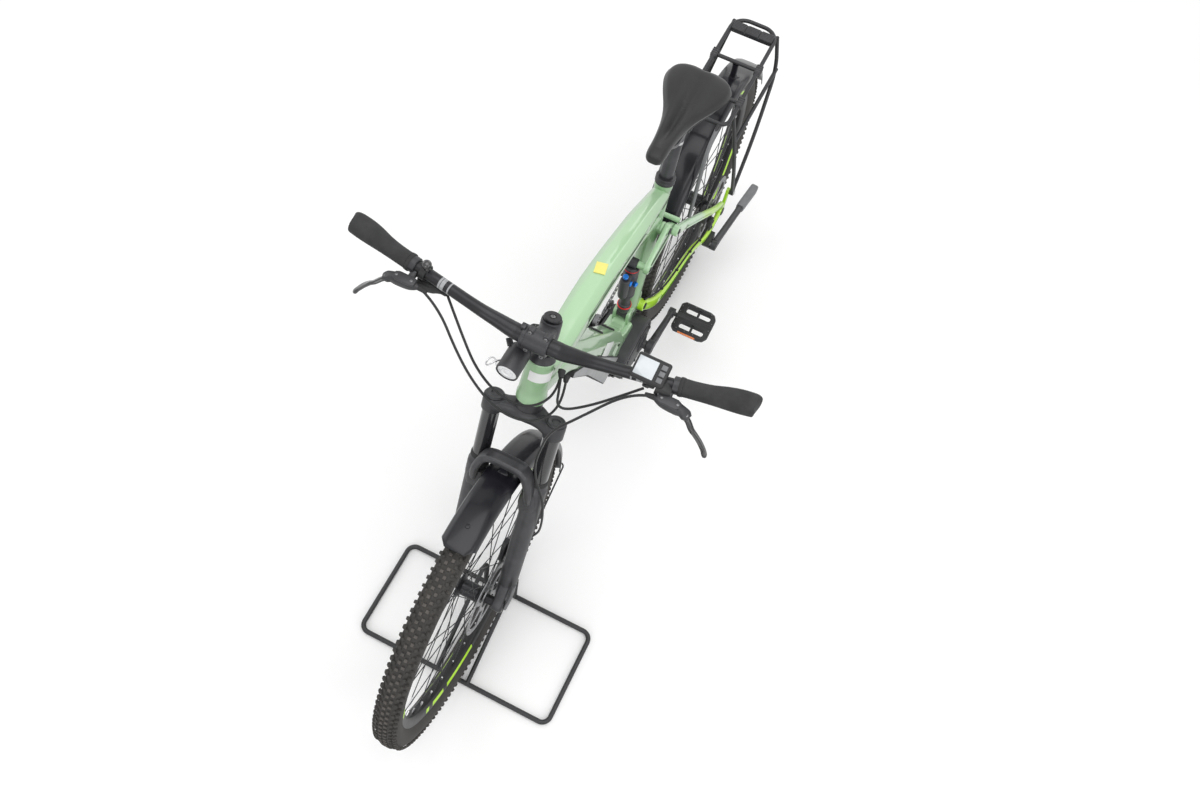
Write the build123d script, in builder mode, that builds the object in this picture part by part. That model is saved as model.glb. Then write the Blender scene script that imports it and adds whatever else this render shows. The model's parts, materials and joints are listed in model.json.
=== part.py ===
"""Electric full-suspension bicycle on a wire floor stand.

The frame of the model: +X forward, +Y to the rider's left, +Z up, millimetres.
The origin lies on the floor, in the middle plane, halfway between the axles.
"""

import os
from math import acos, atan2, cos, degrees, hypot, pi, radians, sin, tan

from build123d import *

os.makedirs("parts", exist_ok=True)

# ---- driving dimensions -------------------------------------------------
wheelbase = 1248
wheel_radius = 368.5
tyre_width = 59
tyre_height = 57.5
tyre_facets = 32
lug_height = 5
lug_depth = 14
rim_width = 34
spoke_count = 32
spoke_radius = 1.1
rotor_radius = 90
rotor_thickness = 1.8

head_angle = 66
fork_offset = 45
leg_forward = 15
leg_spread = 66
stanchion_radius = 17.5
leg_radius = 22
leg_top = 356
arch_radius = 9
arch_gap = 16.5
crown_top = 540
head_tube_length = 98
head_tube_radius = 30
steerer_radius = 14.3
headset_height = 16
spacer_stack = 34
stem_half = 20
stem_length = 50

bar_width = 782
bar_radius = 11.1
bar_clamp_radius = 15.9
bar_rise = 24
bar_sweep = 38
bar_upsweep = 25
grip_length = 132

yoke_gap = 96.5
bottom_bracket_drop = 39.5
motor_radius = 66
crank_length = 170
crank_angle = 200
crank_width = 94
pedal_gap = 6
pedal_length = 104
pedal_depth = 96
chain_line = 53
chain_pitch = 12.7
chainring_teeth = 34
cog_teeth = 24
pulley_teeth = 12
chain_height = 8.5
chain_width = 6

seat_angle = 76
collar_back = 126
collar_up = 477
seatpost_reach = 160
seatpost_insert = 100
seatpost_radius = 15.8
seat_tube_radius = 20
saddle_length = 267
saddle_width = 150
saddle_up = 218
saddle_ahead = 126

top_tube_width = 60
down_tube_width = 74
down_tube_height = 84
top_bend_back = 224
top_bend_drop = 68
down_bend_back = 108
down_bend_drop = 18
down_foot_ahead = 97
down_foot_up = 101
main_pivot_back = 61
main_pivot_up = 73
rocker_pivot_down = 125
rocker_back = 35
rocker_drop = 33
shock_eye_ahead = 99
shock_eye_drop = 30
shock_foot_ahead = 13
shock_foot_up = 123
rocker_inner = 30
rocker_thickness = 13
rocker_boss = 17
stay_width = 16

fender_width = 72
fender_gap = 16
fender_wall = 2.4
rack_gap = 37
rack_ahead = 108
rack_behind = 235
rack_half_width = 58
rack_foot_half = 94
rack_tube = 5

kickstand_ahead = 79
kickstand_drop = 50.5
kickstand_length = 298
stand_tube = 6
stand_half_width = 264
stand_behind = 124
stand_ahead = 126
stand_wheel_gap = 7
stand_hoop_height = 150

front_hub_width = 110
rear_hub_width = 148
axle_radius = 7.5

# ---- clearances ----------------------------------------------------------
running_fit = 0.05
seat_gap = 0.3

# ---- places worked out from them ----------------------------------------
rim_bead_radius = wheel_radius - tyre_height
front_axle = Vector(wheelbase / 2, 0, wheel_radius)
rear_axle = Vector(-wheelbase / 2, 0, wheel_radius)
bottom_bracket = rear_axle + Vector(wheel_radius + yoke_gap, 0, -bottom_bracket_drop)
steer_up = Vector(-cos(radians(head_angle)), 0, sin(radians(head_angle)))
steer_forward = Vector(sin(radians(head_angle)), 0, cos(radians(head_angle)))
steer_origin = front_axle - steer_forward * fork_offset
seat_up = Vector(-cos(radians(seat_angle)), 0, sin(radians(seat_angle)))
seat_forward = Vector(sin(radians(seat_angle)), 0, cos(radians(seat_angle)))
collar = bottom_bracket + Vector(-collar_back, 0, collar_up)
head_tube_bottom = crown_top + 14
head_tube_top = head_tube_bottom + head_tube_length
stem_height = head_tube_top + headset_height + spacer_stack + stem_half
fender_radius = wheel_radius + fender_gap
arch_height = fender_radius + arch_gap + arch_radius
saddle_top = collar.Z + saddle_up
rack_height = rear_axle.Z + fender_radius + rack_gap
rack_front = rear_axle.X + rack_ahead
rack_rear = rear_axle.X - rack_behind
stand_rear = front_axle.X - stand_behind
stand_front = front_axle.X + stand_ahead


def steer(forward, left, up):
    """Point in the steering frame: ahead of the axis, to the left, along the axis."""
    return steer_origin + steer_forward * forward + Vector(0, left, 0) + steer_up * up


def steer_plane(forward, left, up):
    """Plane square to the steering axis, its x axis pointing forward."""
    return Plane(steer(forward, left, up), x_dir=steer_forward, z_dir=steer_up)


def seat_point(height):
    """Point on the seat tube's axis at a distance above the collar."""
    return collar + seat_up * height


def across(place, start):
    """Plane that faces +Y at a given distance from the middle plane."""
    return Plane((place.X, start, place.Z), x_dir=(1, 0, 0), z_dir=(0, 1, 0))


def rod(place, start, end, radius, mode=Mode.ADD):
    """Cylinder along Y through a place, from one side distance to another."""
    with BuildSketch(across(place, min(start, end))) as section:
        Circle(radius)
    extrude(section.sketch, amount=abs(end - start), mode=mode)


def bar(start, end, radius, mode=Mode.ADD):
    """Round straight bar between two points."""
    start = Vector(*start)
    end = Vector(*end)
    with BuildSketch(Plane(start, z_dir=end - start)) as section:
        Circle(radius)
    extrude(section.sketch, amount=(end - start).length, mode=mode)


def bend_radii(points, share=0.45):
    """Largest bend radius that each corner's two runs leave room for."""
    radii = []
    for before, corner, after in zip(points, points[1:], points[2:]):
        run_in = Vector(*corner) - Vector(*before)
        run_out = Vector(*after) - Vector(*corner)
        turn = radians(run_in.get_angle(run_out))
        radii.append(share * min(run_in.length, run_out.length) / tan(turn / 2))
    return radii


def bent_tube(points, radius, bends=None):
    """Round tube along straight runs joined by tangent arcs."""
    if bends is None:
        bends = bend_radii(points)
    with BuildLine() as line:
        FilletPolyline(*points, radius=bends)
    path = line.wires()[0]
    with BuildSketch(Plane(path @ 0, z_dir=path % 0)) as section:
        Circle(radius)
    sweep(section.sketch, path=path)
    return path.length


def facet_section(width, height, cut):
    """Eight-sided tube section with cut corners."""
    half = width / 2
    rise = height / 2
    Polygon(
        (half, rise - cut), (half - cut, rise), (cut - half, rise), (-half, rise - cut),
        (-half, cut - rise), (cut - half, -rise), (half - cut, -rise), (half, cut - rise),
        align=None,
    )


def facet_tube(stations):
    """Faceted tube through stations of x, y, z, width, height and corner cut."""
    places = [Vector(*station[:3]) for station in stations]
    sections = []
    for index, station in enumerate(stations):
        before = places[max(index - 1, 0)]
        after = places[min(index + 1, len(places) - 1)]
        with BuildSketch(Plane(places[index], x_dir=(0, 1, 0), z_dir=after - before)) as section:
            facet_section(*station[3:])
        sections.append(section.sketch)
    loft(sections, ruled=True)


def finish(part, label):
    """Label a sub-part and write it."""
    part.label = label
    export_step(part, f"parts/{label}.step")


# ---- wheels ---------------------------------------------------------------
def wheel_profile(place):
    """Plane through a wheel's axis: x is the radius, y the distance to the left."""
    return Plane(place, x_dir=(1, 0, 0), z_dir=(0, 0, 1))


def wheel_axis(place):
    """Axis of a wheel, along Y."""
    return Axis(tuple(place), (0, 1, 0))


def faceted_loft(place, stations, mode=Mode.ADD):
    """Many-sided solid of turning along Y through (distance to the left, radius) stations."""
    sections = []
    for left, radius in stations:
        with BuildSketch(across(place, left)) as section:
            RegularPolygon(radius, tyre_facets, rotation=180 / tyre_facets)
        sections.append(section.sketch)
    loft(sections, ruled=True, mode=mode)


def build_tyre(place, label):
    """Knobbly tyre: a many-sided carcass open at the rim, with lugs fused to its tread."""
    half = tyre_width / 2
    lip = rim_width / 2
    crown = wheel_radius - lug_height
    bead = rim_bead_radius / cos(pi / tyre_facets)
    with BuildPart() as tyre:
        faceted_loft(place, [
            (-half, crown - 24), (4 - half, crown - 8), (13 - half, crown),
            (half - 13, crown), (half - 4, crown - 8), (half, crown - 24),
        ])
        with Locations(Location(tuple(place), (90, 0, 0))):
            for row, width, length, foot, lean, count in (
                (8.5 - half, 8, 16, crown - 6, -40, tyre_facets // 2),
                (0, 20, 10, wheel_radius - lug_depth / 2, 0, tyre_facets),
                (half - 8.5, 8, 16, crown - 6, 40, tyre_facets // 2),
            ):
                with PolarLocations(0, count, start_angle=lean / 8):
                    with Locations(Location((foot, 0, row), (0, lean, 0))):
                        Box(lug_depth, length, width)
        for side in (-1, 1):
            faceted_loft(place, [
                (side * (lip - 2.8), bead + 8), (side * (lip + 1), bead + 9),
                (side * (half - 3.5), bead + 18), (side * (half + 0.5), crown - 23.5),
            ], mode=Mode.SUBTRACT)
        faceted_loft(place, [(-half, bead), (half, bead)], mode=Mode.SUBTRACT)
    finish(tyre.part, label)


def build_rim(place, label):
    """Box rim that ends just inside the tyre's bead."""
    half = rim_width / 2
    seat = rim_bead_radius - seat_gap
    with BuildPart() as rim:
        with BuildSketch(wheel_profile(place)):
            Polygon(
                (seat - 15, half - 10), (seat - 10, half - 3), (seat + 7, half),
                (seat + 7, half - 2.5), (seat, half - 2.5), (seat, 2.5 - half),
                (seat + 7, 2.5 - half), (seat + 7, -half), (seat - 10, 3 - half),
                (seat - 15, 10 - half),
                align=None,
            )
        revolve(axis=wheel_axis(place))
    finish(rim.part, label)


def build_hub(place, width, left_flange, right_flange, label):
    """Hub shell with its laced spokes, bored for the axle."""
    end = width / 2 - seat_gap
    flange = 29
    rim_inside = rim_bead_radius - 2 * seat_gap - 15
    with BuildPart() as hub:
        with BuildSketch(wheel_profile(place)):
            Polygon(
                (0, -end), (11, -end), (11, right_flange - 6), (flange, right_flange - 2),
                (flange, right_flange + 2), (19, right_flange + 8), (19, left_flange - 8),
                (flange, left_flange - 2), (flange, left_flange + 2), (11, left_flange + 6),
                (11, end), (0, end),
                align=None,
            )
        revolve(axis=wheel_axis(place))
        step = 720 / spoke_count
        for index in range(spoke_count // 2):
            lead = 67 if index % 2 else -67
            for flange_y, rim_y, phase in ((left_flange, 2.5, 0), (right_flange, -2.5, step / 2)):
                hole = radians(index * step + phase)
                nipple = radians(index * step + phase + lead)
                inner = place + Vector((flange - 2.5) * cos(hole), flange_y, (flange - 2.5) * sin(hole))
                outer = place + Vector(rim_inside * cos(nipple), rim_y, rim_inside * sin(nipple))
                bar(inner, outer, spoke_radius)
        rod(place, -end - 1, end + 1, axle_radius + running_fit, mode=Mode.SUBTRACT)
    finish(hub.part, label)


def build_rotor(place, centre_y, shell_radius, label):
    """Brake disc on six arms."""
    start = centre_y - rotor_thickness / 2
    with BuildPart() as rotor:
        with BuildSketch(across(place, start)):
            Circle(rotor_radius)
            Circle(rotor_radius - 14, mode=Mode.SUBTRACT)
            Circle(shell_radius + 12)
            with PolarLocations(0, 6):
                with Locations((rotor_radius / 2, 0)):
                    Rectangle(rotor_radius - 10, 8)
            Circle(shell_radius + running_fit, mode=Mode.SUBTRACT)
            with PolarLocations(rotor_radius - 7, 24):
                Circle(2.2, mode=Mode.SUBTRACT)
        extrude(amount=rotor_thickness)
    finish(rotor.part, label)


front_rotor_y = 37
rear_rotor_y = 57
for axle_place, end_name in ((front_axle, "front"), (rear_axle, "rear")):
    build_tyre(axle_place, f"{end_name}_tyre")
    build_rim(axle_place, f"{end_name}_rim")
build_hub(front_axle, front_hub_width, 25, -28, "front_hub")
build_hub(rear_axle, rear_hub_width, 32, -22, "rear_hub")
build_rotor(front_axle, front_rotor_y, 11, "front_rotor")
build_rotor(rear_axle, rear_rotor_y, 11, "rear_rotor")

# ---- cassette, chain and derailleur --------------------------------------
cog_step = 4.4


def pitch_radius(teeth):
    """Radius of the chain's pins on a wheel with so many teeth."""
    return chain_pitch / (2 * sin(pi / teeth))


def chain_wheel_radius(teeth):
    """Radius of a toothed wheel that stays just under the chain."""
    return pitch_radius(teeth) - chain_height / 2 - 0.5


cassette_teeth = (51, 45, 39, 33, 28, 24, 21, 18, 15, 13)
chain_cog = cassette_teeth.index(cog_teeth)
with BuildPart() as cassette:
    for index, teeth in enumerate(cassette_teeth):
        cog_y = -chain_line + (chain_cog - index) * cog_step
        rod(rear_axle, cog_y - 0.9, cog_y + 0.9, chain_wheel_radius(teeth))
    cassette_outer = -chain_line + (chain_cog - len(cassette_teeth) + 1) * cog_step - 1
    cassette_inner = -chain_line + chain_cog * cog_step + 1
    rod(rear_axle, cassette_outer, cassette_inner, 17)
    rod(rear_axle, cassette_outer - 1, cassette_inner + 1, 11 + running_fit, mode=Mode.SUBTRACT)
finish(cassette.part, "cassette")

guide_pulley = rear_axle + Vector(-4, 0, -130)
tension_pulley = guide_pulley + Vector(42, 0, -84)


def tangent_line(first, first_radius, first_side, second, second_radius, second_side):
    """Ends of the line that leaves one circle and meets the next, run clockwise or not."""
    dx = second.X - first.X
    dz = second.Z - first.Z
    distance = hypot(dx, dz)
    heading = atan2(dz, dx)
    lean = acos((first_side * first_radius - second_side * second_radius) / distance)
    angle = heading - lean
    start = (first.X + first_side * first_radius * cos(angle), first.Z + first_side * first_radius * sin(angle))
    end = (second.X + second_side * second_radius * cos(angle), second.Z + second_side * second_radius * sin(angle))
    return start, end


def chain_outline(grow):
    """Closed line round the chain's four wheels, moved outward by grow."""
    stops = [
        (bottom_bracket, pitch_radius(chainring_teeth) + grow, 1),
        (rear_axle, pitch_radius(cog_teeth) + grow, 1),
        (guide_pulley, pitch_radius(pulley_teeth) - grow, -1),
        (tension_pulley, pitch_radius(pulley_teeth) + grow, 1),
    ]
    runs = []
    for index, stop in enumerate(stops):
        following = stops[(index + 1) % len(stops)]
        runs.append(tangent_line(stop[0], stop[1], stop[2], following[0], following[1], following[2]))
    for index, stop in enumerate(stops):
        arrive = runs[index - 1][1]
        leave = runs[index][0]
        Line(runs[index][0], runs[index][1])
        centre, radius, side = stop
        begin = atan2(arrive[1] - centre.Z, arrive[0] - centre.X)
        finish_angle = atan2(leave[1] - centre.Z, leave[0] - centre.X)
        sweep_angle = (finish_angle - begin) * side % (2 * pi) * side
        middle = begin + sweep_angle / 2
        ThreePointArc(
            arrive, (centre.X + radius * cos(middle), centre.Z + radius * sin(middle)), leave
        )


chain_plane = Plane((0, -chain_line + chain_width / 2, 0), x_dir=(1, 0, 0), z_dir=(0, -1, 0))
with BuildPart() as chain:
    with BuildSketch(chain_plane):
        with BuildLine():
            chain_outline(chain_height / 2)
        make_face()
        with BuildLine():
            chain_outline(-chain_height / 2)
        make_face(mode=Mode.SUBTRACT)
    extrude(amount=chain_width)
finish(chain.part, "chain")

cage_reach = 9
with BuildPart() as derailleur:
    for pulley in (guide_pulley, tension_pulley):
        rod(pulley, -chain_line - 1.2, -chain_line + 1.2, chain_wheel_radius(pulley_teeth))
        rod(pulley, -chain_line - cage_reach, -chain_line + cage_reach - 3, 5)
    for side_y in (-chain_line - cage_reach, -chain_line + cage_reach - 5):
        with BuildSketch(across(Vector(0, 0, 0), side_y)):
            with Locations((guide_pulley.X, -guide_pulley.Z), (tension_pulley.X, -tension_pulley.Z)):
                Circle(14)
            make_hull()
        extrude(amount=2)
    knuckle = rear_axle + Vector(-24, 0, -78)
    rod(guide_pulley, -chain_line - cage_reach - 14, -chain_line - cage_reach + 1, 15)
    bar((guide_pulley.X, -chain_line - 18, guide_pulley.Z), (knuckle.X, -84, knuckle.Z), 11)
    rod(knuckle, -90, -76, 13)
    bar((knuckle.X, -84, knuckle.Z), (rear_axle.X - 12, -81, rear_axle.Z - 26), 7)
finish(derailleur.part, "derailleur")

# ---- crank, chainring and pedals ------------------------------------------
pedal_left = bottom_bracket + Vector(cos(radians(crank_angle)), 0, sin(radians(crank_angle))) * crank_length
pedal_right = bottom_bracket * 2 - pedal_left
arm_depth = 18
spindle_radius = 12
pedal_pin_radius = 6

with BuildPart() as crank_arms:
    rod(bottom_bracket, arm_depth - crank_width, crank_width - arm_depth, spindle_radius)
    for pedal_place, side in ((pedal_left, 1), (pedal_right, -1)):
        outer = side * crank_width
        start = min(outer, outer - side * arm_depth)
        with BuildSketch(across(Vector(0, 0, 0), start)):
            with Locations((bottom_bracket.X, -bottom_bracket.Z)):
                Circle(19)
            with Locations((pedal_place.X, -pedal_place.Z)):
                Circle(13.5)
            make_hull()
        extrude(amount=arm_depth)
        rod(pedal_place, outer, outer + side * (pedal_gap + pedal_length - 4), pedal_pin_radius)
finish(crank_arms.part, "crank_arms")

with BuildPart() as chainring:
    rod(bottom_bracket, -chain_line - 1.5, -chain_line + 1.5, chain_wheel_radius(chainring_teeth))
    rod(bottom_bracket, arm_depth - crank_width + seat_gap, -chain_line, 34)
    rod(bottom_bracket, -crank_width, 0, spindle_radius + running_fit, mode=Mode.SUBTRACT)
    with BuildSketch(across(bottom_bracket, -chain_line - 5)):
        with PolarLocations(48, 5):
            Circle(9)
    extrude(amount=10, mode=Mode.SUBTRACT)
finish(chainring.part, "chainring")


def build_pedal(place, side, label):
    """Flat pedal with two windows, bored for its pin."""
    inner = side * (crank_width + pedal_gap)
    start = min(inner, inner + side * pedal_length)
    with BuildPart() as pedal:
        with BuildSketch(Plane(place + Vector(0, start + pedal_length / 2, -10))):
            RectangleRounded(pedal_depth, pedal_length, 14)
            for forward in (-1, 1):
                with Locations((forward * 26, side * 4)):
                    RectangleRounded(24, pedal_length - 36, 5, mode=Mode.SUBTRACT)
        extrude(amount=20)
        rod(place, start - 1, start + pedal_length - 3 if side > 0 else start + pedal_length + 1,
            pedal_pin_radius + running_fit, mode=Mode.SUBTRACT)
    finish(pedal.part, label)


build_pedal(pedal_left, 1, "pedal_left")
build_pedal(pedal_right, -1, "pedal_right")

# ---- motor and its guard ----------------------------------------------------
motor_left = 60
motor_right = 45
motor_nose = bottom_bracket + Vector(76, 0, 18)
nose_radius = 50


def motor_section(grow):
    """Side outline of the motor, moved outward by grow."""
    with Locations((bottom_bracket.X, -bottom_bracket.Z)):
        Circle(motor_radius + grow)
    with Locations((motor_nose.X, -motor_nose.Z)):
        Circle(nose_radius + grow)
    make_hull()


with BuildPart() as motor:
    with BuildSketch(across(Vector(0, 0, 0), -motor_right)):
        motor_section(0)
    extrude(amount=motor_left + motor_right)
    rod(bottom_bracket, -motor_right - 1, motor_left + 1, spindle_radius + running_fit, mode=Mode.SUBTRACT)
finish(motor.part, "motor")

guard_wall = 4
guard_half = 40
with BuildPart() as skid_plate:
    with BuildSketch(across(Vector(0, 0, 0), -guard_half)):
        motor_section(seat_gap + guard_wall)
    extrude(amount=2 * guard_half)
    with BuildSketch(across(Vector(0, 0, 0), -guard_half - 1)):
        motor_section(seat_gap)
    extrude(amount=2 * guard_half + 2, mode=Mode.SUBTRACT)
    split(bisect_by=Plane(bottom_bracket + Vector(0, 0, -30), z_dir=(-0.3, 0, 1)), keep=Keep.BOTTOM)
finish(skid_plate.part, "skid_plate")

# ---- main frame ---------------------------------------------------------------
rocker_pivot = seat_point(-rocker_pivot_down)
rocker_rear = rocker_pivot + Vector(-rocker_back, 0, -rocker_drop)
shock_top = rocker_pivot + Vector(shock_eye_ahead, 0, -shock_eye_drop)
shock_bottom = bottom_bracket + Vector(shock_foot_ahead, 0, shock_foot_up)
main_pivot = bottom_bracket + Vector(-main_pivot_back, 0, main_pivot_up)
rack_eye = rear_axle + Vector(-26, 0, 59.5)
frame_half = 17
down_bend = steer(0, 0, head_tube_bottom) + Vector(-down_bend_back, 0, -down_bend_drop)
down_foot = bottom_bracket + Vector(down_foot_ahead, 0, down_foot_up)
top_bend = steer(0, 0, head_tube_top) + Vector(-top_bend_back, 0, -top_bend_drop)
brace_top = top_bend + Vector(-114, 0, -40)
brace_foot = seat_point(-104)

with BuildPart() as main_frame:
    with BuildSketch(steer_plane(0, 0, head_tube_bottom)):
        Circle(head_tube_radius)
    with BuildSketch(steer_plane(0, 0, head_tube_top)):
        Circle(head_tube_radius - 3)
    loft()
    facet_tube([
        (*steer(4, 0, head_tube_top - 34), 46, 58, 12),
        (*top_bend, top_tube_width, 66, 15),
        (*(collar + Vector(175, 0, 20)), top_tube_width - 4, 58, 15),
        (*(collar + Vector(13, 0, -34)), 42, 44, 11),
    ])
    facet_tube([
        (*steer(6, 0, head_tube_bottom + 42), 52, 60, 14),
        (*down_bend, 66, 70, 17),
        (*(down_bend * 0.5 + down_foot * 0.5), down_tube_width, down_tube_height, 18),
        (*down_foot, down_tube_width, down_tube_height, 18),
    ])
    bar(seat_point(0), seat_point(-385), seat_tube_radius)
    facet_tube([(*brace_top, 40, 38, 10), (*brace_foot, 38, 38, 10)])
    with BuildSketch(across(Vector(0, 0, 0), -frame_half)):
        with Locations((bottom_bracket.X, -bottom_bracket.Z)):
            Polygon((-75, -79), (-69, -121), (-46, -121), (-17, -103), (59, -103), (99, -141),
                    (139, -91), (119, -31), (59, -1), (-31, -21), align=None)
        with Locations((main_pivot.X, -main_pivot.Z)):
            Circle(14)
    extrude(amount=2 * frame_half)
    with BuildSketch(across(Vector(0, 0, 0), -30)):
        with Locations((bottom_bracket.X, -bottom_bracket.Z)):
            Polygon((-9, -66), (9, -96), (99, -141), (139, -91), (119, -31), (59, -1), align=None)
    extrude(amount=60)
    rod(rocker_pivot, seat_gap - rocker_inner, rocker_inner - seat_gap, rocker_boss - 1)
    for ear_start in (-22, 13):
        with BuildSketch(across(Vector(0, 0, 0), ear_start)):
            with Locations((shock_bottom.X, -shock_bottom.Z)):
                Circle(12)
            with Locations((shock_bottom.X, -shock_bottom.Z + 30)):
                Circle(16)
            make_hull()
        extrude(amount=9)
    for start, stop in ((head_tube_top, head_tube_top + 50), (head_tube_bottom, head_tube_bottom - 60)):
        bar(steer(0, 0, start), steer(0, 0, stop), 60, mode=Mode.SUBTRACT)
    bar(seat_point(2), seat_point(-seatpost_insert - 2), seatpost_radius + running_fit, mode=Mode.SUBTRACT)
    bar(steer(0, 0, head_tube_bottom - 2), steer(0, 0, head_tube_top + 2), steerer_radius + running_fit,
        mode=Mode.SUBTRACT)
    rod(rocker_pivot, -rocker_inner, rocker_inner, 6 + running_fit, mode=Mode.SUBTRACT)
    rod(main_pivot, -frame_half - 1, frame_half + 1, 6 + running_fit, mode=Mode.SUBTRACT)
    with BuildSketch(across(Vector(0, 0, 0), -60)):
        motor_section(seat_gap)
    extrude(amount=120, mode=Mode.SUBTRACT)
    rod(shock_bottom, -22, 22, 5)
finish(main_frame.part, "main_frame")

cover_run = down_foot - down_bend
cover_plane = Plane(down_bend + cover_run * 0.42, x_dir=cover_run, z_dir=Vector(cover_run.Z, 0, -cover_run.X))
with BuildPart() as battery_cover:
    with BuildSketch(cover_plane.offset(down_tube_height / 2 + seat_gap)):
        RectangleRounded(220, 34, 8)
    extrude(amount=3)
finish(battery_cover.part, "battery_cover")

# ---- rear suspension -------------------------------------------------------------
stay_inner = rocker_inner + rocker_thickness + seat_gap
stay_outer = stay_inner + 14.7
with BuildPart() as rocker_link:
    for side in (-1, 1):
        start = min(side * rocker_inner, side * (rocker_inner + rocker_thickness))
        with BuildSketch(across(Vector(0, 0, 0), start)):
            for place, radius in ((rocker_pivot, rocker_boss), (shock_top, 14), (rocker_rear, 14)):
                with Locations((place.X, -place.Z)):
                    Circle(radius)
            make_hull()
        extrude(amount=rocker_thickness)
    rod(rocker_pivot, -rocker_inner - 1, rocker_inner + 1, 6)
    rod(shock_top, -rocker_inner - 1, rocker_inner + 1, 5)
    for side in (-1, 1):
        rod(shock_top, side * 13, side * (rocker_inner + 1), 9)
    rod(rocker_rear, -stay_outer, stay_outer, 6)
finish(rocker_link.part, "rocker_link")

shock_run = shock_bottom - shock_top
with BuildPart() as rear_shock:
    bar(shock_top + shock_run * 0.05, shock_top + shock_run * 0.6, 19)
    bar(shock_top + shock_run * 0.55, shock_top + shock_run * 0.95, 11)
    bar(shock_top + shock_run * 0.16 + Vector(34, 0, 8), shock_top + shock_run * 0.5 + Vector(34, 0, 8), 12)
    bar(shock_top + shock_run * 0.2, shock_top + shock_run * 0.2 + Vector(34, 0, 8), 9)
    rod(shock_top, -12, 12, 12)
    rod(shock_bottom, -12, 12, 12)
    rod(shock_top, -13, 13, 5 + running_fit, mode=Mode.SUBTRACT)
    rod(shock_bottom, -13, 13, 5 + running_fit, mode=Mode.SUBTRACT)
finish(rear_shock.part, "rear_shock")

dropout_inner = rear_hub_width / 2
dropout_outer = dropout_inner + 13
with BuildPart() as chainstays:
    for side in (-1, 1):
        front_y = side * (frame_half + 8)
        facet_tube([
            (main_pivot.X, front_y, main_pivot.Z, 15, 30, 4),
            (main_pivot.X - 70, side * 46, main_pivot.Z - 42, 13, 32, 4),
            (rear_axle.X + 160, side * (55 if side < 0 else 60), rear_axle.Z - 16, 13, 26, 4),
            (rear_axle.X + 88, side * 78, rear_axle.Z - 14, 12, 24, 3),
            (rear_axle.X, side * (dropout_inner + 7), rear_axle.Z, 12, 24, 3),
        ])
        rod(main_pivot, side * (frame_half + seat_gap), side * (frame_half + 16), 15)
        rod(rear_axle, side * dropout_inner, side * dropout_outer, 19)
        with BuildSketch(across(Vector(0, 0, 0), min(side * (dropout_outer - 9), side * dropout_outer))):
            with Locations((rear_axle.X - 11, -rear_axle.Z)):
                Circle(7)
            with Locations((rack_eye.X, -rack_eye.Z)):
                Circle(8)
            make_hull()
        extrude(amount=9)
    rod(main_pivot, -frame_half - 8, frame_half + 8, 6)
    rod(rear_axle, -dropout_outer, dropout_outer, axle_radius)
finish(chainstays.part, "chainstays")

stay_foot = rear_axle + Vector(14, 0, 40)
stay_knee = stay_foot + Vector(60, 0, 42)
stay_bend = rocker_rear + Vector(-60, 0, -46)
with BuildPart() as seat_stays:
    for side in (-1, 1):
        facet_tube([
            (rocker_rear.X, side * (stay_inner + 7.7), rocker_rear.Z, 14, 26, 4),
            (stay_bend.X, side * (stay_inner + 10.7), stay_bend.Z, stay_width, 24, 4),
            (stay_knee.X, side * 76, stay_knee.Z, 13, 20, 4),
            (stay_foot.X, side * (dropout_inner + 7), stay_foot.Z, 12, 20, 3),
            (rear_axle.X + 4, side * (dropout_inner + 7), rear_axle.Z + 8, 12, 20, 3),
        ])
        rod(rocker_rear, side * stay_inner, side * stay_outer, 14)
    bar((rocker_rear.X - 30, -stay_inner - 4, rocker_rear.Z), (rocker_rear.X - 30, stay_inner + 4, rocker_rear.Z), 7)
    rod(rear_axle, -dropout_outer - 9, dropout_outer + 9, 19 + seat_gap, mode=Mode.SUBTRACT)
    rod(rocker_rear, -stay_outer - 1, stay_outer + 1, 6 + running_fit, mode=Mode.SUBTRACT)
finish(seat_stays.part, "seat_stays")

# ---- seat -----------------------------------------------------------------------
with BuildPart() as seatpost:
    bar(seat_point(-seatpost_insert), seat_point(seatpost_reach), seatpost_radius)
    bar(seat_point(seat_gap), seat_point(16), seat_tube_radius + 3)
    rod(seat_point(seatpost_reach), -24, 24, 11)
    with BuildSketch(across(Vector(0, 0, 0), -30)):
        with Locations((seat_point(seatpost_reach).X, -seat_point(seatpost_reach).Z)):
            RectangleRounded(38, 20, 6)
    extrude(amount=60)
finish(seatpost.part, "seatpost")

saddle_nose = collar.X + saddle_ahead
rail_y = 22
rail_z = seat_point(seatpost_reach).Z + 11 + 3.5 + seat_gap
saddle_stations = (
    (0.0, 30, 20, -14), (0.2, 42, 32, -8), (0.45, 62, 32, -6), (0.7, 124, 34, -2), (0.88, 150, 34, 2),
    (1.0, 92, 20, 0),
)
with BuildPart() as saddle:
    for share, width, depth, drop in saddle_stations:
        place = Vector(saddle_nose - share * saddle_length, 0, saddle_top + drop - depth / 2)
        with BuildSketch(Plane(place, x_dir=(0, 1, 0), z_dir=(-1, 0, 0))):
            RectangleRounded(width * saddle_width / 150, depth, min(width, depth) * 0.42)
    loft()
    for side in (-1, 1):
        bent_tube([
            (saddle_nose - 36, side * 8, saddle_top - 26),
            (saddle_nose - 84, side * rail_y, rail_z),
            (saddle_nose - 190, side * rail_y, rail_z),
            (saddle_nose - 234, side * 40, saddle_top - 26),
        ], 3.5, [12, 12])
finish(saddle.part, "saddle")

# ---- fenders ------------------------------------------------------------------------
fender_start_front = 84
fender_end_front = 190
fender_start_rear = 36
fender_end_rear = 157


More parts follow.
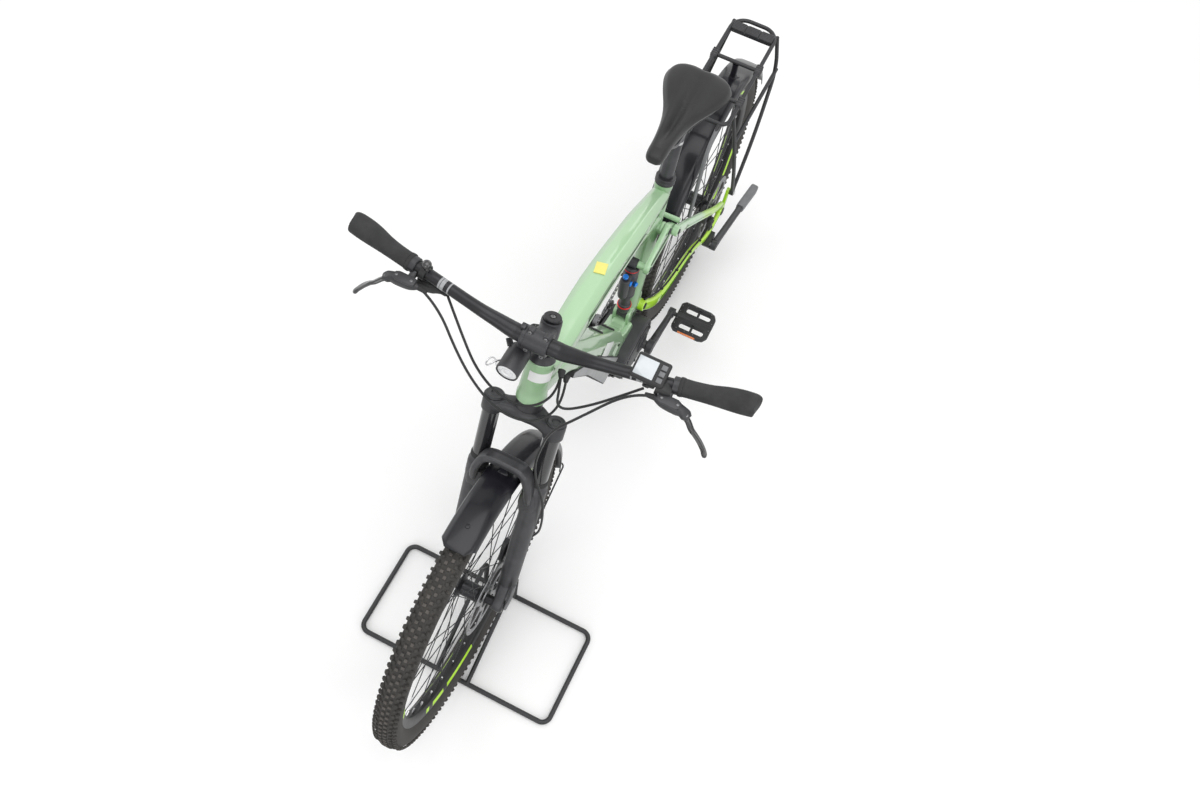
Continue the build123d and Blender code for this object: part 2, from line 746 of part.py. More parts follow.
def fender_band(place, start, end):
    """Arched mudguard shell over a wheel, between two angles from straight ahead."""
    half = fender_width / 2
    crown = fender_radius
    turned = Plane(place, x_dir=(cos(radians(start)), 0, sin(radians(start))), z_dir=(
        -sin(radians(start)), 0, cos(radians(start))))
    with BuildSketch(turned) as section:
        with BuildLine():
            Polyline(
                (crown - 18, -half), (crown - 5, 4 - half), (crown, 14 - half), (crown, half - 14),
                (crown - 5, half - 4), (crown - 18, half), (crown - 18, half - fender_wall),
                (crown - 6, half - 4 - fender_wall), (crown - fender_wall, half - 15),
                (crown - fender_wall, 15 - half), (crown - 6, 4 + fender_wall - half),
                (crown - 18, fender_wall - half), (crown - 18, -half),
            )
        make_face()
    revolve(section.sketch, axis=Axis(tuple(place), (0, -1, 0)), revolution_arc=end - start)


with BuildPart() as front_fender:
    fender_band(front_axle, fender_start_front, fender_end_front)
    bar(steer(fork_offset, 0, fender_radius - 1), steer(fork_offset, 0, arch_height - arch_radius - 0.5), 9)
finish(front_fender.part, "front_fender")

stay_radius = 2
stay_reach = fender_radius + seat_gap + stay_radius
stay_back = front_axle + Vector(-stay_reach * cos(radians(6)), 0, -stay_reach * sin(radians(6)))
stay_half = fender_width / 2 + seat_gap + stay_radius
stay_end = steer(-8, leg_spread, 30)
with BuildPart() as fender_stay:
    bent_tube([
        tuple(stay_end), (stay_back.X, stay_half, stay_back.Z), (stay_back.X, -stay_half, stay_back.Z),
        (stay_end.X, -stay_end.Y, stay_end.Z),
    ], stay_radius, [10, 10])
finish(fender_stay.part, "fender_stay")

with BuildPart() as rear_fender:
    fender_band(rear_axle, fender_start_rear, fender_end_rear)
    bracket_x = rear_axle.X - 96
    bracket_foot = rear_axle.Z + (fender_radius ** 2 - (bracket_x - rear_axle.X) ** 2) ** 0.5
    bar((bracket_x, 0, bracket_foot - 1.5), (bracket_x, 0, rack_height - rack_tube - seat_gap), 8)
finish(rear_fender.part, "rear_fender")

# ---- fork -----------------------------------------------------------------------------
leg_foot = -16
with BuildPart() as fork_lowers:
    for side in (-1, 1):
        with BuildSketch(steer_plane(leg_forward, side * leg_spread, leg_foot)):
            Circle(leg_radius - 3)
        with BuildSketch(steer_plane(leg_forward, side * leg_spread, leg_top)):
            Circle(leg_radius)
        loft()
        rod(front_axle, side * front_hub_width / 2, side * (front_hub_width / 2 + 24), 17)
        inner = side * (front_hub_width / 2)
        with BuildSketch(steer_plane(leg_forward, 0, leg_foot + 4)):
            with Locations(((fork_offset - leg_forward) / 2, side * (front_hub_width / 2 + 12))):
                Rectangle(fork_offset - leg_forward, 24)
        extrude(amount=44)
    arch_points = [
        tuple(steer(leg_forward + 12, leg_spread - 4, leg_top - 36)),
        tuple(steer(leg_forward + 28, leg_spread - 8, leg_top + 16)),
        tuple(steer(fork_offset - 2, leg_spread - 30, arch_height)),
        tuple(steer(fork_offset - 2, 30 - leg_spread, arch_height)),
        tuple(steer(leg_forward + 28, 8 - leg_spread, leg_top + 16)),
        tuple(steer(leg_forward + 12, 4 - leg_spread, leg_top - 36)),
    ]
    bent_tube(arch_points, arch_radius)
    for side in (-1, 1):
        bar(steer(leg_forward, side * leg_spread, 90), steer(leg_forward, side * leg_spread, leg_top + 60),
            stanchion_radius + running_fit, mode=Mode.SUBTRACT)
    rod(front_axle, -front_hub_width / 2 - 26, front_hub_width / 2 + 26, axle_radius)
finish(fork_lowers.part, "fork_lowers")

crown_depth = 38
with BuildPart() as fork_uppers:
    for side in (-1, 1):
        bar(steer(leg_forward, side * leg_spread, 92), steer(leg_forward, side * leg_spread, crown_top - 6),
            stanchion_radius)
        bar(steer(leg_forward, side * leg_spread, crown_top - 8),
            steer(leg_forward, side * leg_spread, crown_top - 2), 12)
    with BuildSketch(steer_plane(0, 0, crown_top - crown_depth)):
        for side in (-1, 1):
            with Locations((leg_forward, side * leg_spread)):
                Circle(stanchion_radius + 4)
        with Locations((2, 0)):
            Circle(25)
        make_hull()
    extrude(amount=crown_depth - 8)
    with BuildSketch(steer_plane(0, 0, crown_top - 8)):
        Circle(27)
    extrude(amount=head_tube_bottom - seat_gap - crown_top + 8)
    bar(steer(0, 0, crown_top), steer(0, 0, stem_height + stem_half), steerer_radius)
    with BuildSketch(steer_plane(0, 0, head_tube_top + seat_gap)):
        Circle(head_tube_radius - 3)
    with BuildSketch(steer_plane(0, 0, head_tube_top + headset_height)):
        Circle(18.5)
    loft()
    bar(steer(0, 0, head_tube_top + headset_height - 2), steer(0, 0, stem_height - stem_half - seat_gap),
        18.5)
finish(fork_uppers.part, "fork_uppers")

# ---- cockpit ----------------------------------------------------------------------------
bar_centre = steer(stem_length, 0, stem_height)
with BuildPart() as stem:
    bar(steer(0, 0, stem_height - stem_half), steer(0, 0, stem_height + stem_half), 20)
    bar(steer(0, 0, stem_height), steer(stem_length - 4, 0, stem_height), 17)
    bar(steer(0, 0, stem_height + stem_half), steer(0, 0, stem_height + stem_half + 7), 17)
    rod(bar_centre, -23, 23, bar_clamp_radius + 6)
    rod(bar_centre, -24, 24, bar_clamp_radius + running_fit, mode=Mode.SUBTRACT)
    bar(steer(0, 0, stem_height - stem_half - 1), steer(0, 0, stem_height + stem_half + running_fit),
        steerer_radius + running_fit, mode=Mode.SUBTRACT)
finish(stem.part, "stem")


def bar_point(side_y):
    """Centre of the handlebar at a distance to the left."""
    reach = bar_width / 2
    inner = 112
    share = (abs(side_y) - inner) / (reach - inner)
    return bar_centre + Vector(4 - bar_sweep * share, side_y, bar_rise + bar_upsweep * share)


bar_route = [
    tuple(bar_point(-bar_width / 2)),
    tuple(bar_point(-112)),
    tuple(bar_centre + Vector(0, -46, 0)),
    tuple(bar_centre + Vector(0, 46, 0)),
    tuple(bar_point(112)),
    tuple(bar_point(bar_width / 2)),
]
with BuildPart() as handlebar:
    bent_tube(bar_route, bar_radius)
    rod(bar_centre, -34, 34, bar_clamp_radius)
finish(handlebar.part, "handlebar")


def along_bar(side, distance_in):
    """Plane on the bar, its z axis pointing outward, at a distance in from the end."""
    end = bar_point(side * bar_width / 2)
    run = end - bar_point(side * 112)
    return Plane(end - run.normalized() * distance_in, x_dir=(1, 0, 0), z_dir=run)


for side, name in ((1, "left"), (-1, "right")):
    with BuildPart() as grip:
        with BuildSketch(along_bar(side, grip_length)):
            Circle(16)
        with BuildSketch(along_bar(side, grip_length * 0.4)):
            Circle(16.5)
        with BuildSketch(along_bar(side, 14)):
            Ellipse(21, 17)
        with BuildSketch(along_bar(side, -2)):
            Ellipse(18, 16)
        loft()
        with BuildSketch(along_bar(side, grip_length + 1)):
            Circle(bar_radius + running_fit)
        extrude(amount=grip_length + 1 + running_fit, mode=Mode.SUBTRACT)
    finish(grip.part, f"grip_{name}")


def clamp_ring(side, distance_in, width):
    """Clamp collar round the bar."""
    with BuildSketch(along_bar(side, distance_in)) as section:
        Circle(bar_radius + 5)
    extrude(section.sketch, amount=width)


def bar_bore(side):
    """Hole that takes the bar."""
    with BuildSketch(along_bar(side, bar_width / 2 - 112 - 2)) as section:
        Circle(bar_radius + running_fit)
    extrude(section.sketch, amount=bar_width / 2 - 112, mode=Mode.SUBTRACT)


lever_clamp = grip_length + 18
for side, name in ((1, "left"), (-1, "right")):
    with BuildPart() as brake_lever:
        clamp_ring(side, lever_clamp, 14)
        clamp = along_bar(side, lever_clamp - 7).origin
        bar(clamp + Vector(10, 0, -4), clamp + Vector(30, 0, -10), 7)
        bar(clamp + Vector(32, -side * 22, -10), clamp + Vector(34, side * 46, -12), 11)
        pivot = clamp + Vector(38, side * 42, -16)
        tip = clamp + Vector(64, side * 96, -63.5)
        bent_tube([tuple(pivot), tuple(pivot + Vector(16, side * 26, -12)), tuple(tip)], 5)
        bar_bore(side)
    finish(brake_lever.part, f"brake_lever_{name}")

with BuildPart() as shifter:
    clamp_ring(-1, lever_clamp + 22, 12)
    clamp = along_bar(-1, lever_clamp + 16).origin
    bar(clamp + Vector(0, 0, -12), clamp + Vector(2, 4, -26), 8)
    bar(clamp + Vector(4, 20, -26), clamp + Vector(4, -20, -28), 13)
    bar(clamp + Vector(4, 20, -26), clamp + Vector(10, 42, -24), 4)
    bar(clamp + Vector(0, 0, 10), clamp + Vector(0, 0, 28), 4)
    bar(clamp + Vector(0, 0, 26), clamp + Vector(0, 0, 36), 9)
    bar_bore(-1)
finish(shifter.part, "shifter")

with BuildPart() as display_unit:
    clamp_ring(1, lever_clamp + 44, 14)
    clamp = along_bar(1, lever_clamp + 37).origin
    with BuildSketch(Plane(clamp + Vector(-6, 0, 14), x_dir=(0.96, 0, -0.28), z_dir=(0.28, 0, 0.96))):
        RectangleRounded(46, 62, 8)
    extrude(amount=11)
    bar(clamp + Vector(0, 0, 10), clamp + Vector(-3, 0, 18), 8)
    bar_bore(1)
finish(display_unit.part, "display_unit")

lamp_rear = bar_centre + Vector(0, -31, -46)
lamp_length = 62
with BuildPart() as headlight:
    bar(lamp_rear, lamp_rear + Vector(lamp_length, 0, 2), 22)
    bar(lamp_rear + Vector(8, 0, 10), (bar_centre.X, -31, bar_centre.Z - 8), 7)
    rod(Vector(bar_centre.X, 0, bar_centre.Z), -36, -26, bar_clamp_radius + 5)
    rod(Vector(bar_centre.X, 0, bar_centre.Z), -40, -22, bar_clamp_radius + running_fit, mode=Mode.SUBTRACT)
finish(headlight.part, "headlight")

# ---- kickstand --------------------------------------------------------------------------
kick_pivot = rear_axle + Vector(kickstand_ahead, 0, -kickstand_drop)
kick_inner = 96
with BuildPart() as kickstand_mount:
    with BuildSketch(across(Vector(0, 0, 0), 64)):
        with Locations((kick_pivot.X, -kick_pivot.Z)):
            Circle(13)
        with Locations((kick_pivot.X, -kick_pivot.Z - 19.3)):
            Rectangle(50, 8)
        make_hull()
    extrude(amount=kick_inner - seat_gap - 64)
    rod(kick_pivot, kick_inner - 2, kick_inner + 16, 6)
finish(kickstand_mount.part, "kickstand_mount")

kick_angle = 191
kick_run = Vector(cos(radians(kick_angle)), 0, sin(radians(kick_angle)))
with BuildPart() as kickstand:
    rod(kick_pivot, kick_inner, kick_inner + 18, 14)
    bar(kick_pivot + Vector(0, kick_inner + 9, 0) + kick_run * 8,
        kick_pivot + Vector(0, kick_inner + 24, 0) + kick_run * (kickstand_length - 50), 9)
    bar(kick_pivot + Vector(0, kick_inner + 20, 0) + kick_run * (kickstand_length - 110),
        kick_pivot + Vector(0, kick_inner + 28, 0) + kick_run * kickstand_length, 11)
    rod(kick_pivot, kick_inner - 3, kick_inner + 16 + running_fit, 6 + running_fit, mode=Mode.SUBTRACT)
finish(kickstand.part, "kickstand")

# ---- rack ---------------------------------------------------------------------------------
front_leg_x = rear_axle.X + 49
rear_leg_x = rack_rear + 3
rail_half = 76
rail_height = rack_height - 100
brace_end = stay_bend + (stay_knee - stay_bend) * 0.166 + Vector(0, 0, 19)
with BuildPart() as rear_rack:
    bent_tube([
        (rack_front, 0.5, rack_height), (rack_front, rack_half_width, rack_height),
        (rack_rear, rack_half_width, rack_height + 6), (rack_rear, -rack_half_width, rack_height + 6),
        (rack_front, -rack_half_width, rack_height), (rack_front, -0.5, rack_height),
    ], rack_tube, [22, 40, 40, 22])
    for cross_x in (rear_axle.X + 24, rear_axle.X - 96):
        bar((cross_x, -rack_half_width, rack_height), (cross_x, rack_half_width, rack_height), rack_tube)
    with BuildSketch(Plane((rack_rear + 33, 0, rack_height))):
        RectangleRounded(30, 2 * rack_half_width, 8)
    extrude(amount=8)
    for side in (-1, 1):
        bent_tube([
            (rack_eye.X, side * rack_foot_half, rack_eye.Z),
            (rack_eye.X + 44, side * (rack_foot_half - 4), rack_eye.Z + 132),
            (front_leg_x, side * rail_half, rail_height),
            (front_leg_x + 15, side * rack_half_width, rack_height),
        ], rack_tube)
        bent_tube([
            (rack_eye.X, side * rack_foot_half, rack_eye.Z),
            (rack_eye.X - 90, side * (rack_foot_half - 2), rack_eye.Z + 132),
            (rear_leg_x, side * (rail_half + 2), rail_height),
            (rear_leg_x + 10, side * rack_half_width, rack_height + 4),
        ], rack_tube)
        bar((front_leg_x, side * rail_half, rail_height), (rear_leg_x, side * (rail_half + 2), rail_height),
            rack_tube)
        rod(rack_eye, side * (dropout_outer + seat_gap), side * 99, 9)
        bent_tube([
            (rack_front + 4, side * 40, rack_height), (rack_front + 76, side * 44, rack_height - 20),
            (brace_end.X, side * 53, brace_end.Z),
        ], rack_tube)
finish(rear_rack.part, "rear_rack")

# ---- brakes ------------------------------------------------------------------------------
with BuildPart() as front_brake:
    for start, end in ((front_rotor_y - 15, front_rotor_y - 2.5), (front_rotor_y + 2.5, front_rotor_y + 17)):
        with BuildSketch(steer_plane(-24, (start + end) / 2, 62)):
            Rectangle(30, end - start)
        extrude(amount=60)
    with BuildSketch(steer_plane(-32, front_rotor_y + 1, 62)):
        Rectangle(14, 32)
    extrude(amount=60)
    for up in (66, 118):
        bar(steer(-30, front_rotor_y + 12, up), steer(leg_forward - 12, leg_spread, up), 6)
    bar(steer(leg_forward, leg_spread, 50), steer(leg_forward, leg_spread, 130), leg_radius - 2 + seat_gap,
        mode=Mode.SUBTRACT)
finish(front_brake.part, "front_brake")

with BuildPart() as rear_brake:
    for start, end in ((rear_rotor_y - 15, rear_rotor_y - 2.5), (rear_rotor_y + 2.5, rear_rotor_y + 13)):
        with BuildSketch(across(rear_axle + Vector(66, 0, 44), start)):
            Rectangle(44, 26)
        extrude(amount=end - start)
    with BuildSketch(across(rear_axle + Vector(92, 0, 56), rear_rotor_y - 15)):
        Rectangle(16, 30)
    extrude(amount=28)
    with BuildSketch(across(rear_axle + Vector(74, 0, 24.5), rear_rotor_y + 11)):
        Rectangle(20, 44)
    extrude(amount=16)
finish(rear_brake.part, "rear_brake")

# ---- display stand -------------------------------------------------------------------------
stand_inner = tyre_width / 2 + stand_wheel_gap + stand_tube
with BuildPart() as display_stand:
    for side in (-1, 1):
        bent_tube([
            (stand_rear, 0, stand_tube), (stand_rear, side * stand_half_width, stand_tube),
            (stand_front, side * stand_half_width, stand_tube), (stand_front, 0, stand_tube),
        ], stand_tube, [22, 22])
        bent_tube([
            (stand_front, side * stand_inner, stand_tube),
            (stand_rear - 14, side * stand_inner, stand_hoop_height),
            (stand_rear, side * stand_inner, stand_tube),
        ], stand_tube - 0.5, [20])
finish(display_stand.part, "display_stand")

# ---- cables and hoses ------------------------------------------------------------------------
hose_radius = 2.5
head_foot = steer(0, 0, head_tube_bottom)
lever_left_end = along_bar(1, lever_clamp - 7).origin + Vector(32, -22, -10)
lever_right_end = along_bar(-1, lever_clamp - 7).origin + Vector(32, 22, -10)
hose_routes = {
    "hose_front_brake": [
        tuple(lever_left_end + Vector(0, -0.8, 0)), tuple(lever_left_end + Vector(6, -38, -6)),
        tuple(bar_centre + Vector(93, 122, -26)), tuple(bar_centre + Vector(117, 84, -70)),
        tuple(steer(84, 66, 510)), tuple(steer(68, 62, 460)),
        tuple(steer(56, 70, 410)), tuple(steer(42, 90, 360)), tuple(steer(28, 98, 305)),
        tuple(steer(10, 98, 250)), tuple(steer(-12, 92, 205)), tuple(steer(-26, 76, 165)),
        tuple(steer(-30, 58, 122.5)),
    ],
    "hose_rear_brake": [
        tuple(lever_right_end + Vector(0, 1, 0)), tuple(lever_right_end + Vector(14, 44, -4)),
        tuple(bar_centre + Vector(81, -118, -20)), tuple(bar_centre + Vector(103, -70, -62)),
        tuple(bar_centre + Vector(109, -22, -104)), tuple(bar_centre + Vector(93, 26, -134)),
        tuple(head_foot + Vector(36, 56, 28)), tuple(head_foot + Vector(-12, 62, 28)),
        tuple(head_foot + Vector(-52, 48, 32)),
    ],
    "cable_shifter": [
        tuple(along_bar(-1, lever_clamp + 16).origin + Vector(10, 43.6, -24)),
        tuple(bar_centre + Vector(47, -126, -20)), tuple(bar_centre + Vector(73, -86, -58)),
        tuple(bar_centre + Vector(83, -40, -96)), tuple(bar_centre + Vector(73, 6, -124)),
        tuple(head_foot + Vector(24, 36, 44)), tuple(head_foot + Vector(-14, 48, 48)),
        tuple(head_foot + Vector(-50, 38, 50)),
    ],
    "cable_display": [
        tuple(along_bar(1, lever_clamp + 37).origin + Vector(17.2, 0, -9)),
        tuple(bar_centre + Vector(43, 158, -8)), tuple(bar_centre + Vector(59, 118, -44)),
        tuple(bar_centre + Vector(61, 86, -80)), tuple(head_foot + Vector(24, 64, 68)),
        tuple(head_foot + Vector(-6, 54, 62)), tuple(head_foot + Vector(-40, 42, 64)),
    ],
}
for hose_name, route in hose_routes.items():
    with BuildPart() as hose:
        length = bent_tube(route, hose_radius)
    print(hose_name, round(hose.part.volume / (pi * hose_radius ** 2 * length), 4),
          [round(bend) for bend in bend_radii(route)])
    finish(hose.part, hose_name)

with BuildPart() as hose_rear:
    route = [
        tuple(main_pivot + Vector(-6, 27, 18.5)), tuple(main_pivot + Vector(-70, 46, -21)),
        tuple((main_pivot + rear_axle) * 0.5 + Vector(45, 53, -10.5)), tuple(rear_axle + Vector(160, 60, 0.5)),
        tuple(rear_axle + Vector(104, 73, 1)), tuple(rear_axle + Vector(84.5, 76, 15.5)),
    ]
    bent_tube(route, hose_radius)
finish(hose_rear.part, "hose_rear")

with BuildPart() as keys:
    key_place = collar + Vector(-39.5, 0, 8)
    rod(key_place, -1, 1, 14)
    rod(key_place, -2, 2, 11.5, mode=Mode.SUBTRACT)
    for lean in (-0.25, 0.2):
        bar(key_place + Vector(lean * 10, 0, -12), key_place + Vector(lean * 60, 0, -62), 4)
finish(keys.part, "keys")
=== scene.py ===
# %% [markdown]
# An electric trail bicycle, dressed over its fixed CAD frame. Each later step adds the
# finish, or a finer piece, to one part of the machine.

# %% Load the frame
from math import acos, atan2, cos, degrees, hypot, pi, radians, sin, sqrt

import bpy
from mathutils import Euler, Matrix, Vector
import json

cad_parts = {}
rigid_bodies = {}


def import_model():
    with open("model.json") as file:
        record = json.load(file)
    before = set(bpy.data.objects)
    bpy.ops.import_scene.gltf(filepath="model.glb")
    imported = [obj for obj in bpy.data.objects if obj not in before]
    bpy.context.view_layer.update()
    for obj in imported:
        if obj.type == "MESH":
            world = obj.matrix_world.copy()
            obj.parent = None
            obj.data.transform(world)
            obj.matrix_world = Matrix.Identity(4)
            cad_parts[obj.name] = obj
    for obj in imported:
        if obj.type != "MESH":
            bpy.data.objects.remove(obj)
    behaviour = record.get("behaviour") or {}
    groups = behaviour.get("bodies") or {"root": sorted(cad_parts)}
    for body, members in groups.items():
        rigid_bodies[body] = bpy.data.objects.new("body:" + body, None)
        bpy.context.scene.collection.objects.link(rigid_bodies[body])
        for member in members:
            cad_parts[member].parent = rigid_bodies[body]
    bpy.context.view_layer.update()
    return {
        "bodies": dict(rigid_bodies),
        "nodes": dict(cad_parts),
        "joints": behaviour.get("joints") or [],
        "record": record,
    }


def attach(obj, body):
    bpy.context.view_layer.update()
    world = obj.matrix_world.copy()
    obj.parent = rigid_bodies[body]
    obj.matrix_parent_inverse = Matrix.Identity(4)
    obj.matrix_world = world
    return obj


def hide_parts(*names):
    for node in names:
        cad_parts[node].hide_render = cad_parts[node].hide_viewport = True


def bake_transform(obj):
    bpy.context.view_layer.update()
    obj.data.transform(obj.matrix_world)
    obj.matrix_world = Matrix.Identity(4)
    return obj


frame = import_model()

# %% [markdown]
# The camera stands high in front of the bicycle, a little to its left, and looks down along it.
# A look-at camera is built from three unit vectors: where it looks, its right and its up.
# The roll turns the picture about the line of sight, as a hand-held camera leans.

# %% Camera
camera_place = Vector((1.1448, 0.3823, 2.5634))
camera_yaw = radians(197.289)
camera_pitch = radians(-62.65)
camera_roll = radians(9.698)
camera_lens = 30.09

look = Vector((
    cos(camera_pitch) * cos(camera_yaw),
    cos(camera_pitch) * sin(camera_yaw),
    sin(camera_pitch),
))
level_right = look.cross(Vector((0, 0, 1))).normalized()
level_up = level_right.cross(look)
camera_right = level_right * cos(camera_roll) + level_up * sin(camera_roll)
camera_up = level_up * cos(camera_roll) - level_right * sin(camera_roll)

bpy.ops.object.camera_add(location=camera_place)
camera = bpy.context.object
camera.name = "camera"
camera.data.lens = camera_lens
camera.data.sensor_width = 36
camera.data.clip_start = 0.05
camera.data.clip_end = 60
turned = Matrix((camera_right, camera_up, -look)).transposed().to_4x4()
camera.matrix_world = Matrix.Translation(camera_place) @ turned
bpy.context.scene.camera = camera
print("camera looks along", [round(part, 3) for part in look])

# %% [markdown]
# A studio is a pale floor, one large soft light overhead and two weaker ones at the sides.
# The world fills the shadows. What the camera sees behind the object is plain white, which
# comes from the world's and the floor's colour for camera rays, not from stronger lamps.

# %% Studio
scene = bpy.context.scene
scene.view_settings.view_transform = "Standard"

bpy.ops.mesh.primitive_plane_add(size=60, location=(0, 0, -0.0012))
floor = bpy.context.object
floor.name = "studio_floor"


def soft_light(name, place, target, size, power):
    """Add one square softbox that faces its target."""
    bpy.ops.object.light_add(type="AREA", location=place)
    lamp = bpy.context.object
    lamp.name = name
    lamp.data.size = size
    lamp.data.energy = power
    aim = Vector(target) - Vector(place)
    lamp.rotation_euler = aim.to_track_quat("-Z", "Y").to_euler()
    return lamp


soft_light("overhead_softbox", (0.2, 0.4, 4.2), (0, 0, 0.4), 3.2, 62)
soft_light("left_softbox", (0.9, 3.4, 2.2), (0, 0, 0.5), 2.2, 30)
soft_light("right_softbox", (-0.6, -3.4, 2.0), (0, 0, 0.5), 2.2, 22)
soft_light("front_softbox", (3.8, 0.2, 1.9), (0, 0, 0.5), 2.0, 22)
soft_light("rear_softbox", (-3.8, 0.3, 2.1), (0, 0, 0.5), 2.0, 18)

# %% [markdown]
# Materials are written as sums: a small class wraps a node's output socket, so that mask * 2
# adds a Math node. Numbers alone stay Python numbers. Every other node comes from one method,
# which sets the node's own settings first and then its inputs, as values or as links.


# %% Shader helpers
class Field:
    """One value that changes over a surface, usable in Python sums."""

    def __init__(self, paint, socket):
        self.paint = paint
        self.socket = socket

    def math(self, operation, *others, clamp=False):
        settings = {"operation": operation, "use_clamp": clamp}
        return self.paint.add("ShaderNodeMath", settings, [self, *others])

    def __add__(self, other):
        return self.math("ADD", other)

    __radd__ = __add__

    def __sub__(self, other):
        return self.math("SUBTRACT", other)

    def __rsub__(self, other):
        return self.paint.add("ShaderNodeMath", {"operation": "SUBTRACT"}, [other, self])

    def __mul__(self, other):
        return self.math("MULTIPLY", other)

    __rmul__ = __mul__

    def __truediv__(self, other):
        return self.math("DIVIDE", other)

    def __rtruediv__(self, other):
        return self.paint.add("ShaderNodeMath", {"operation": "DIVIDE"}, [other, self])

    def __neg__(self):
        return self * -1.0

    def __gt__(self, other):
        return self.math("GREATER_THAN", other)

    def __lt__(self, other):
        return self.math("LESS_THAN", other)

    def absolute(self):
        return self.math("ABSOLUTE")

    def limited(self):
        return self.math("ADD", 0.0, clamp=True)

    def power(self, exponent):
        return self.math("POWER", exponent)

    def modulo(self, size):
        return self.math("FLOORED_MODULO", size)

    def sine(self):
        return self.math("SINE")

    def ramp(self, low, high):
        """0 below low, 1 above high, straight between."""
        return ((self - low) / (high - low)).limited()

    def smooth(self, low, high):
        """0 below low, 1 above high, eased between."""
        share = self.ramp(low, high)
        return share * share * (3.0 - 2.0 * share)


class Paint:
    """A material under construction."""

    def __init__(self, name, color, roughness=0.5, metallic=0.0):
        self.material = bpy.data.materials.new(name)
        self.material.use_nodes = True
        self.tree = self.material.node_tree
        self.shader = self.tree.nodes["Principled BSDF"]
        self.set("Base Color", (*color, 1.0))
        self.set("Roughness", roughness)
        self.set("Metallic", metallic)
        self.material.diffuse_color = (*color, 1.0)

    def set(self, socket, value):
        """Give one of the shader's sockets a constant or a link."""
        if isinstance(value, Field):
            self.tree.links.new(value.socket, self.shader.inputs[socket])
        else:
            self.shader.inputs[socket].default_value = value
        return self

    def add(self, kind, settings=None, inputs=None, output=0):
        """Add a node, set it up, feed it, and hand back one of its outputs."""
        node = self.tree.nodes.new(kind)
        for key, value in (settings or {}).items():
            setattr(node, key, value)
        entries = inputs.items() if isinstance(inputs, dict) else enumerate(inputs or [])
        for key, value in entries:
            if isinstance(value, Field):
                self.tree.links.new(value.socket, node.inputs[key])
            else:
                node.inputs[key].default_value = value
        return Field(self, node.outputs[output])

    def place(self):
        """The point on the object, in metres."""
        return self.add("ShaderNodeTexCoord", output="Object")

    def moved(self, offset=(0, 0, 0), size=(1, 1, 1)):
        """The same point, moved and scaled for a pattern of its own."""
        return self.add("ShaderNodeMapping", {}, {
            "Vector": self.place(), "Location": offset, "Scale": size})

    def axes(self, point=None):
        """X, Y and Z of a point as three fields."""
        node = self.tree.nodes.new("ShaderNodeSeparateXYZ")
        self.tree.links.new((point or self.place()).socket, node.inputs[0])
        return [Field(self, output) for output in node.outputs]

    def noise(self, scale, detail=4.0, point=None):
        """Cloudy noise from 0 to 1."""
        return self.add("ShaderNodeTexNoise", {}, {
            "Vector": point or self.place(), "Scale": scale, "Detail": detail,
            "Roughness": 0.55})

    def cells(self, scale):
        """Distance to scattered points, as in grain or pebbling."""
        return self.add("ShaderNodeTexVoronoi", {}, {"Vector": self.place(), "Scale": scale})

    def mix(self, share, first, second):
        """Blend two colours by a share from 0 to 1."""
        first = first if isinstance(first, Field) else (*first, 1.0)
        second = second if isinstance(second, Field) else (*second, 1.0)
        return self.add("ShaderNodeMix", {"data_type": "RGBA"}, {0: share, 6: first, 7: second},
                        output=2)

    def bump(self, height, distance, strength=1.0):
        """Let a height in 0 to 1 press the surface in or out by a distance in metres."""
        normal = self.add("ShaderNodeBump", {}, {
            "Height": height, "Distance": distance, "Strength": strength})
        return self.set("Normal", normal)


def wear(paint, color, worn, scale=9.0, amount=0.35):
    """Two tones of one colour in soft clouds, as handled surfaces have."""
    return paint.mix(paint.noise(scale, 6.0).ramp(0.35, 0.75) * amount, color, worn)


print("shader helpers ready")

# %% [markdown]
# The floor and the world look white to the camera and to mirrors, and pale grey to the light
# that they send back, so the object keeps soft shading and the floor keeps its shadow.

# %% Floor and world
floor_paint = Paint("studio_white", (0.86, 0.86, 0.86), roughness=0.9)
seen = floor_paint.add("ShaderNodeLightPath", output="Is Camera Ray")
mirrored_ray = floor_paint.add("ShaderNodeLightPath", output="Is Glossy Ray")
along_x, along_y, _ = floor_paint.axes()
far_away = (along_x * along_x + along_y * along_y).power(0.5).smooth(1.5, 3.2)
lit_white = (seen + mirrored_ray).limited() * far_away
near_white = floor_paint.mix(seen, (0.78, 0.78, 0.78), (1.0, 1.0, 1.0))
floor_paint.set("Base Color", floor_paint.mix(lit_white, near_white, (0.0, 0.0, 0.0)))
floor_paint.set("Emission Color", floor_paint.mix(lit_white, (0.0, 0.0, 0.0), (1.0, 1.0, 1.0)))
floor_paint.set("Emission Strength", 1.0)
floor_paint.set("Specular IOR Level", 0.0)
floor.data.materials.append(floor_paint.material)

world = bpy.data.worlds.new("studio_world")
scene.world = world
world.use_nodes = True
world_nodes = world.node_tree.nodes
world_links = world.node_tree.links
world_path = world_nodes.new("ShaderNodeLightPath")
world_mix = world_nodes.new("ShaderNodeMix")
world_sum = world_nodes.new("ShaderNodeMath")
world_sum.operation = "MAXIMUM"
world_links.new(world_path.outputs["Is Camera Ray"], world_sum.inputs[0])
world_links.new(world_path.outputs["Is Glossy Ray"], world_sum.inputs[1])
world_mix.inputs[2].default_value = 0.62
world_mix.inputs[3].default_value = 1.0
world_links.new(world_sum.outputs[0], world_mix.inputs[0])
world_links.new(world_mix.outputs[0], world_nodes["Background"].inputs["Strength"])
world_nodes["Background"].inputs["Color"].default_value = (1, 1, 1, 1)
print("floor and world are pale")

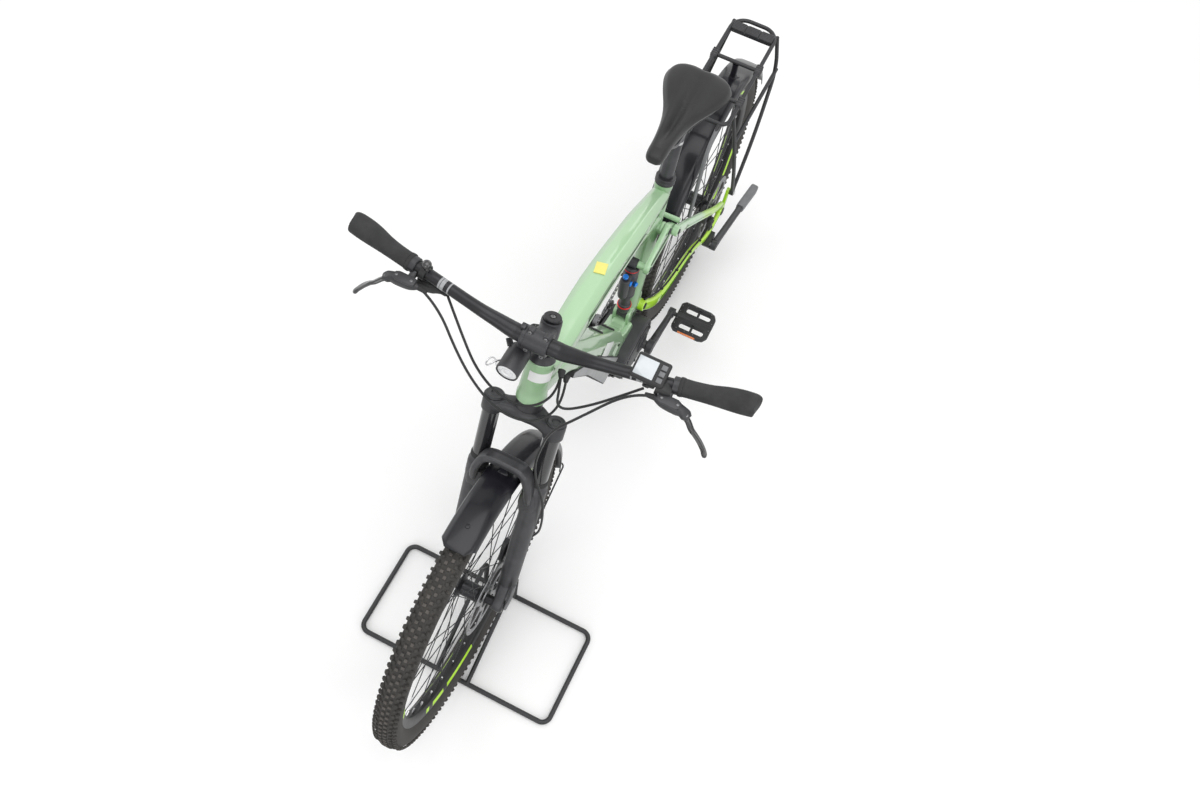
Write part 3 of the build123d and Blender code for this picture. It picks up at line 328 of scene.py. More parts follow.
# %% [markdown]
# Nearly every piece starts as a primitive and is shaped with the same edit-mode tools that a
# hand would use. A few helpers keep that short. Operators act on whatever is selected, so
# each helper first deselects everything, the frame's solids too.
#
# Three ways of making a shape cover most of a bicycle. An outline drawn by extruding one
# vertex and then spun gives hubs, rims and fork legs. Rounded frames added one after another
# and bridged give shaped tubes, cranks and levers. A filled outline that is extruded and
# bevelled gives plates. What is made about the origin is then turned and put in its place,
# and the place is applied to the mesh.


# %% Selection helpers
def clear():
    """Close any open mesh and deselect everything."""
    if bpy.context.object and bpy.context.object.mode != "OBJECT":
        bpy.ops.object.mode_set(mode="OBJECT")
    bpy.ops.object.select_all(action="DESELECT")


def choose(*objects):
    """Select these objects, the first one active."""
    clear()
    for item in objects:
        item.select_set(True)
    bpy.context.view_layer.objects.active = objects[0]
    return objects[0]


def pick(obj, test):
    """Open a mesh with only the faces selected that a test on centre and normal takes."""
    choose(obj)
    bpy.ops.object.mode_set(mode="EDIT")
    bpy.ops.mesh.select_mode(type="FACE")
    bpy.ops.mesh.select_all(action="DESELECT")
    bpy.ops.object.mode_set(mode="OBJECT")
    for face in obj.data.polygons:
        face.select = bool(test(face.center, face.normal))
    bpy.ops.object.mode_set(mode="EDIT")


def settle(obj):
    """Write the object's place, turn and size into its mesh."""
    choose(obj)
    bpy.ops.object.transform_apply(location=True, rotation=True, scale=True)
    return obj


def put(obj, place=(0, 0, 0), axis=(0, 0, 1)):
    """Turn the object's Z to an axis, move it to a place, and apply both."""
    turn = Vector(axis).to_track_quat("Z", "Y").to_matrix().to_4x4()
    obj.matrix_world = Matrix.Translation(Vector(place)) @ turn
    return settle(obj)


def joined(name, *pieces):
    """Join pieces into one mesh."""
    obj = choose(*pieces)
    if len(pieces) > 1:
        bpy.ops.object.join()
    obj.name = name
    obj.data.name = name
    return obj


def applied(obj, kind, **settings):
    """Add a modifier, set it and apply it."""
    choose(obj)
    modifier = obj.modifiers.new(kind.lower(), kind)
    for key, value in settings.items():
        setattr(modifier, key, value)
    bpy.ops.object.modifier_apply(modifier=modifier.name)
    return obj


def rounded(obj, width, segments=2, angle=30):
    """Round the edges that are sharper than an angle."""
    return applied(obj, "BEVEL", width=width, segments=segments, limit_method="ANGLE",
                   angle_limit=radians(angle), harden_normals=False)


def done(obj, body, paint, replaces=(), smooth=32):
    """Smooth the shading, give a finish, and let the piece ride on a body."""
    choose(obj)
    bpy.ops.object.shade_smooth_by_angle(angle=radians(smooth))
    paints = paint if isinstance(paint, (list, tuple)) else [paint]
    if not obj.data.materials:
        for entry in paints:
            obj.data.materials.append(entry.material)
    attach(obj, body)
    if replaces:
        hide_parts(*replaces)
    return obj


print("selection helpers ready")


# %% Shape helpers
def outline_mesh(name, points):
    """A chain of edges: one vertex, extruded from point to point."""
    clear()
    bpy.ops.mesh.primitive_plane_add(size=0.01, location=(0, 0, 0))
    obj = bpy.context.object
    obj.name = name
    bpy.ops.object.mode_set(mode="EDIT")
    bpy.ops.mesh.select_mode(type="VERT")
    bpy.ops.mesh.select_all(action="SELECT")
    bpy.ops.mesh.merge(type="CENTER")
    bpy.ops.transform.translate(value=Vector(points[0]))
    for before, after in zip(points, points[1:]):
        step = Vector(after) - Vector(before)
        bpy.ops.mesh.extrude_vertices_move(TRANSFORM_OT_translate={"value": step})
    bpy.ops.mesh.select_all(action="SELECT")
    return obj


def closed_up():
    """Weld the selected mesh's seams, turn its faces outward and leave edit mode."""
    bpy.ops.mesh.select_all(action="SELECT")
    bpy.ops.mesh.remove_doubles(threshold=0.00001)
    bpy.ops.mesh.normals_make_consistent(inside=False)
    bpy.ops.object.mode_set(mode="OBJECT")


def spun(name, points, centre=(0, 0, 0), axis=(0, 0, 1), steps=64):
    """Spin an outline of 3-D points about an axis."""
    obj = outline_mesh(name, points)
    bpy.ops.mesh.spin(steps=steps, angle=2 * pi, center=centre, axis=axis)
    closed_up()
    return obj


def lathe(name, outline, place=(0, 0, 0), axis=(0, 0, 1), steps=48):
    """Turn (radius, along) pairs about an axis through a place."""
    obj = spun(name, [(radius, 0, along) for radius, along in outline], steps=steps)
    return put(obj, place, axis)


def pin(name, start, end, radius, chamfer=0.0006, steps=24):
    """A round bar with chamfered ends between two points."""
    start, end = Vector(start), Vector(end)
    run = (end - start).length
    return lathe(name, [
        (0, 0), (radius - chamfer, 0), (radius, chamfer),
        (radius, run - chamfer), (radius - chamfer, run), (0, run),
    ], start, end - start, steps)


def ring(name, place, axis, outer, inner, height, chamfer=0.0005, steps=40):
    """A collar or washer that starts at a place and rises along an axis."""
    return lathe(name, [
        (inner, 0), (outer - chamfer, 0), (outer, chamfer), (outer, height - chamfer),
        (outer - chamfer, height), (inner, height), (inner, 0),
    ], place, axis, steps)


def block(name, place, size, turn=(0, 0, 0), bevel=0.001, segments=2):
    """A bevelled box with its centre at a place."""
    clear()
    bpy.ops.mesh.primitive_cube_add(size=1, location=place, rotation=turn, scale=size)
    obj = settle(bpy.context.object)
    obj.name = name
    return rounded(obj, bevel, segments) if bevel else obj


def plate(name, outline, depth, place=(0, 0, 0), turn=(0, 0, 0), bevel=0.0008, segments=2):
    """Fill an outline of (x, y) pairs, raise it along Z, bevel its rims, then turn and place it."""
    points = [(x, y, 0) for x, y in outline]
    obj = outline_mesh(name, points + points[:1])
    bpy.ops.mesh.remove_doubles(threshold=0.00001)
    bpy.ops.mesh.edge_face_add()
    bpy.ops.mesh.extrude_region_move(TRANSFORM_OT_translate={"value": (0, 0, depth)})
    closed_up()
    obj.matrix_world = Matrix.Translation(Vector(place)) @ Euler(turn).to_matrix().to_4x4()
    settle(obj)
    return rounded(obj, bevel, segments) if bevel else obj


def side_plate(name, outline, start, depth, bevel=0.0008, segments=2):
    """A plate square to Y: outline in (x, z), from one side distance to the left of it."""
    obj = plate(name, [(x, -z) for x, z in outline], depth, (0, start, 0), (-pi / 2, 0, 0),
                bevel, segments)
    return obj


def hull_outline(circles, steps=40):
    """The rubber-band outline round some circles, as (x, z) points."""
    points = []
    for x, z, radius in circles:
        for index in range(steps):
            turn = 2 * pi * index / steps
            points.append((round(x + radius * cos(turn), 6), round(z + radius * sin(turn), 6)))
    points = sorted(set(points))

    def half(row):
        chain = []
        for point in row:
            while len(chain) > 1:
                a, b = chain[-2], chain[-1]
                if (b[0] - a[0]) * (point[1] - a[1]) - (b[1] - a[1]) * (point[0] - a[0]) > 0:
                    break
                chain.pop()
            chain.append(point)
        return chain[:-1]

    return half(points) + half(points[::-1])


def copies(obj, count, centre, axis):
    """Repeat the mesh evenly round an axis."""
    choose(obj)
    bpy.ops.object.mode_set(mode="EDIT")
    bpy.ops.mesh.select_all(action="SELECT")
    bpy.ops.mesh.spin(steps=count - 1, dupli=True, angle=2 * pi * (count - 1) / count,
                      center=centre, axis=axis)
    bpy.ops.object.mode_set(mode="OBJECT")
    return obj


def eased(stations, steps):
    """More stations between the given ones, on a curve through them."""
    rows = [[*Vector(station[0]), *station[1:]] for station in stations]
    smooth = []
    for index in range(len(rows) - 1):
        a = rows[max(index - 1, 0)]
        b, c = rows[index], rows[index + 1]
        d = rows[min(index + 2, len(rows) - 1)]
        for step in range(steps):
            t = step / steps
            smooth.append([
                0.5 * (2 * q + (r - p) * t + (2 * p - 5 * q + 4 * r - s) * t * t
                       + (3 * q - p - 3 * r + s) * t ** 3)
                for p, q, r, s in zip(a, b, c, d)
            ])
    smooth.append(rows[-1])
    return [(Vector(row[:3]), *row[3:]) for row in smooth]


def formed_tube(name, stations, side=(0, 1, 0), steps=4, corner_steps=3):
    """Bridge rounded frames along a line: (centre, width along side, height, corner)."""
    stations = eased(stations, steps) if steps > 1 else [
        (Vector(place), *rest) for place, *rest in stations]
    clear()
    side = Vector(side).normalized()
    frames = []
    for index, (place, width, height, corner) in enumerate(stations):
        before = stations[max(index - 1, 0)][0]
        after = stations[min(index + 1, len(stations) - 1)][0]
        run = (after - before).normalized()
        up = run.cross(side).normalized()
        flat = up.cross(run)
        frame_turn = Matrix((flat, up, run)).transposed().to_euler()
        bpy.ops.mesh.primitive_plane_add(size=1, location=place, rotation=frame_turn)
        frame = bpy.context.object
        frame.scale = (width, height, 1)
        settle(frame)
        bpy.ops.object.mode_set(mode="EDIT")
        bpy.ops.mesh.select_mode(type="VERT")
        bpy.ops.mesh.select_all(action="SELECT")
        bpy.ops.mesh.bevel(offset=min(corner, 0.49 * min(width, height)), affect="VERTICES",
                           segments=corner_steps)
        bpy.ops.mesh.delete(type="ONLY_FACE")
        bpy.ops.object.mode_set(mode="OBJECT")
        frames.append(frame)
    obj = joined(name, *frames)
    bpy.ops.object.mode_set(mode="EDIT")
    bpy.ops.mesh.select_all(action="SELECT")
    bpy.ops.mesh.bridge_edge_loops()
    bpy.ops.mesh.select_all(action="SELECT")
    bpy.ops.mesh.fill_holes(sides=0)
    bpy.ops.mesh.normals_make_consistent(inside=False)
    bpy.ops.object.mode_set(mode="OBJECT")
    return obj


def smooth_line(name, points, order, steps):
    """A NURBS line that starts and ends on its first and last point."""
    curve = bpy.data.curves.new(name, "CURVE")
    curve.dimensions = "3D"
    spline = curve.splines.new("NURBS")
    spline.points.add(len(points) - 1)
    for knot, point in zip(spline.points, points):
        knot.co = (*point, 1)
    spline.order_u = order
    spline.use_endpoint_u = True
    curve.resolution_u = steps
    line = bpy.data.objects.new(name, curve)
    scene.collection.objects.link(line)
    return line


def thickened(line, radius):
    """The line as a round tube with closed ends, made a mesh."""
    line.data.bevel_depth = radius
    line.data.bevel_resolution = 4
    line.data.use_fill_caps = True
    choose(line)
    bpy.ops.object.convert(target="MESH")
    tube = bpy.context.object
    bpy.ops.object.mode_set(mode="EDIT")
    closed_up()
    return tube


def bent_tube(name, points, radius, order=3):
    """A round wire or tube on a smooth curve, made a mesh."""
    return thickened(smooth_line(name, points, order, 8), radius)


def socket_bolt(name, place, axis, radius=0.0045, height=0.004, steps=20):
    """A round bolt head with a six-sided socket."""
    head = lathe(name, [
        (0, 0), (radius, 0), (radius, height * 0.75), (radius * 0.8, height),
        (0, height),
    ], steps=steps)
    clear()
    bpy.ops.mesh.primitive_cylinder_add(vertices=6, radius=radius * 0.5, depth=height,
                                        location=(0, 0, height * 0.95))
    key = bpy.context.object
    applied(head, "BOOLEAN", operation="DIFFERENCE", object=key, solver="FAST")
    bpy.data.objects.remove(key)
    return put(head, place, axis)


print("shape helpers ready")

# %% [markdown]
# All metal and plastic on the bicycle shares a handful of finishes. The frame's paint is a
# mint green with fine flake under a clear coat; painted shade makes its faces a deeper green
# the more they turn down, and a painted highlight makes its upward faces paler. The suspension
# arms fade from that mint to a sharp lime. Black parts differ in gloss: anodised metal is satin
# with a fine brushed noise, castings are pebbled, plastic has a leather-like grain and the
# mudguards have a thin lacquer.

# %% Frame paint
# The first colour is the frame's green. The second is the painted highlight on upward faces of the frame
# paint, a tint in its random clouds, and the plain colour of the stays' front end. The third is the
# painted shade on faces that turn down. lime is the lime parts' own colour.
mint = (0.25, 0.44, 0.225)
mint_pale = (0.44, 0.665, 0.41)
mint_painted_shade = (0.085, 0.18, 0.072)
lime = (0.4, 0.74, 0.02)


def flake_paint_with_painted_light(name, color, deep, pale):
    """Glossy flake paint with painted shade on faces that turn down and a painted highlight on faces that
    turn up.
    """
    paint = Paint(name, color, roughness=0.34)
    normal = paint.add("ShaderNodeNewGeometry", output="Normal")
    upward = paint.axes(normal)[2]
    # Painted shade: the deeper colour on faces that turn down, a little on upright faces. Painted
    # highlight: the pale colour on faces that turn up.
    painted_shade_and_highlight = paint.mix(upward.smooth(-0.7, 0.3), deep, color)
    painted_shade_and_highlight = paint.mix(upward.smooth(0.25, 0.95) * 0.9, painted_shade_and_highlight, pale)
    cloud = paint.noise(14.0, 3.0).ramp(0.3, 0.7)
    paint.set("Base Color", paint.mix(cloud * 0.1, painted_shade_and_highlight, pale))
    flake = paint.cells(2600.0)
    paint.bump(flake, 0.00002, 0.25)
    paint.set("Roughness", 0.26 + paint.noise(120.0) * 0.12)
    paint.set("Coat Weight", 1.0)
    paint.set("Coat Roughness", 0.06)
    return paint


mint_paint = flake_paint_with_painted_light("mint_flake_paint", mint, mint_painted_shade, mint_pale)
# For the lime paint, the first colour after lime is its painted shade on faces that turn down, and the
# second is its painted highlight on faces that turn up.
lime_paint = flake_paint_with_painted_light("lime_flake_paint", lime, (0.2, 0.45, 0.01), (0.52, 0.82, 0.06))

# %% Fading paint of the upper stays
fade_paint = flake_paint_with_painted_light("mint_to_lime_paint", mint, mint_painted_shade, mint_pale)
# Base Color is linked anew below, by place along the bicycle alone, so the painted shade and highlight of
# this paint don't reach the stays.
along = fade_paint.axes()[0]
share = along.smooth(-0.44, -0.49)
fade_paint.set("Base Color", fade_paint.mix(share, mint_pale, lime))


# %% Black finishes
def anodised(name, color=(0.022, 0.022, 0.024), rough=0.36, metallic=0.55):
    """Satin black metal with a fine brushed noise and soft paler clouds."""
    paint = Paint(name, color, rough, metallic)
    paint.set("Base Color", wear(paint, color, tuple(part * 1.8 for part in color), 40.0, 0.5))
    brushed = paint.noise(900.0, 2.0, point=paint.moved(size=(1, 0.05, 1)))
    paint.set("Roughness", rough - 0.08 + brushed * 0.16)
    paint.bump(brushed, 0.00001, 0.4)
    return paint


def grained(name, color=(0.02, 0.02, 0.021), rough=0.48, scale=1400.0, depth=0.00006):
    """Moulded plastic with a pebbled grain."""
    paint = Paint(name, color, rough)
    paint.set("Base Color", wear(paint, color, tuple(part * 1.7 for part in color), 22.0, 0.4))
    grain = paint.cells(scale)
    paint.bump(grain, depth, 0.6)
    paint.set("Roughness", rough - 0.05 + paint.noise(60.0) * 0.12)
    paint.set("Specular IOR Level", 0.36)
    return paint


black_metal = anodised("black_anodised_metal")
satin_black = anodised("satin_black_paint", (0.03, 0.03, 0.033), 0.42, 0.15)
dark_casting = grained("dark_cast_metal", (0.04, 0.04, 0.043), 0.46, 700.0, 0.00008)
black_plastic = grained("black_moulded_plastic")
grey_plastic = grained("grey_moulded_plastic", (0.16, 0.165, 0.17), 0.5, 1100.0)
steel = anodised("brushed_steel", (0.55, 0.55, 0.56), 0.28, 1.0)
dark_steel = anodised("dark_chain_steel", (0.16, 0.16, 0.165), 0.34, 0.9)
disc_steel = anodised("brake_disc_steel", (0.3, 0.3, 0.31), 0.36, 1.0)
fork_grey = anodised("fork_dark_grey", (0.05, 0.05, 0.054), 0.4, 0.35)

gloss_black = Paint("polished_black_shell", (0.01, 0.01, 0.012), 0.16)
gloss_black.set("Coat Weight", 0.9)
gloss_black.set("Coat Roughness", 0.05)
gloss_black.set("Roughness", 0.14 + gloss_black.noise(18.0) * 0.14)
gloss_black.bump(gloss_black.noise(900.0, 2.0), 0.00001, 0.3)
guard_black = Paint("mudguard_black", (0.008, 0.008, 0.011), 0.3)
guard_black.set("Base Color", wear(guard_black, (0.007, 0.007, 0.01), (0.016, 0.016, 0.022), 12.0, 0.6))
guard_black.set("Roughness", 0.26 + guard_black.noise(40.0) * 0.1)
guard_black.set("Coat Weight", 0.28)
guard_black.set("Coat Roughness", 0.12)
guard_black.set("Specular IOR Level", 0.25)

soft_rubber = grained("soft_black_rubber", (0.028, 0.028, 0.029), 0.72, 1900.0, 0.00008)

# %% [markdown]
# A used off-road tyre isn't black: its tread is dusty brown-grey, palest on the tops of the
# knobs, where it touches the ground, and its sidewall keeps fine moulded rings. Both follow
# from the distance to the wheel's axle, which the shader works out with a square root.


# %% Tyre and rim finishes
def around(paint, axle):
    """Distance from an axle, angle round it in turns and side distance, as three fields."""
    x, y, z = paint.axes(paint.moved(offset=(-axle[0], 0, -axle[2])))
    radius = (x * x + z * z).power(0.5)
    angle = z.math("ARCTAN2", x) / (2 * pi)
    return radius, angle, y


def tyre_paint(name, axle):
    """Dusty rubber, palest on the knobs' tops, with fine rings on the sidewall."""
    paint = Paint(name, (0.04, 0.038, 0.036), 0.78)
    radius = around(paint, axle)[0]
    dust = paint.noise(38.0, 6.0).ramp(0.3, 0.72)
    worn = radius.smooth(0.365, 0.3683)
    rubber = paint.mix(dust * 0.55, (0.026, 0.025, 0.024), (0.085, 0.076, 0.068))
    rubber = paint.mix(worn * (0.35 + dust * 0.5), rubber, (0.135, 0.122, 0.112))
    paint.set("Base Color", rubber)
    rings = (radius * 2400.0).sine() * 0.5 + 0.5
    sidewall = 1.0 - radius.smooth(0.344, 0.348)
    paint.bump(rings * sidewall + paint.cells(900.0) * 0.5, 0.00012, 0.7)
    paint.set("Roughness", 0.7 + dust * 0.2)
    return paint


def rim_paint(name, axle):
    """Black rim with bright lime blocks on both sides."""
    paint = Paint(name, (0.018, 0.018, 0.019), 0.3, 0.3)
    radius, angle, across = around(paint, axle)
    turn = (angle * 4.0).modulo(1.0)
    long_block = (turn > 0.1) * (turn < 0.36)
    short_block = (turn > 0.4) * (turn < 0.52)
    thin_block = (turn > 0.565) * (turn < 0.6)
    band = (radius > 0.3025) * (radius < 0.3135) * (across.absolute() > 0.0118)
    printed = (long_block + short_block + thin_block) * band
    paint.set("Base Color", paint.mix(printed, (0.018, 0.018, 0.019), (0.5, 0.86, 0.03)))
    paint.set("Metallic", 0.3 - printed * 0.3)
    paint.set("Roughness", 0.3 + paint.noise(70.0) * 0.12)
    paint.bump(printed, 0.00005, 0.5)
    return paint


front_axle = Vector((0.624, 0, 0.3685))
rear_axle = Vector((-0.624, 0, 0.3685))

# %% [markdown]
# A mountain tyre is a smooth carcass with rows of rubber knobs. The carcass is one spun
# outline. The knobs of one pitch are modelled once: each starts as a box, its top is inset
# and its foot deleted, and then the pitch is copied round the axle with the spin tool.


# %% Tyres
def knob(place, outward, length, width, height, lean=0.0):
    """One tread block standing on the carcass."""
    clear()
    bpy.ops.mesh.primitive_cube_add(size=1, location=(0, 0, 0), scale=(width, length, height))
    obj = settle(bpy.context.object)
    pick(obj, lambda centre, normal: normal.z > 0.9)
    bpy.ops.transform.resize(value=(0.84, 0.8, 1))
    bpy.ops.mesh.inset(thickness=0.0006, depth=0.0004)
    pick(obj, lambda centre, normal: normal.z < -0.9)
    bpy.ops.mesh.delete(type="FACE")
    bpy.ops.object.mode_set(mode="OBJECT")
    turn = Vector(outward).to_track_quat("Z", "Y").to_matrix().to_4x4()
    obj.matrix_world = Matrix.Translation(Vector(place)) @ turn @ Matrix.Rotation(lean, 4, "Z")
    return settle(obj)


carcass_half = [
    (0.3112, 0.014), (0.316, 0.015), (0.3198, 0.0182), (0.328, 0.0236), (0.338, 0.0264),
    (0.347, 0.0262), (0.3535, 0.024), (0.3588, 0.0195), (0.3622, 0.012), (0.3636, 0.004),
]


tread_pitches = 66


def build_tyre(name, axle, body, node):
    section = carcass_half + [(radius, -side) for radius, side in reversed(carcass_half)]
    section.append(section[0])
    points = [(axle.x + radius, side, axle.z) for radius, side in section]
    carcass = spun(name, points, axle, (0, 1, 0), steps=120)
    pitch = 2 * pi / 66
    blocks = []
    for shift, row in (
        (0.0, [(0.0052, 4, 0.0085, 0.0075, 0.0046, 0.0)]),
        (0.5, [(0.005, 4, 0.0075, 0.0082, 0.0046, 0.0)]),
        (0.25, [(0.0142, 20, 0.0085, 0.007, 0.0046, 0.2)]),
        (0.75, [(0.0148, 20, 0.007, 0.0064, 0.0044, -0.2)]),
        (0.1, [(0.0222, 48, 0.009, 0.008, 0.0048, 0.0)]),
        (0.6, [(0.0228, 50, 0.0072, 0.0088, 0.0046, 0.0)]),
    ):
        for side_y, tilt, length, width, height, lean in row:
            for side in (-1, 1):
                turn = pitch * shift * (1 if side > 0 else 1.0) + (pitch * 0.25 if side < 0 else 0)
                reach = 0.3632 - 0.0035 * (side_y / 0.0142) ** 2 * (1 if side_y < 0.02 else 0.62)
                out = Vector((cos(radians(tilt)), side * sin(radians(tilt)), 0))
                spot = Vector((reach, side * side_y, 0)) + out * (height * 0.42)
                spin_turn = Matrix.Rotation(turn, 4, "Y")
                blocks.append(knob(axle + spin_turn @ spot, spin_turn @ out, length, width,
                                   height, lean))
    pitch_piece = joined("tread_pitch", *blocks)
    copies(pitch_piece, tread_pitches, axle, (0, 1, 0))
    tyre = joined(name, carcass, pitch_piece)
    done(tyre, body, tyre_paint(name + "_rubber", axle), (node,))
    return tyre


front_tyre = build_tyre("front_knobbly_tyre", front_axle, "front_wheel", "front_tyre")
build_tyre("rear_knobbly_tyre", rear_axle, "rear_wheel", "rear_tyre")
print("tyre faces", len(front_tyre.data.polygons), "reach", max(
    hypot(v.co.x - front_axle.x, v.co.z - front_axle.z) for v in front_tyre.data.vertices))

# %% [markdown]
# The rim is an aluminium box section whose outline is spun like the tyre's. Thirty-two steel
# nipples hold the spokes, and a valve stem stands between two of them.

# %% Rims
rim_half = [
    (0.2957, 0.005), (0.2964, 0.009), (0.3, 0.0128), (0.306, 0.0148), (0.3125, 0.0163),
    (0.3168, 0.017), (0.3177, 0.0165), (0.3177, 0.0147), (0.3107, 0.0147),
]


def build_rim(name, axle, body, node):
    section = rim_half + [(radius, -side) for radius, side in reversed(rim_half)]
    section.append(section[0])
    points = [(axle.x + radius, side, axle.z) for radius, side in section]
    rim = spun(name, points, axle, (0, 1, 0), steps=120)
    return done(rim, body, rim_paint(name + "_finish", axle), (node,))


spoke_count = 32


def build_nipples(name, axle, body):
    lead = Vector((1, 0, 0))
    nipple = pin(name, axle + lead * 0.2845, axle + lead * 0.2965, 0.0021, 0.0005, 10)
    copies(nipple, spoke_count, axle, (0, 1, 0))
    tilt = Matrix.Rotation(radians(5.6), 4, "Y")
    stem = lathe(name + "_valve", [
        (0, 0), (0.0016, 0.0005), (0.0022, 0.004), (0.003, 0.005), (0.003, 0.04),
        (0.0046, 0.041), (0.0046, 0.046), (0, 0.046),
    ], axle + tilt @ (lead * 0.2515), tilt @ lead, 16)
    return done(joined(name, nipple, stem), body, steel)


build_rim("front_rim_shell", front_axle, "front_wheel", "front_rim")
build_rim("rear_rim_shell", rear_axle, "rear_wheel", "rear_rim")
build_nipples("front_spoke_nipples", front_axle, "front_wheel")
build_nipples("rear_spoke_nipples", rear_axle, "rear_wheel")
print("rims done")

# %% [markdown]
# A brake disc is laser-cut from sheet steel: a braking band full of small holes on swept
# arms. The band is a spun ring, and the holes are cut with one Boolean modifier whose cutter
# is a pair of small cylinders copied round the axle. The arms are one bevelled plate, copied.


# %% Brake discs
disc_holes, disc_arms = 48, 6


def build_rotor(name, axle, side_y, body, node):
    base = Vector((axle.x, side_y - 0.0009, axle.z))
    band = ring(name, base, (0, 1, 0), 0.09, 0.075, 0.0018, 0.0002, 96)
    cutters = []
    for reach, size, turn in ((0.0795, 0.0023, 0.0), (0.0853, 0.0019, 3.75)):
        spin_turn = Matrix.Rotation(radians(turn), 4, "Y")
        spot = axle + spin_turn @ Vector((reach, 0, 0))
        cutters.append(pin("cutter", (spot.x, side_y - 0.004, spot.z),
                           (spot.x, side_y + 0.004, spot.z), size, 0.0001, 10))
    cutter = copies(joined("cutter", *cutters), disc_holes, axle, (0, 1, 0))
    applied(band, "BOOLEAN", operation="DIFFERENCE", object=cutter, solver="FAST")
    bpy.data.objects.remove(cutter)
    arm = side_plate("arm", [
        (0.026, -0.007), (0.048, -0.01), (0.07, -0.006), (0.0765, 0.004), (0.0755, 0.01),
        (0.066, 0.004), (0.048, -0.001), (0.028, 0.006),
    ], side_y - 0.0008, 0.0016, 0.0003, 1)
    arm.location = (axle.x, 0, axle.z)
    settle(arm)
    copies(arm, disc_arms, axle, (0, 1, 0))
    hub_ring = ring("carrier", (axle.x, side_y - 0.0011, axle.z), (0, 1, 0), 0.033, 0.0225,
                    0.0022, 0.0003, 48)
    disc = joined(name, band, arm, hub_ring)
    return done(disc, body, disc_steel, (node,))


front_rotor_y = 0.037
rear_rotor_y = 0.057
build_rotor("front_brake_disc", front_axle, front_rotor_y, "front_wheel", "front_rotor")
build_rotor("rear_brake_disc", rear_axle, rear_rotor_y, "rear_wheel", "rear_rotor")
print("brake discs done")

# %% [markdown]
# The frame's shapes follow a few lines: the steering axis, which leans back 24 degrees, and
# the seat tube's axis. Points on them are worked out here once, so that tubes, fork and
# cockpit meet where the solids do.

# %% Places
head_angle = radians(66)
steer_up = Vector((-cos(head_angle), 0, sin(head_angle)))
steer_forward = Vector((sin(head_angle), 0, cos(head_angle)))
steer_origin = front_axle - steer_forward * 0.045
seat_angle = radians(76)
seat_up = Vector((-cos(seat_angle), 0, sin(seat_angle)))
bottom_bracket = Vector((-0.159, 0, 0.329))
collar = bottom_bracket + Vector((-0.126, 0, 0.477))
head_bottom, head_top = 0.554, 0.652
stem_level = 0.722
leg_ahead, leg_side = 0.015, 0.066


def steer(ahead, left, up):
    """A point from the steering axis: ahead of it, to the left, and along it."""
    return steer_origin + steer_forward * ahead + Vector((0, left, 0)) + steer_up * up


def seat_point(height):
    """A point on the seat tube's axis, at a height above its collar."""
    return collar + seat_up * height


rocker_pivot = seat_point(-0.125)
rocker_rear = rocker_pivot + Vector((-0.035, 0, -0.033))
shock_top = rocker_pivot + Vector((0.099, 0, -0.03))
shock_bottom = bottom_bracket + Vector((0.013, 0, 0.123))
main_pivot = bottom_bracket + Vector((-0.061, 0, 0.073))
top_bend = steer(0, 0, head_top) + Vector((-0.224, 0, -0.068))
down_bend = steer(0, 0, head_bottom) + Vector((-0.108, 0, -0.018))
down_foot = bottom_bracket + Vector((0.097, 0, 0.101))
bar_centre = steer(0.05, 0, stem_level)
print("bar centre", [round(part, 4) for part in bar_centre])

# %% [markdown]
# The frame's tubes are hydroformed: flat on top, chamfered along their edges and hollowed in
# long flutes at the sides. Each is a row of chamfered frames bridged to one skin. The long
# edges are rounded by a narrow bevel, which catches the light as the painted edge does, and
# the flutes and panels are faces chosen by their place, inset and pressed in.


# %% Main frame
def flute(obj, test, margin, depth):
    """Press the chosen faces in, leaving a margin round them."""
    pick(obj, test)
    bpy.ops.mesh.inset(thickness=margin, depth=-depth, use_even_offset=True)
    bpy.ops.object.mode_set(mode="OBJECT")


top_tube = formed_tube("top_tube", [
    (steer(0.004, 0, head_top - 0.03), 0.05, 0.06, 0.013),
    (steer(-0.06, 0, head_top - 0.036), 0.056, 0.064, 0.015),
    (top_bend, 0.06, 0.066, 0.016),
    (collar + Vector((0.175, 0, 0.02)), 0.056, 0.058, 0.015),
    (collar + Vector((0.085, 0, -0.008)), 0.049, 0.05, 0.013),
    (collar + Vector((0.013, 0, -0.034)), 0.042, 0.044, 0.011),
], corner_steps=1, steps=5)
rounded(top_tube, 0.0022, 2, 18)
flute(top_tube, lambda c, n: abs(n.y) > 0.95 and -0.13 < c.x < 0.16, 0.008, 0.0024)

down_tube = formed_tube("down_tube", [
    (steer(0.006, 0, head_bottom + 0.042), 0.054, 0.062, 0.015),
    (down_bend, 0.066, 0.07, 0.018),
    (down_bend * 0.76 + down_foot * 0.24, 0.071, 0.078, 0.019),
    (down_bend * 0.5 + down_foot * 0.5, 0.074, 0.084, 0.019),
    (down_bend * 0.2 + down_foot * 0.8, 0.074, 0.084, 0.019),
    (down_foot, 0.074, 0.084, 0.019),
], corner_steps=1, steps=5)
rounded(down_tube, 0.0025, 2, 18)
flute(down_tube, lambda c, n: abs(n.y) > 0.95 and -0.03 < c.x < 0.21, 0.007, 0.0018)

brace = formed_tube("brace", [
    (top_bend + Vector((-0.1, 0, -0.035)), 0.044, 0.044, 0.011),
    (top_bend + Vector((-0.2, 0, -0.092)), 0.036, 0.034, 0.01),
    (seat_point(-0.104), 0.038, 0.038, 0.01),
], corner_steps=1, steps=4)
rounded(brace, 0.002, 2, 18)

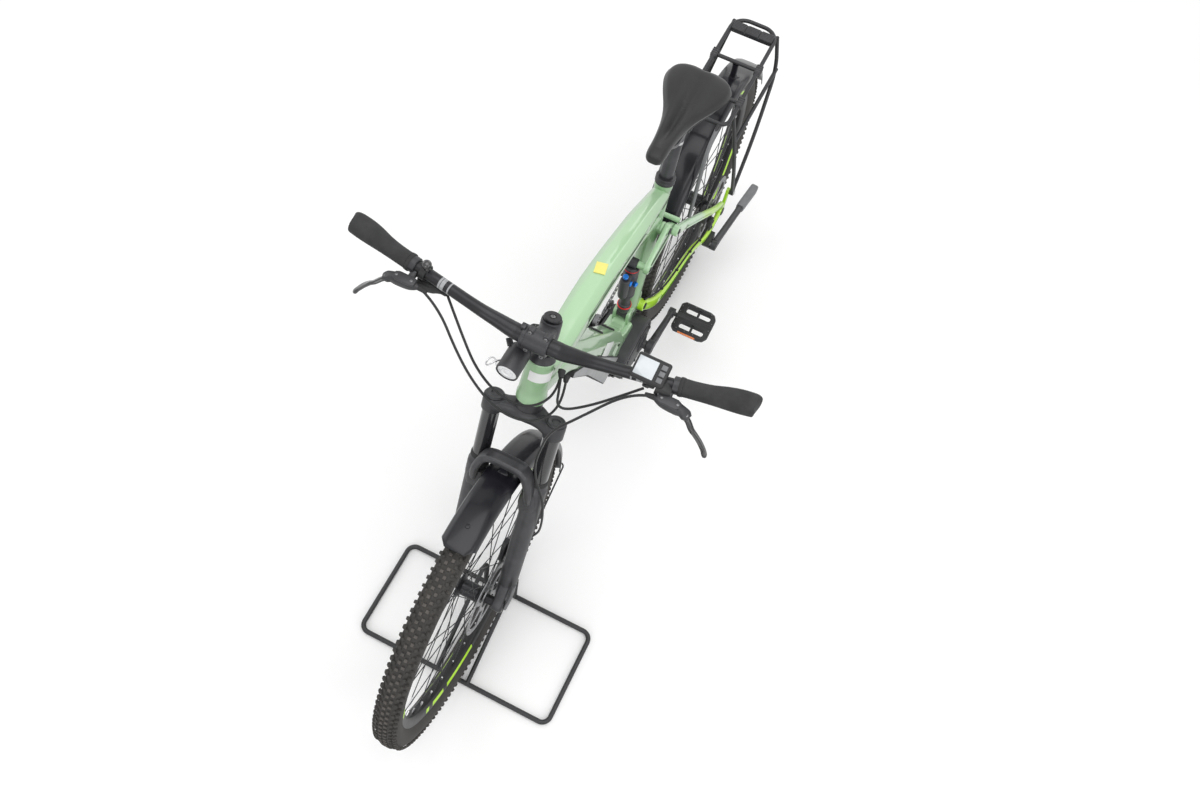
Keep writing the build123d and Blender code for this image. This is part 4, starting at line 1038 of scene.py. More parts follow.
seat_tube = lathe("seat_tube", [
    (0, 0), (0.0205, 0), (0.0205, 0.3), (0.0198, 0.33), (0.0202, 0.368), (0.0216, 0.372),
    (0.0216, 0.384), (0.0205, 0.385), (0.0159, 0.385), (0.0159, 0.27), (0, 0.27),
], seat_point(-0.385), seat_up, 48)
head_tube = lathe("head_tube", [
    (0.016, 0), (0.0285, 0), (0.03, 0.0015), (0.0302, 0.012), (0.029, 0.017), (0.0282, 0.03),
    (0.0272, 0.062), (0.0268, 0.08), (0.0272, 0.086), (0.0272, 0.0965), (0.026, 0.098),
    (0.016, 0.098), (0.016, 0),
], steer(0, 0, head_bottom), steer_up, 64)
gusset = formed_tube("head_gusset", [
    (steer(-0.004, 0, head_bottom + 0.052), 0.048, 0.07, 0.014),
    (steer(-0.052, 0, head_bottom + 0.052), 0.046, 0.078, 0.014),
    (steer(-0.105, 0, head_bottom + 0.046), 0.036, 0.066, 0.012),
], corner_steps=1, steps=4)
rounded(gusset, 0.003, 2, 18)
print("tubes", sum(len(o.data.polygons) for o in (top_tube, down_tube, brace, gusset)), "faces")

# %% Motor cradle and pivots
bb_x, bb_z = bottom_bracket.x, bottom_bracket.z


def bb_outline(points):
    """Outline in (x, z) given from the bottom bracket, in millimetres."""
    return [(bb_x + x / 1000, bb_z + z / 1000) for x, z in points]


cradle = side_plate("cradle", bb_outline([
    (-75, 74), (-69, 121), (-46, 124), (-17, 107), (40, 106), (88, 146), (132, 96), (119, 31),
    (59, 20), (-31, 20),
]), -0.0175, 0.035, 0.004, 3)
cheeks = side_plate("cradle_cheeks", bb_outline([
    (-9, 52), (12, 92), (50, 104), (92, 143), (134, 95), (117, 40), (59, 20), (20, 30),
]), -0.031, 0.062, 0.006, 3)
ears = []
for start in (-0.022, 0.013):
    ears.append(side_plate("shock_ear", hull_outline([
        (shock_bottom.x, shock_bottom.z, 0.0125), (shock_bottom.x - 0.004, shock_bottom.z - 0.034, 0.018),
    ], 24), start, 0.009, 0.0015))
bosses = []
for place, half, radius in ((rocker_pivot, 0.0294, 0.0165), (main_pivot, 0.0185, 0.0165)):
    bosses.append(lathe("pivot_boss", [
        (0, 0), (radius - 0.0015, 0), (radius, 0.0015), (radius, 0.006), (radius - 0.002, 0.009),
        (radius - 0.002, 2 * half - 0.009), (radius, 2 * half - 0.006), (radius, 2 * half - 0.0015),
        (radius - 0.0015, 2 * half), (0, 2 * half),
    ], place - Vector((0, half, 0)), (0, 1, 0), 40))
main_shell = joined("main_frame_skin", top_tube, down_tube, brace, seat_tube, head_tube, gusset,
                    cradle, cheeks, *ears, *bosses)
done(main_shell, "frame", mint_paint, ("main_frame",), 28)
print("frame skin", len(main_shell.data.polygons), "faces")

# %% [markdown]
# Small things make a frame believable: rubber grommets, ports where cables enter, bolts along
# the battery door, a lip on the seat tube, and blank stickers. The stickers carry no print.
# They are thin plates about a millimetre thick or less, laid on the paint.

# %% Frame trim
white_label = Paint("blank_white_label", (0.8, 0.81, 0.8), 0.35)
white_label.bump(white_label.noise(300.0), 0.00003, 0.4)
grey_label = Paint("blank_grey_label", (0.6, 0.63, 0.6), 0.36)
grey_label.bump(grey_label.noise(260.0), 0.00003, 0.4)
yellow_label = Paint("blank_yellow_label", (0.88, 0.8, 0.16), 0.38)
yellow_label.set("Base Color", wear(yellow_label, (0.9, 0.82, 0.2), (0.8, 0.74, 0.22), 60.0, 0.6))
blue_knob = anodised("blue_anodised_metal", (0.03, 0.22, 0.72), 0.3, 0.8)
red_ring = anodised("red_anodised_metal", (0.6, 0.02, 0.02), 0.34, 0.6)
orange_lens = Paint("orange_reflector", (0.85, 0.2, 0.01), 0.12)
orange_lens.set("Coat Weight", 1.0)
orange_lens.bump(orange_lens.cells(420.0), 0.0004, 0.8)


def frame_place(start, end, share, up=0.0, left=0.0):
    """A point on a line between two places, raised along the line's upper normal."""
    run = (end - start).normalized()
    over = run.cross(Vector((0, 1, 0))).normalized()
    if over.z < 0:
        over = -over
    return start + (end - start) * share + over * up + Vector((0, left, 0))


def run_angle(start, end):
    """Turn about Y that lays local X along a line in the middle plane."""
    run = (end - start).normalized()
    return atan2(-run.z, run.x)


top_turn = run_angle(collar + Vector((0.175, 0, 0.02)), top_bend)
yellow_line = (0.068 - (collar.x + 0.175)) / (top_bend.x - (collar.x + 0.175))
yellow = block("yellow_sticker",
               frame_place(collar + Vector((0.175, 0, 0.02)), top_bend, yellow_line, 0.0352),
               (0.034, 0.024, 0.0012), (0, top_turn, radians(12)), 0.0003)
done(yellow, "frame", yellow_label)
down_turn = run_angle(down_foot, down_bend)
grey = block("grey_side_label", frame_place(down_foot, down_bend, 0.36, 0.01, 0.0369),
             (0.078, 0.0007, 0.036), (0, down_turn, 0), 0.0002)
done(grey, "frame", grey_label)
white = ring("head_label", steer(0, 0, head_top - 0.04), steer_up, 0.0276, 0.0266, 0.022, 0.0002, 64)
choose(white)
bpy.ops.object.mode_set(mode="EDIT")
bpy.ops.mesh.select_all(action="SELECT")
label_front = steer(0.02, 0, head_top - 0.04)
bpy.ops.mesh.bisect(plane_co=label_front, plane_no=(steer_forward * 0.8 + Vector((0, 0.6, 0))),
                    clear_inner=True, use_fill=True)
bpy.ops.object.mode_set(mode="OBJECT")
done(white, "frame", white_label)

trim = []
for share, over in ((0.155, 0.0425), (0.42, 0.0425)):
    spot = frame_place(down_foot, down_bend, share, over)
    trim.append(block("grommet", spot, (0.012, 0.034, 0.007), (0, down_turn, 0), 0.003, 3))
for side in (-1, 1):
    for share in (0.1, 0.8):
        spot = frame_place(down_foot, down_bend, share, 0.012, side * 0.0362)
        trim.append(socket_bolt("door_bolt", spot, (0, side, 0), 0.0042, 0.0022))
    spot = steer(-0.045, side * 0.0235, head_bottom + 0.046)
    trim.append(block("cable_port", spot, (0.026, 0.006, 0.012),
                      (0, run_angle(steer(-0.105, 0, head_bottom), steer(0, 0, head_bottom)), side * 0.1),
                      0.002, 2))
trim.append(ring("seat_lip", seat_point(-0.0015), seat_up, 0.0222, 0.016, 0.003, 0.0006))
done(joined("frame_trim", *trim), "frame", soft_rubber)

# %% Battery cover
cover_grey = grained("cover_mid_grey", (0.27, 0.275, 0.28), 0.42, 1300.0, 0.00004)
cover_outline = [
    (0.236, 0.786), (0.244, 0.778), (0.156, 0.646), (0.034, 0.404), (0.026, 0.399), (-0.052, 0.4),
    (0.1, 0.638),
]
gasket_outline = [
    (0.2365, 0.7895), (0.245, 0.779), (0.157, 0.6445), (0.035, 0.4025), (0.026, 0.3975), (-0.0545, 0.4),
    (0.0965, 0.639),
]
cover = side_plate("battery_cover_skin", cover_outline, -0.0384, 0.0768, 0.0024, 3)
door = formed_tube("battery_door", [
    (frame_place(down_foot, down_bend, 0.36, -0.0438), 0.036, 0.004, 0.0018),
    (frame_place(down_foot, down_bend, 0.5, -0.0446), 0.038, 0.006, 0.0025),
    (frame_place(down_foot, down_bend, 0.8, -0.043), 0.034, 0.004, 0.0018),
], steps=4)
done(joined("battery_cover_skin", cover, door), "frame", cover_grey, ("battery_cover",))
gasket = side_plate("cover_gasket", gasket_outline, -0.0374, 0.0748, 0.0006, 1)
done(gasket, "frame", soft_rubber)
print("trim pieces", len(trim))

# %% [markdown]
# The rear suspension is made as forged and formed parts. The rocker is a pair of plates with
# a milled pocket in each outer face. The stays are chamfered tubes that change from mint to
# lime towards the axle, which the paint does by its place along the bicycle.

# %% Rocker link
plates = []
for side in (-1, 1):
    outline = hull_outline([
        (rocker_pivot.x, rocker_pivot.z, 0.0172), (shock_top.x, shock_top.z, 0.0142),
        (rocker_rear.x, rocker_rear.z, 0.0142),
    ], 36)
    start = 0.03 if side > 0 else -0.043
    rocker = side_plate("rocker_side", outline, start, 0.013, 0.0024, 3)
    flute(rocker, lambda c, n: n.y * side > 0.95, 0.0075, 0.0032)
    plates.append(rocker)
    for place, radius in ((rocker_pivot, 0.0125), (shock_top, 0.0098), (rocker_rear, 0.0098)):
        plates.append(lathe("rocker_eye", [
            (0, 0), (radius - 0.001, 0), (radius, 0.001), (radius, 0.0062), (radius - 0.001, 0.0072),
            (0, 0.0072),
        ], place + Vector((0, side * 0.0368, 0)), (0, side, 0), 32))
for place in (rocker_rear, rocker_pivot):
    plates.append(lathe("rocker_axle", [(0, 0), (0.0059, 0), (0.0059, 0.116), (0, 0.116)],
                        place - Vector((0, 0.058, 0)), (0, 1, 0), 24)
                  if place == rocker_rear else
                  lathe("rocker_axle", [(0, 0), (0.0059, 0), (0.0059, 0.06), (0, 0.06)],
                        place - Vector((0, 0.03, 0)), (0, 1, 0), 24))
for side in (-1, 1):
    plates.append(lathe("shock_spacer", [(0, 0), (0.0088, 0), (0.0088, 0.018), (0, 0.018)],
                        shock_top + Vector((0, side * 0.013, 0)), (0, side, 0), 28))
done(joined("rocker_link_skin", *plates), "frame", mint_paint, ("rocker_link",), 30)

bolts = []
for side in (-1, 1):
    for place, radius, out in ((rocker_pivot, 0.0085, 0.044), (shock_top, 0.0065, 0.044),
                               (rocker_rear, 0.0068, 0.058), (main_pivot, 0.0088, 0.033)):
        bolts.append(socket_bolt("pivot_bolt", place + Vector((0, side * out, 0)), (0, side, 0),
                                 radius, 0.0028))
done(joined("pivot_bolts", *bolts), "frame", satin_black)
print("rocker and", len(bolts), "bolts")

# %% Seat stays and chainstays
stay_foot = rear_axle + Vector((0.014, 0, 0.04))
stay_knee = stay_foot + Vector((0.06, 0, 0.042))
stay_bend = rocker_rear + Vector((-0.06, 0, -0.046))
rack_eye = rear_axle + Vector((-0.026, 0, 0.0595))
stays = []
for side in (-1, 1):
    rows = [
        (rocker_rear + Vector((0, side * 0.051, 0)), 0.014, 0.026, 0.004),
        (stay_bend + Vector((0, side * 0.054, 0)), 0.016, 0.025, 0.0045),
        (stay_bend * 0.5 + stay_knee * 0.5 + Vector((0, side * 0.066, 0.002)), 0.0145, 0.0225, 0.0045),
        (stay_knee + Vector((0, side * 0.076, 0)), 0.013, 0.02, 0.004),
        (stay_foot + Vector((0, side * 0.081, 0)), 0.012, 0.02, 0.0035),
        (rear_axle + Vector((0.004, side * 0.081, 0.018)), 0.011, 0.02, 0.0035),
    ]
    stay = formed_tube("seat_stay", rows, corner_steps=1, steps=4)
    rounded(stay, 0.0014, 2, 20)
    flute(stay, lambda c, n: n.y * side > 0.85 and -0.52 < c.x < -0.34, 0.005, 0.0012)
    stays.append(stay)
    stays.append(lathe("stay_eye", [
        (0.0061, 0), (0.0128, 0), (0.014, 0.0012), (0.014, 0.0135), (0.0128, 0.0147), (0.0061, 0.0147),
        (0.0061, 0),
    ], rocker_rear + Vector((0, side * 0.0433, 0)), (0, side, 0), 40))
bridge_x = rocker_rear + Vector((-0.03, 0, 0))
stays.append(lathe("stay_bridge", [
    (0, 0), (0.007, 0), (0.0062, 0.03), (0.0058, 0.0473), (0.0062, 0.0646), (0.007, 0.0946), (0, 0.0946),
], bridge_x - Vector((0, 0.0473, 0)), (0, 1, 0), 28))
done(joined("seat_stays_skin", *stays), "frame", fade_paint, ("seat_stays",), 30)

chain_parts = []
for side in (-1, 1):
    mid_y = 0.055 if side < 0 else 0.06
    rows = [
        (main_pivot + Vector((0.002, side * 0.025, 0)), 0.015, 0.031, 0.005),
        (main_pivot + Vector((-0.07, side * 0.046, -0.042)), 0.0135, 0.033, 0.005),
        (rear_axle + Vector((0.16, side * mid_y, -0.016)), 0.013, 0.027, 0.0045),
        (rear_axle + Vector((0.088, side * 0.078, -0.014)), 0.012, 0.024, 0.004),
        (rear_axle + Vector((0.012, side * 0.081, -0.001)), 0.0118, 0.024, 0.0035),
    ]
    stay = formed_tube("chain_stay", rows, corner_steps=1, steps=5)
    rounded(stay, 0.0015, 2, 20)
    flute(stay, lambda c, n: n.y * side > 0.8 and -0.46 < c.x < -0.29, 0.006, 0.0014)
    chain_parts.append(stay)
    chain_parts.append(lathe("pivot_cheek", [
        (0, 0), (0.015, 0), (0.0158, 0.001), (0.0158, 0.0135), (0.0146, 0.0155), (0.0105, 0.0157),
        (0.0098, 0.0148), (0, 0.0148),
    ], main_pivot + Vector((0, side * 0.0173, 0)), (0, side, 0), 48))
    chain_parts.append(lathe("dropout_boss", [
        (0.0078, 0), (0.018, 0), (0.019, 0.0012), (0.019, 0.0085), (0.0165, 0.0115), (0.016, 0.013),
        (0.0078, 0.013), (0.0078, 0),
    ], rear_axle + Vector((0, side * 0.074, 0)), (0, side, 0), 48))
    start = 0.078 if side > 0 else -0.087
    chain_parts.append(side_plate("rack_ear", hull_outline([
        (rear_axle.x - 0.011, rear_axle.z, 0.0082), (rack_eye.x, rack_eye.z, 0.0082),
    ], 24), start, 0.009, 0.0016, 2))
chain_parts.append(lathe("pivot_axle", [(0, 0), (0.006, 0), (0.006, 0.05), (0, 0.05)],
                         main_pivot - Vector((0, 0.025, 0)), (0, 1, 0), 24))
done(joined("chainstays_skin", *chain_parts), "frame", lime_paint, ("chainstays",), 30)

axle_ends = [lathe("rear_axle_bar", [(0, 0), (0.0074, 0), (0.0074, 0.174), (0, 0.174)],
                   rear_axle - Vector((0, 0.087, 0)), (0, 1, 0), 28)]
for side in (-1, 1):
    axle_ends.append(socket_bolt("axle_end", rear_axle + Vector((0, side * 0.0868, 0)), (0, side, 0),
                                 0.0115, 0.003))
protector = formed_tube("chainstay_guard", [
    (main_pivot + Vector((-0.05, -0.0405, -0.008)), 0.017, 0.012, 0.004),
    (main_pivot + Vector((-0.13, -0.0515, -0.026)), 0.018, 0.011, 0.004),
    (rear_axle + Vector((0.18, -0.0555, 0.001)), 0.017, 0.009, 0.003),
], steps=4)
axle_ends.append(protector)
done(joined("rear_axle_and_guard", *axle_ends), "frame", satin_black)

# %% [markdown]
# The damper is a stack of turned parts on one line: an eye, the air can with its grooves,
# a narrow shaft with a red travel ring, and a second bottle beside the can. The knobs are
# turned and anodised blue, and the thin rings red.

# %% Rear shock
shock_run = shock_bottom - shock_top
shock_way = shock_run.normalized()
shock_length = shock_run.length
can = lathe("shock_can", [
    (0, 0.01), (0.015, 0.01), (0.0185, 0.013), (0.019, 0.016), (0.019, 0.04), (0.018, 0.042),
    (0.018, 0.046), (0.019, 0.048), (0.019, 0.11), (0.0183, 0.113), (0.019, 0.115), (0.019, 0.121),
    (0.0165, 0.124), (0.012, 0.1245), (0.012, 0.16), (0.015, 0.162), (0.016, 0.165),
    (0.016, 0.185), (0.014, 0.19), (0, 0.19),
], shock_top, shock_way, 56)
bottle_start = shock_top + shock_run * 0.16 + Vector((0.034, 0, 0.008))
bottle = lathe("shock_bottle", [
    (0, 0), (0.0095, 0), (0.0115, 0.002), (0.0122, 0.005), (0.0122, 0.056), (0.0112, 0.064),
    (0.0085, 0.069), (0, 0.07),
], bottle_start, shock_way, 48)
bridge_part = block("bottle_bridge", shock_top + shock_run * 0.2 + Vector((0.017, 0, 0.004)),
                    (0.034, 0.018, 0.026), (0, radians(3), 0), 0.004, 3)
eyes = []
for place in (shock_top, shock_bottom):
    eyes.append(lathe("shock_eye", [
        (0.0051, 0), (0.011, 0), (0.0122, 0.0014), (0.0122, 0.0226), (0.011, 0.024), (0.0051, 0.024),
        (0.0051, 0),
    ], place - Vector((0, 0.012, 0)), (0, 1, 0), 40))
valve = lathe("air_valve", [
    (0, 0), (0.0042, 0), (0.0042, 0.006), (0.0036, 0.0065), (0.0036, 0.009), (0.003, 0.0098), (0, 0.01),
], shock_top + shock_run * 0.3 + Vector((0, -0.018, 0)), (0, -1, 0), 24)
done(joined("rear_shock_skin", can, bottle, bridge_part, valve, *eyes), "frame", satin_black,
     ("rear_shock",), 30)
rings = [ring("travel_ring", shock_top + shock_way * 0.166, shock_way, 0.018, 0.0118, 0.003, 0.001, 48),
         ring("can_ring", shock_top + shock_way * 0.0165, shock_way, 0.0196, 0.015, 0.0026, 0.0008, 48)]
done(joined("shock_red_rings", *rings), "frame", red_ring)
knobs = []
for place, axis in ((bottle_start + Vector((0.001, 0.0, 0.0)) - shock_way * 0.0075, -shock_way),
                    (shock_top + shock_run * 0.3 + Vector((0.01, 0.0175, 0)), (0.3, 1, 0)),
                    (shock_top + shock_run * 0.21 + Vector((0.03, 0.0095, 0.004)), (0, 1, 0))):
    knobs.append(lathe("blue_knob", [
        (0, -0.001), (0.0062, -0.001), (0.0066, 0), (0.0066, 0.005), (0.0058, 0.0062), (0.0022, 0.0062),
        (0.0018, 0.0054), (0, 0.0054),
    ], place, axis, 32))
done(joined("shock_blue_knobs", *knobs), "frame", blue_knob)
print("shock", round(shock_length, 3), "m between its eyes")

# %% [markdown]
# The motor is a die-cast shell with a raised side cover, ribs that stiffen it, and screws
# round its rim. Its outline is the same pair of circles as the solid's.

# %% Motor
nose = bottom_bracket + Vector((0.076, 0, 0.018))


def motor_outline(grow):
    """Side outline of the motor: two circles and the lines that join them."""
    return hull_outline([(bb_x, bb_z, 0.066 + grow), (nose.x, nose.z, 0.05 + grow)], 64)


shell = side_plate("motor_shell", motor_outline(0), -0.045, 0.105, 0.006, 4)
flute(shell, lambda c, n: abs(n.y) > 0.95, 0.01, 0.0016)
covers = []
for side, out in ((1, 0.059), (-1, 0.044)):
    start = out - 0.002 if side > 0 else -out - 0.0026
    lid = side_plate("motor_lid", hull_outline([
        (bb_x, bb_z, 0.044), (nose.x - 0.01, nose.z, 0.032),
    ], 48), start, 0.0046, 0.0012, 2)
    covers.append(lid)
    covers.append(lathe("bearing_seat", [
        (0.0122, 0), (0.0255, 0), (0.027, 0.0012), (0.0262, 0.0045), (0.02, 0.006), (0.015, 0.006),
        (0.014, 0.004), (0.0122, 0.004), (0.0122, 0),
    ], bottom_bracket + Vector((0, side * (out + 0.0018), 0)), (0, side, 0), 56))
    for angle in (20, 75, 130, 185, 240, 300):
        spot = bottom_bracket + Vector((0.056 * cos(radians(angle)), side * (out + 0.0006),
                                        0.056 * sin(radians(angle))))
        if (spot - nose).length > 0.045 or angle in (75, 300):
            covers.append(socket_bolt("case_screw", spot, (0, side, 0), 0.004, 0.0022))
    for index in range(5):
        spot = nose + Vector((0.008 + 0.008 * index, side * (out + 0.0005), 0.018 - 0.01 * index))
        covers.append(block("case_rib", spot, (0.003, 0.003, 0.044 - 0.005 * index),
                            (0, radians(24), 0), 0.001, 2))
done(joined("motor_skin", shell, *covers), "frame", dark_casting, ("motor",), 30)

guard = side_plate("guard_outer", motor_outline(0.0043), -0.04, 0.08, 0.0015, 2)
choose(guard)
bpy.ops.object.mode_set(mode="EDIT")
bpy.ops.mesh.select_all(action="SELECT")
bpy.ops.mesh.bisect(plane_co=bottom_bracket + Vector((0, 0, -0.03)), plane_no=(-0.3, 0, 1),
                    clear_outer=True, use_fill=True)
bpy.ops.object.mode_set(mode="OBJECT")
ribs = [guard]
for side in (-0.028, -0.014, 0, 0.014, 0.028):
    rib_outline = motor_outline(0.0068)
    rib = side_plate("guard_rib", rib_outline, side - 0.0015, 0.003, 0.0008, 1)
    choose(rib)
    bpy.ops.object.mode_set(mode="EDIT")
    bpy.ops.mesh.select_all(action="SELECT")
    bpy.ops.mesh.bisect(plane_co=bottom_bracket + Vector((0, 0, -0.034)), plane_no=(-0.3, 0, 1),
                        clear_outer=True, use_fill=True)
    bpy.ops.object.mode_set(mode="OBJECT")
    ribs.append(rib)
done(joined("skid_plate_skin", *ribs), "frame", black_plastic, ("skid_plate",), 30)

# %% [markdown]
# The fork is worked out in the steering frame, so every part leans with it. Legs, tubes and
# caps are turned shapes; the crown and the arch are bridged frames, because the real ones are
# forged with flat faces and soft edges.

# %% Fork crown and tubes
crown_top, leg_top = 0.54, 0.356
crown = formed_tube("crown", [
    (steer(0.016, 0.079, 0.517), 0.03, 0.024, 0.008), (steer(0.016, 0.066, 0.517), 0.041, 0.03, 0.01),
    (steer(0.01, 0.04, 0.519), 0.036, 0.028, 0.009), (steer(0.003, 0.018, 0.519), 0.048, 0.029, 0.011),
    (steer(0.002, 0, 0.519), 0.053, 0.029, 0.012), (steer(0.003, -0.018, 0.519), 0.048, 0.029, 0.011),
    (steer(0.01, -0.04, 0.519), 0.036, 0.028, 0.009), (steer(0.016, -0.066, 0.517), 0.041, 0.03, 0.01),
    (steer(0.016, -0.079, 0.517), 0.03, 0.024, 0.008),
], side=steer_forward, steps=3, corner_steps=3)
pieces = [crown, lathe("crown_race", [
    (0.0145, 0), (0.024, 0), (0.0265, 0.002), (0.0268, 0.02), (0.0245, 0.0217), (0.0145, 0.0217),
    (0.0145, 0),
], steer(0, 0, 0.532), steer_up, 56)]
for side in (-1, 1):
    pieces.append(lathe("crown_collar", [
        (0.017, -0.004), (0.0205, -0.004), (0.0215, -0.0025), (0.0215, 0.028), (0.0205, 0.03),
        (0.017, 0.03), (0.017, -0.004),
    ], steer(leg_ahead, side * leg_side, 0.504), steer_up, 56))
    pieces.append(lathe("leg_cap", [
        (0, 0), (0.018, 0), (0.0188, 0.0012), (0.0184, 0.0036), (0.0162, 0.0048), (0.015, 0.004),
        (0.0088, 0.004), (0.008, 0.0046), (0.007, 0.0022), (0, 0.0022),
    ], steer(leg_ahead, side * leg_side, 0.5335), steer_up, 56))
    pieces.append(lathe("crown_recess", [
        (0.0042, 0), (0.0062, 0), (0.0066, 0.0008), (0.0062, 0.0016), (0.0042, 0.0016), (0.0042, 0),
    ], steer(0.014, side * 0.038, 0.5322), steer_up, 32))
done(joined("crown_and_caps", *pieces), "front_end", satin_black, ("fork_uppers",), 35)
tubes = []
for side in (-1, 1):
    tubes.append(lathe("stanchion", [(0, 0), (0.0174, 0), (0.0174, 0.402), (0, 0.402)],
                       steer(leg_ahead, side * leg_side, 0.104), steer_up, 56))
done(joined("stanchions", *tubes), "front_end", gloss_black)
headset = [
    lathe("headset_cover", [
        (0.015, 0.0004), (0.0262, 0.0004), (0.027, 0.0018), (0.0256, 0.006), (0.0215, 0.013),
        (0.0192, 0.0155), (0.015, 0.0155), (0.015, 0.0004),
    ], steer(0, 0, head_top), steer_up, 56),
]
for index in range(3):
    headset.append(ring("spacer", steer(0, 0, head_top + 0.0215 + 0.0113 * index), steer_up, 0.0185,
                        0.0146,
                        0.0109, 0.0005, 56))
headset.append(lathe("steerer", [(0, 0), (0.0142, 0), (0.0142, 0.19), (0, 0.19)],
                     steer(0, 0, crown_top), steer_up, 40))
done(joined("headset_and_spacers", *headset), "front_end", satin_black)
print("fork top done")

# %% Lower legs and arch
leg_parts = []
for side in (-1, 1):
    leg_parts.append(lathe("lower_leg", [
        (0.0176, 0.372), (0.0196, 0.372), (0.0198, 0.3705), (0.0205, 0.3605), (0.0222, 0.358),
        (0.0226, 0.35), (0.0226, 0.322), (0.0216, 0.312), (0.0213, 0.2), (0.0207, 0.09),
        (0.0202, 0.03), (0.0196, 0.008), (0.018, -0.004), (0.012, -0.0095), (0.011, -0.009),
        (0.01, -0.0125), (0, -0.0125),
    ], steer(leg_ahead, side * leg_side, 0), steer_up, 56))
    start = 0.0552 if side > 0 else -0.0785
    foot = steer(leg_ahead, 0, 0.01)
    knuckle = side_plate("axle_lug", hull_outline([
        (front_axle.x, front_axle.z, 0.0168),
        (steer(leg_ahead, 0, 0.052).x, steer(leg_ahead, 0, 0.052).z, 0.015),
        (foot.x, foot.z, 0.015),
    ], 32), start, 0.0233, 0.004, 3)
    leg_parts.append(knuckle)
    leg_parts.append(lathe("axle_ring", [
        (0.0075, 0), (0.0145, 0), (0.015, 0.0006), (0.015, 0.0022), (0.0136, 0.003), (0.0075, 0.003),
        (0.0075, 0),
    ], front_axle + Vector((0, side * 0.078, 0)), (0, side, 0), 40))
arch_height = 0.41
arch_rows = [
    (steer(leg_ahead + 0.004, leg_side - 0.004, leg_top - 0.052), 0.02, 0.014, 0.005),
    (steer(leg_ahead + 0.018, leg_side - 0.004, leg_top - 0.02), 0.03, 0.016, 0.004),
    (steer(leg_ahead + 0.028, leg_side - 0.008, leg_top + 0.016), 0.032, 0.016, 0.004),
    (steer(leg_ahead + 0.03, leg_side - 0.021, arch_height - 0.007), 0.034, 0.017, 0.004),
    (steer(leg_ahead + 0.029, leg_side - 0.038, arch_height + 0.0005), 0.035, 0.017, 0.004),
    (steer(leg_ahead + 0.028, 0, arch_height + 0.0005), 0.035, 0.017, 0.004),
]
arch_rows += [(place + Vector((0, -2 * place.y, 0)), *rest) for place, *rest in reversed(arch_rows[:-1])]
arch = formed_tube("arch", arch_rows, side=steer_forward, steps=2, corner_steps=1)
rounded(arch, 0.0012, 2, 20)
flute(arch, lambda c, n: n.dot(steer_up) > 0.9 and abs(c.y) < 0.05, 0.005, 0.0016)
leg_parts.append(arch)
for side in (-1, 1):
    leg_parts.append(formed_tube("arch_foot", [
        (steer(leg_ahead + 0.006, side * (leg_side - 0.004), leg_top - 0.085), 0.026, 0.012, 0.005),
        (steer(leg_ahead + 0.01, side * (leg_side - 0.006), leg_top - 0.04), 0.04, 0.03, 0.01),
        (steer(leg_ahead + 0.014, side * (leg_side - 0.008), leg_top - 0.008), 0.03, 0.022, 0.008),
    ], side=(0, 1, 0), steps=3, corner_steps=3))
done(joined("fork_lowers_skin", *leg_parts), "front_end", fork_grey, ("fork_lowers",), 32)
wipers = []
for side in (-1, 1):
    wipers.append(lathe("wiper_seal", [
        (0.0175, 0.0), (0.0199, 0.0), (0.0201, 0.004), (0.019, 0.0085), (0.018, 0.0098), (0.0175, 0.0098),
        (0.0175, 0.0),
    ], steer(leg_ahead, side * leg_side, 0.3705), steer_up, 48))
done(joined("wiper_seals", *wipers), "front_end", soft_rubber)
axle = [lathe("front_axle_bar", [(0, 0), (0.0074, 0), (0.0074, 0.166), (0, 0.166)],
              front_axle - Vector((0, 0.083, 0)), (0, 1, 0), 28)]
axle.append(socket_bolt("front_axle_head", front_axle + Vector((0, -0.0805, 0)), (0, -1, 0), 0.0105,
                        0.004))
axle.append(formed_tube("axle_lever", [
    (front_axle + Vector((0.002, 0.085, 0.002)), 0.014, 0.008, 0.003),
    (front_axle + Vector((-0.02, 0.088, 0.03)), 0.015, 0.007, 0.003),
    (front_axle + Vector((-0.036, 0.088, 0.062)), 0.011, 0.006, 0.0025),
], side=(0.8, 0, 0.5), steps=3))
done(joined("front_axle_set", *axle), "front_end", dark_steel)

# %% [markdown]
# Disc brake calipers are two halves bolted over the disc. Each half is a bridged block with
# a round piston cover, and the halves leave the disc's slot free.

# %% Brake calipers
caliper = []
for start, end in ((0.0225, 0.0344), (0.0396, 0.0535)):
    middle = (start + end) / 2
    row = formed_tube("caliper_half", [
        (steer(-0.024, middle, 0.062), 0.018, end - start, 0.003),
        (steer(-0.024, middle, 0.07), 0.028, end - start, 0.004),
        (steer(-0.025, middle, 0.092), 0.029, end - start, 0.004),
        (steer(-0.024, middle, 0.114), 0.028, end - start, 0.004),
        (steer(-0.024, middle, 0.122), 0.018, end - start, 0.003),
    ], side=steer_forward, steps=2, corner_steps=3)
    caliper.append(row)
caliper.append(lathe("piston_cover", [
    (0, 0), (0.0115, 0), (0.012, 0.0006), (0.012, 0.0024), (0.0108, 0.0032), (0.005, 0.0032),
    (0.0044, 0.0022), (0, 0.0022),
], steer(-0.025, 0.0535, 0.092), (0, 1, 0), 40))
caliper.append(formed_tube("caliper_bridge", [
    (steer(-0.034, 0.0225, 0.092), 0.01, 0.052, 0.003),
    (steer(-0.034, 0.0535, 0.092), 0.01, 0.052, 0.003),
], side=steer_forward, steps=1, corner_steps=2))
for up in (0.066, 0.118):
    caliper.append(lathe("caliper_post", [(0, 0), (0.0058, 0), (0.0058, 0.03), (0, 0.03)],
                         steer(-0.028, 0.045, up),
                         (steer(leg_ahead, leg_side, up) - steer(-0.03, 0.045, up)), 24))
    caliper.append(socket_bolt("caliper_bolt", steer(-0.024, 0.0535, up), (0, 1, 0), 0.0042, 0.0028))
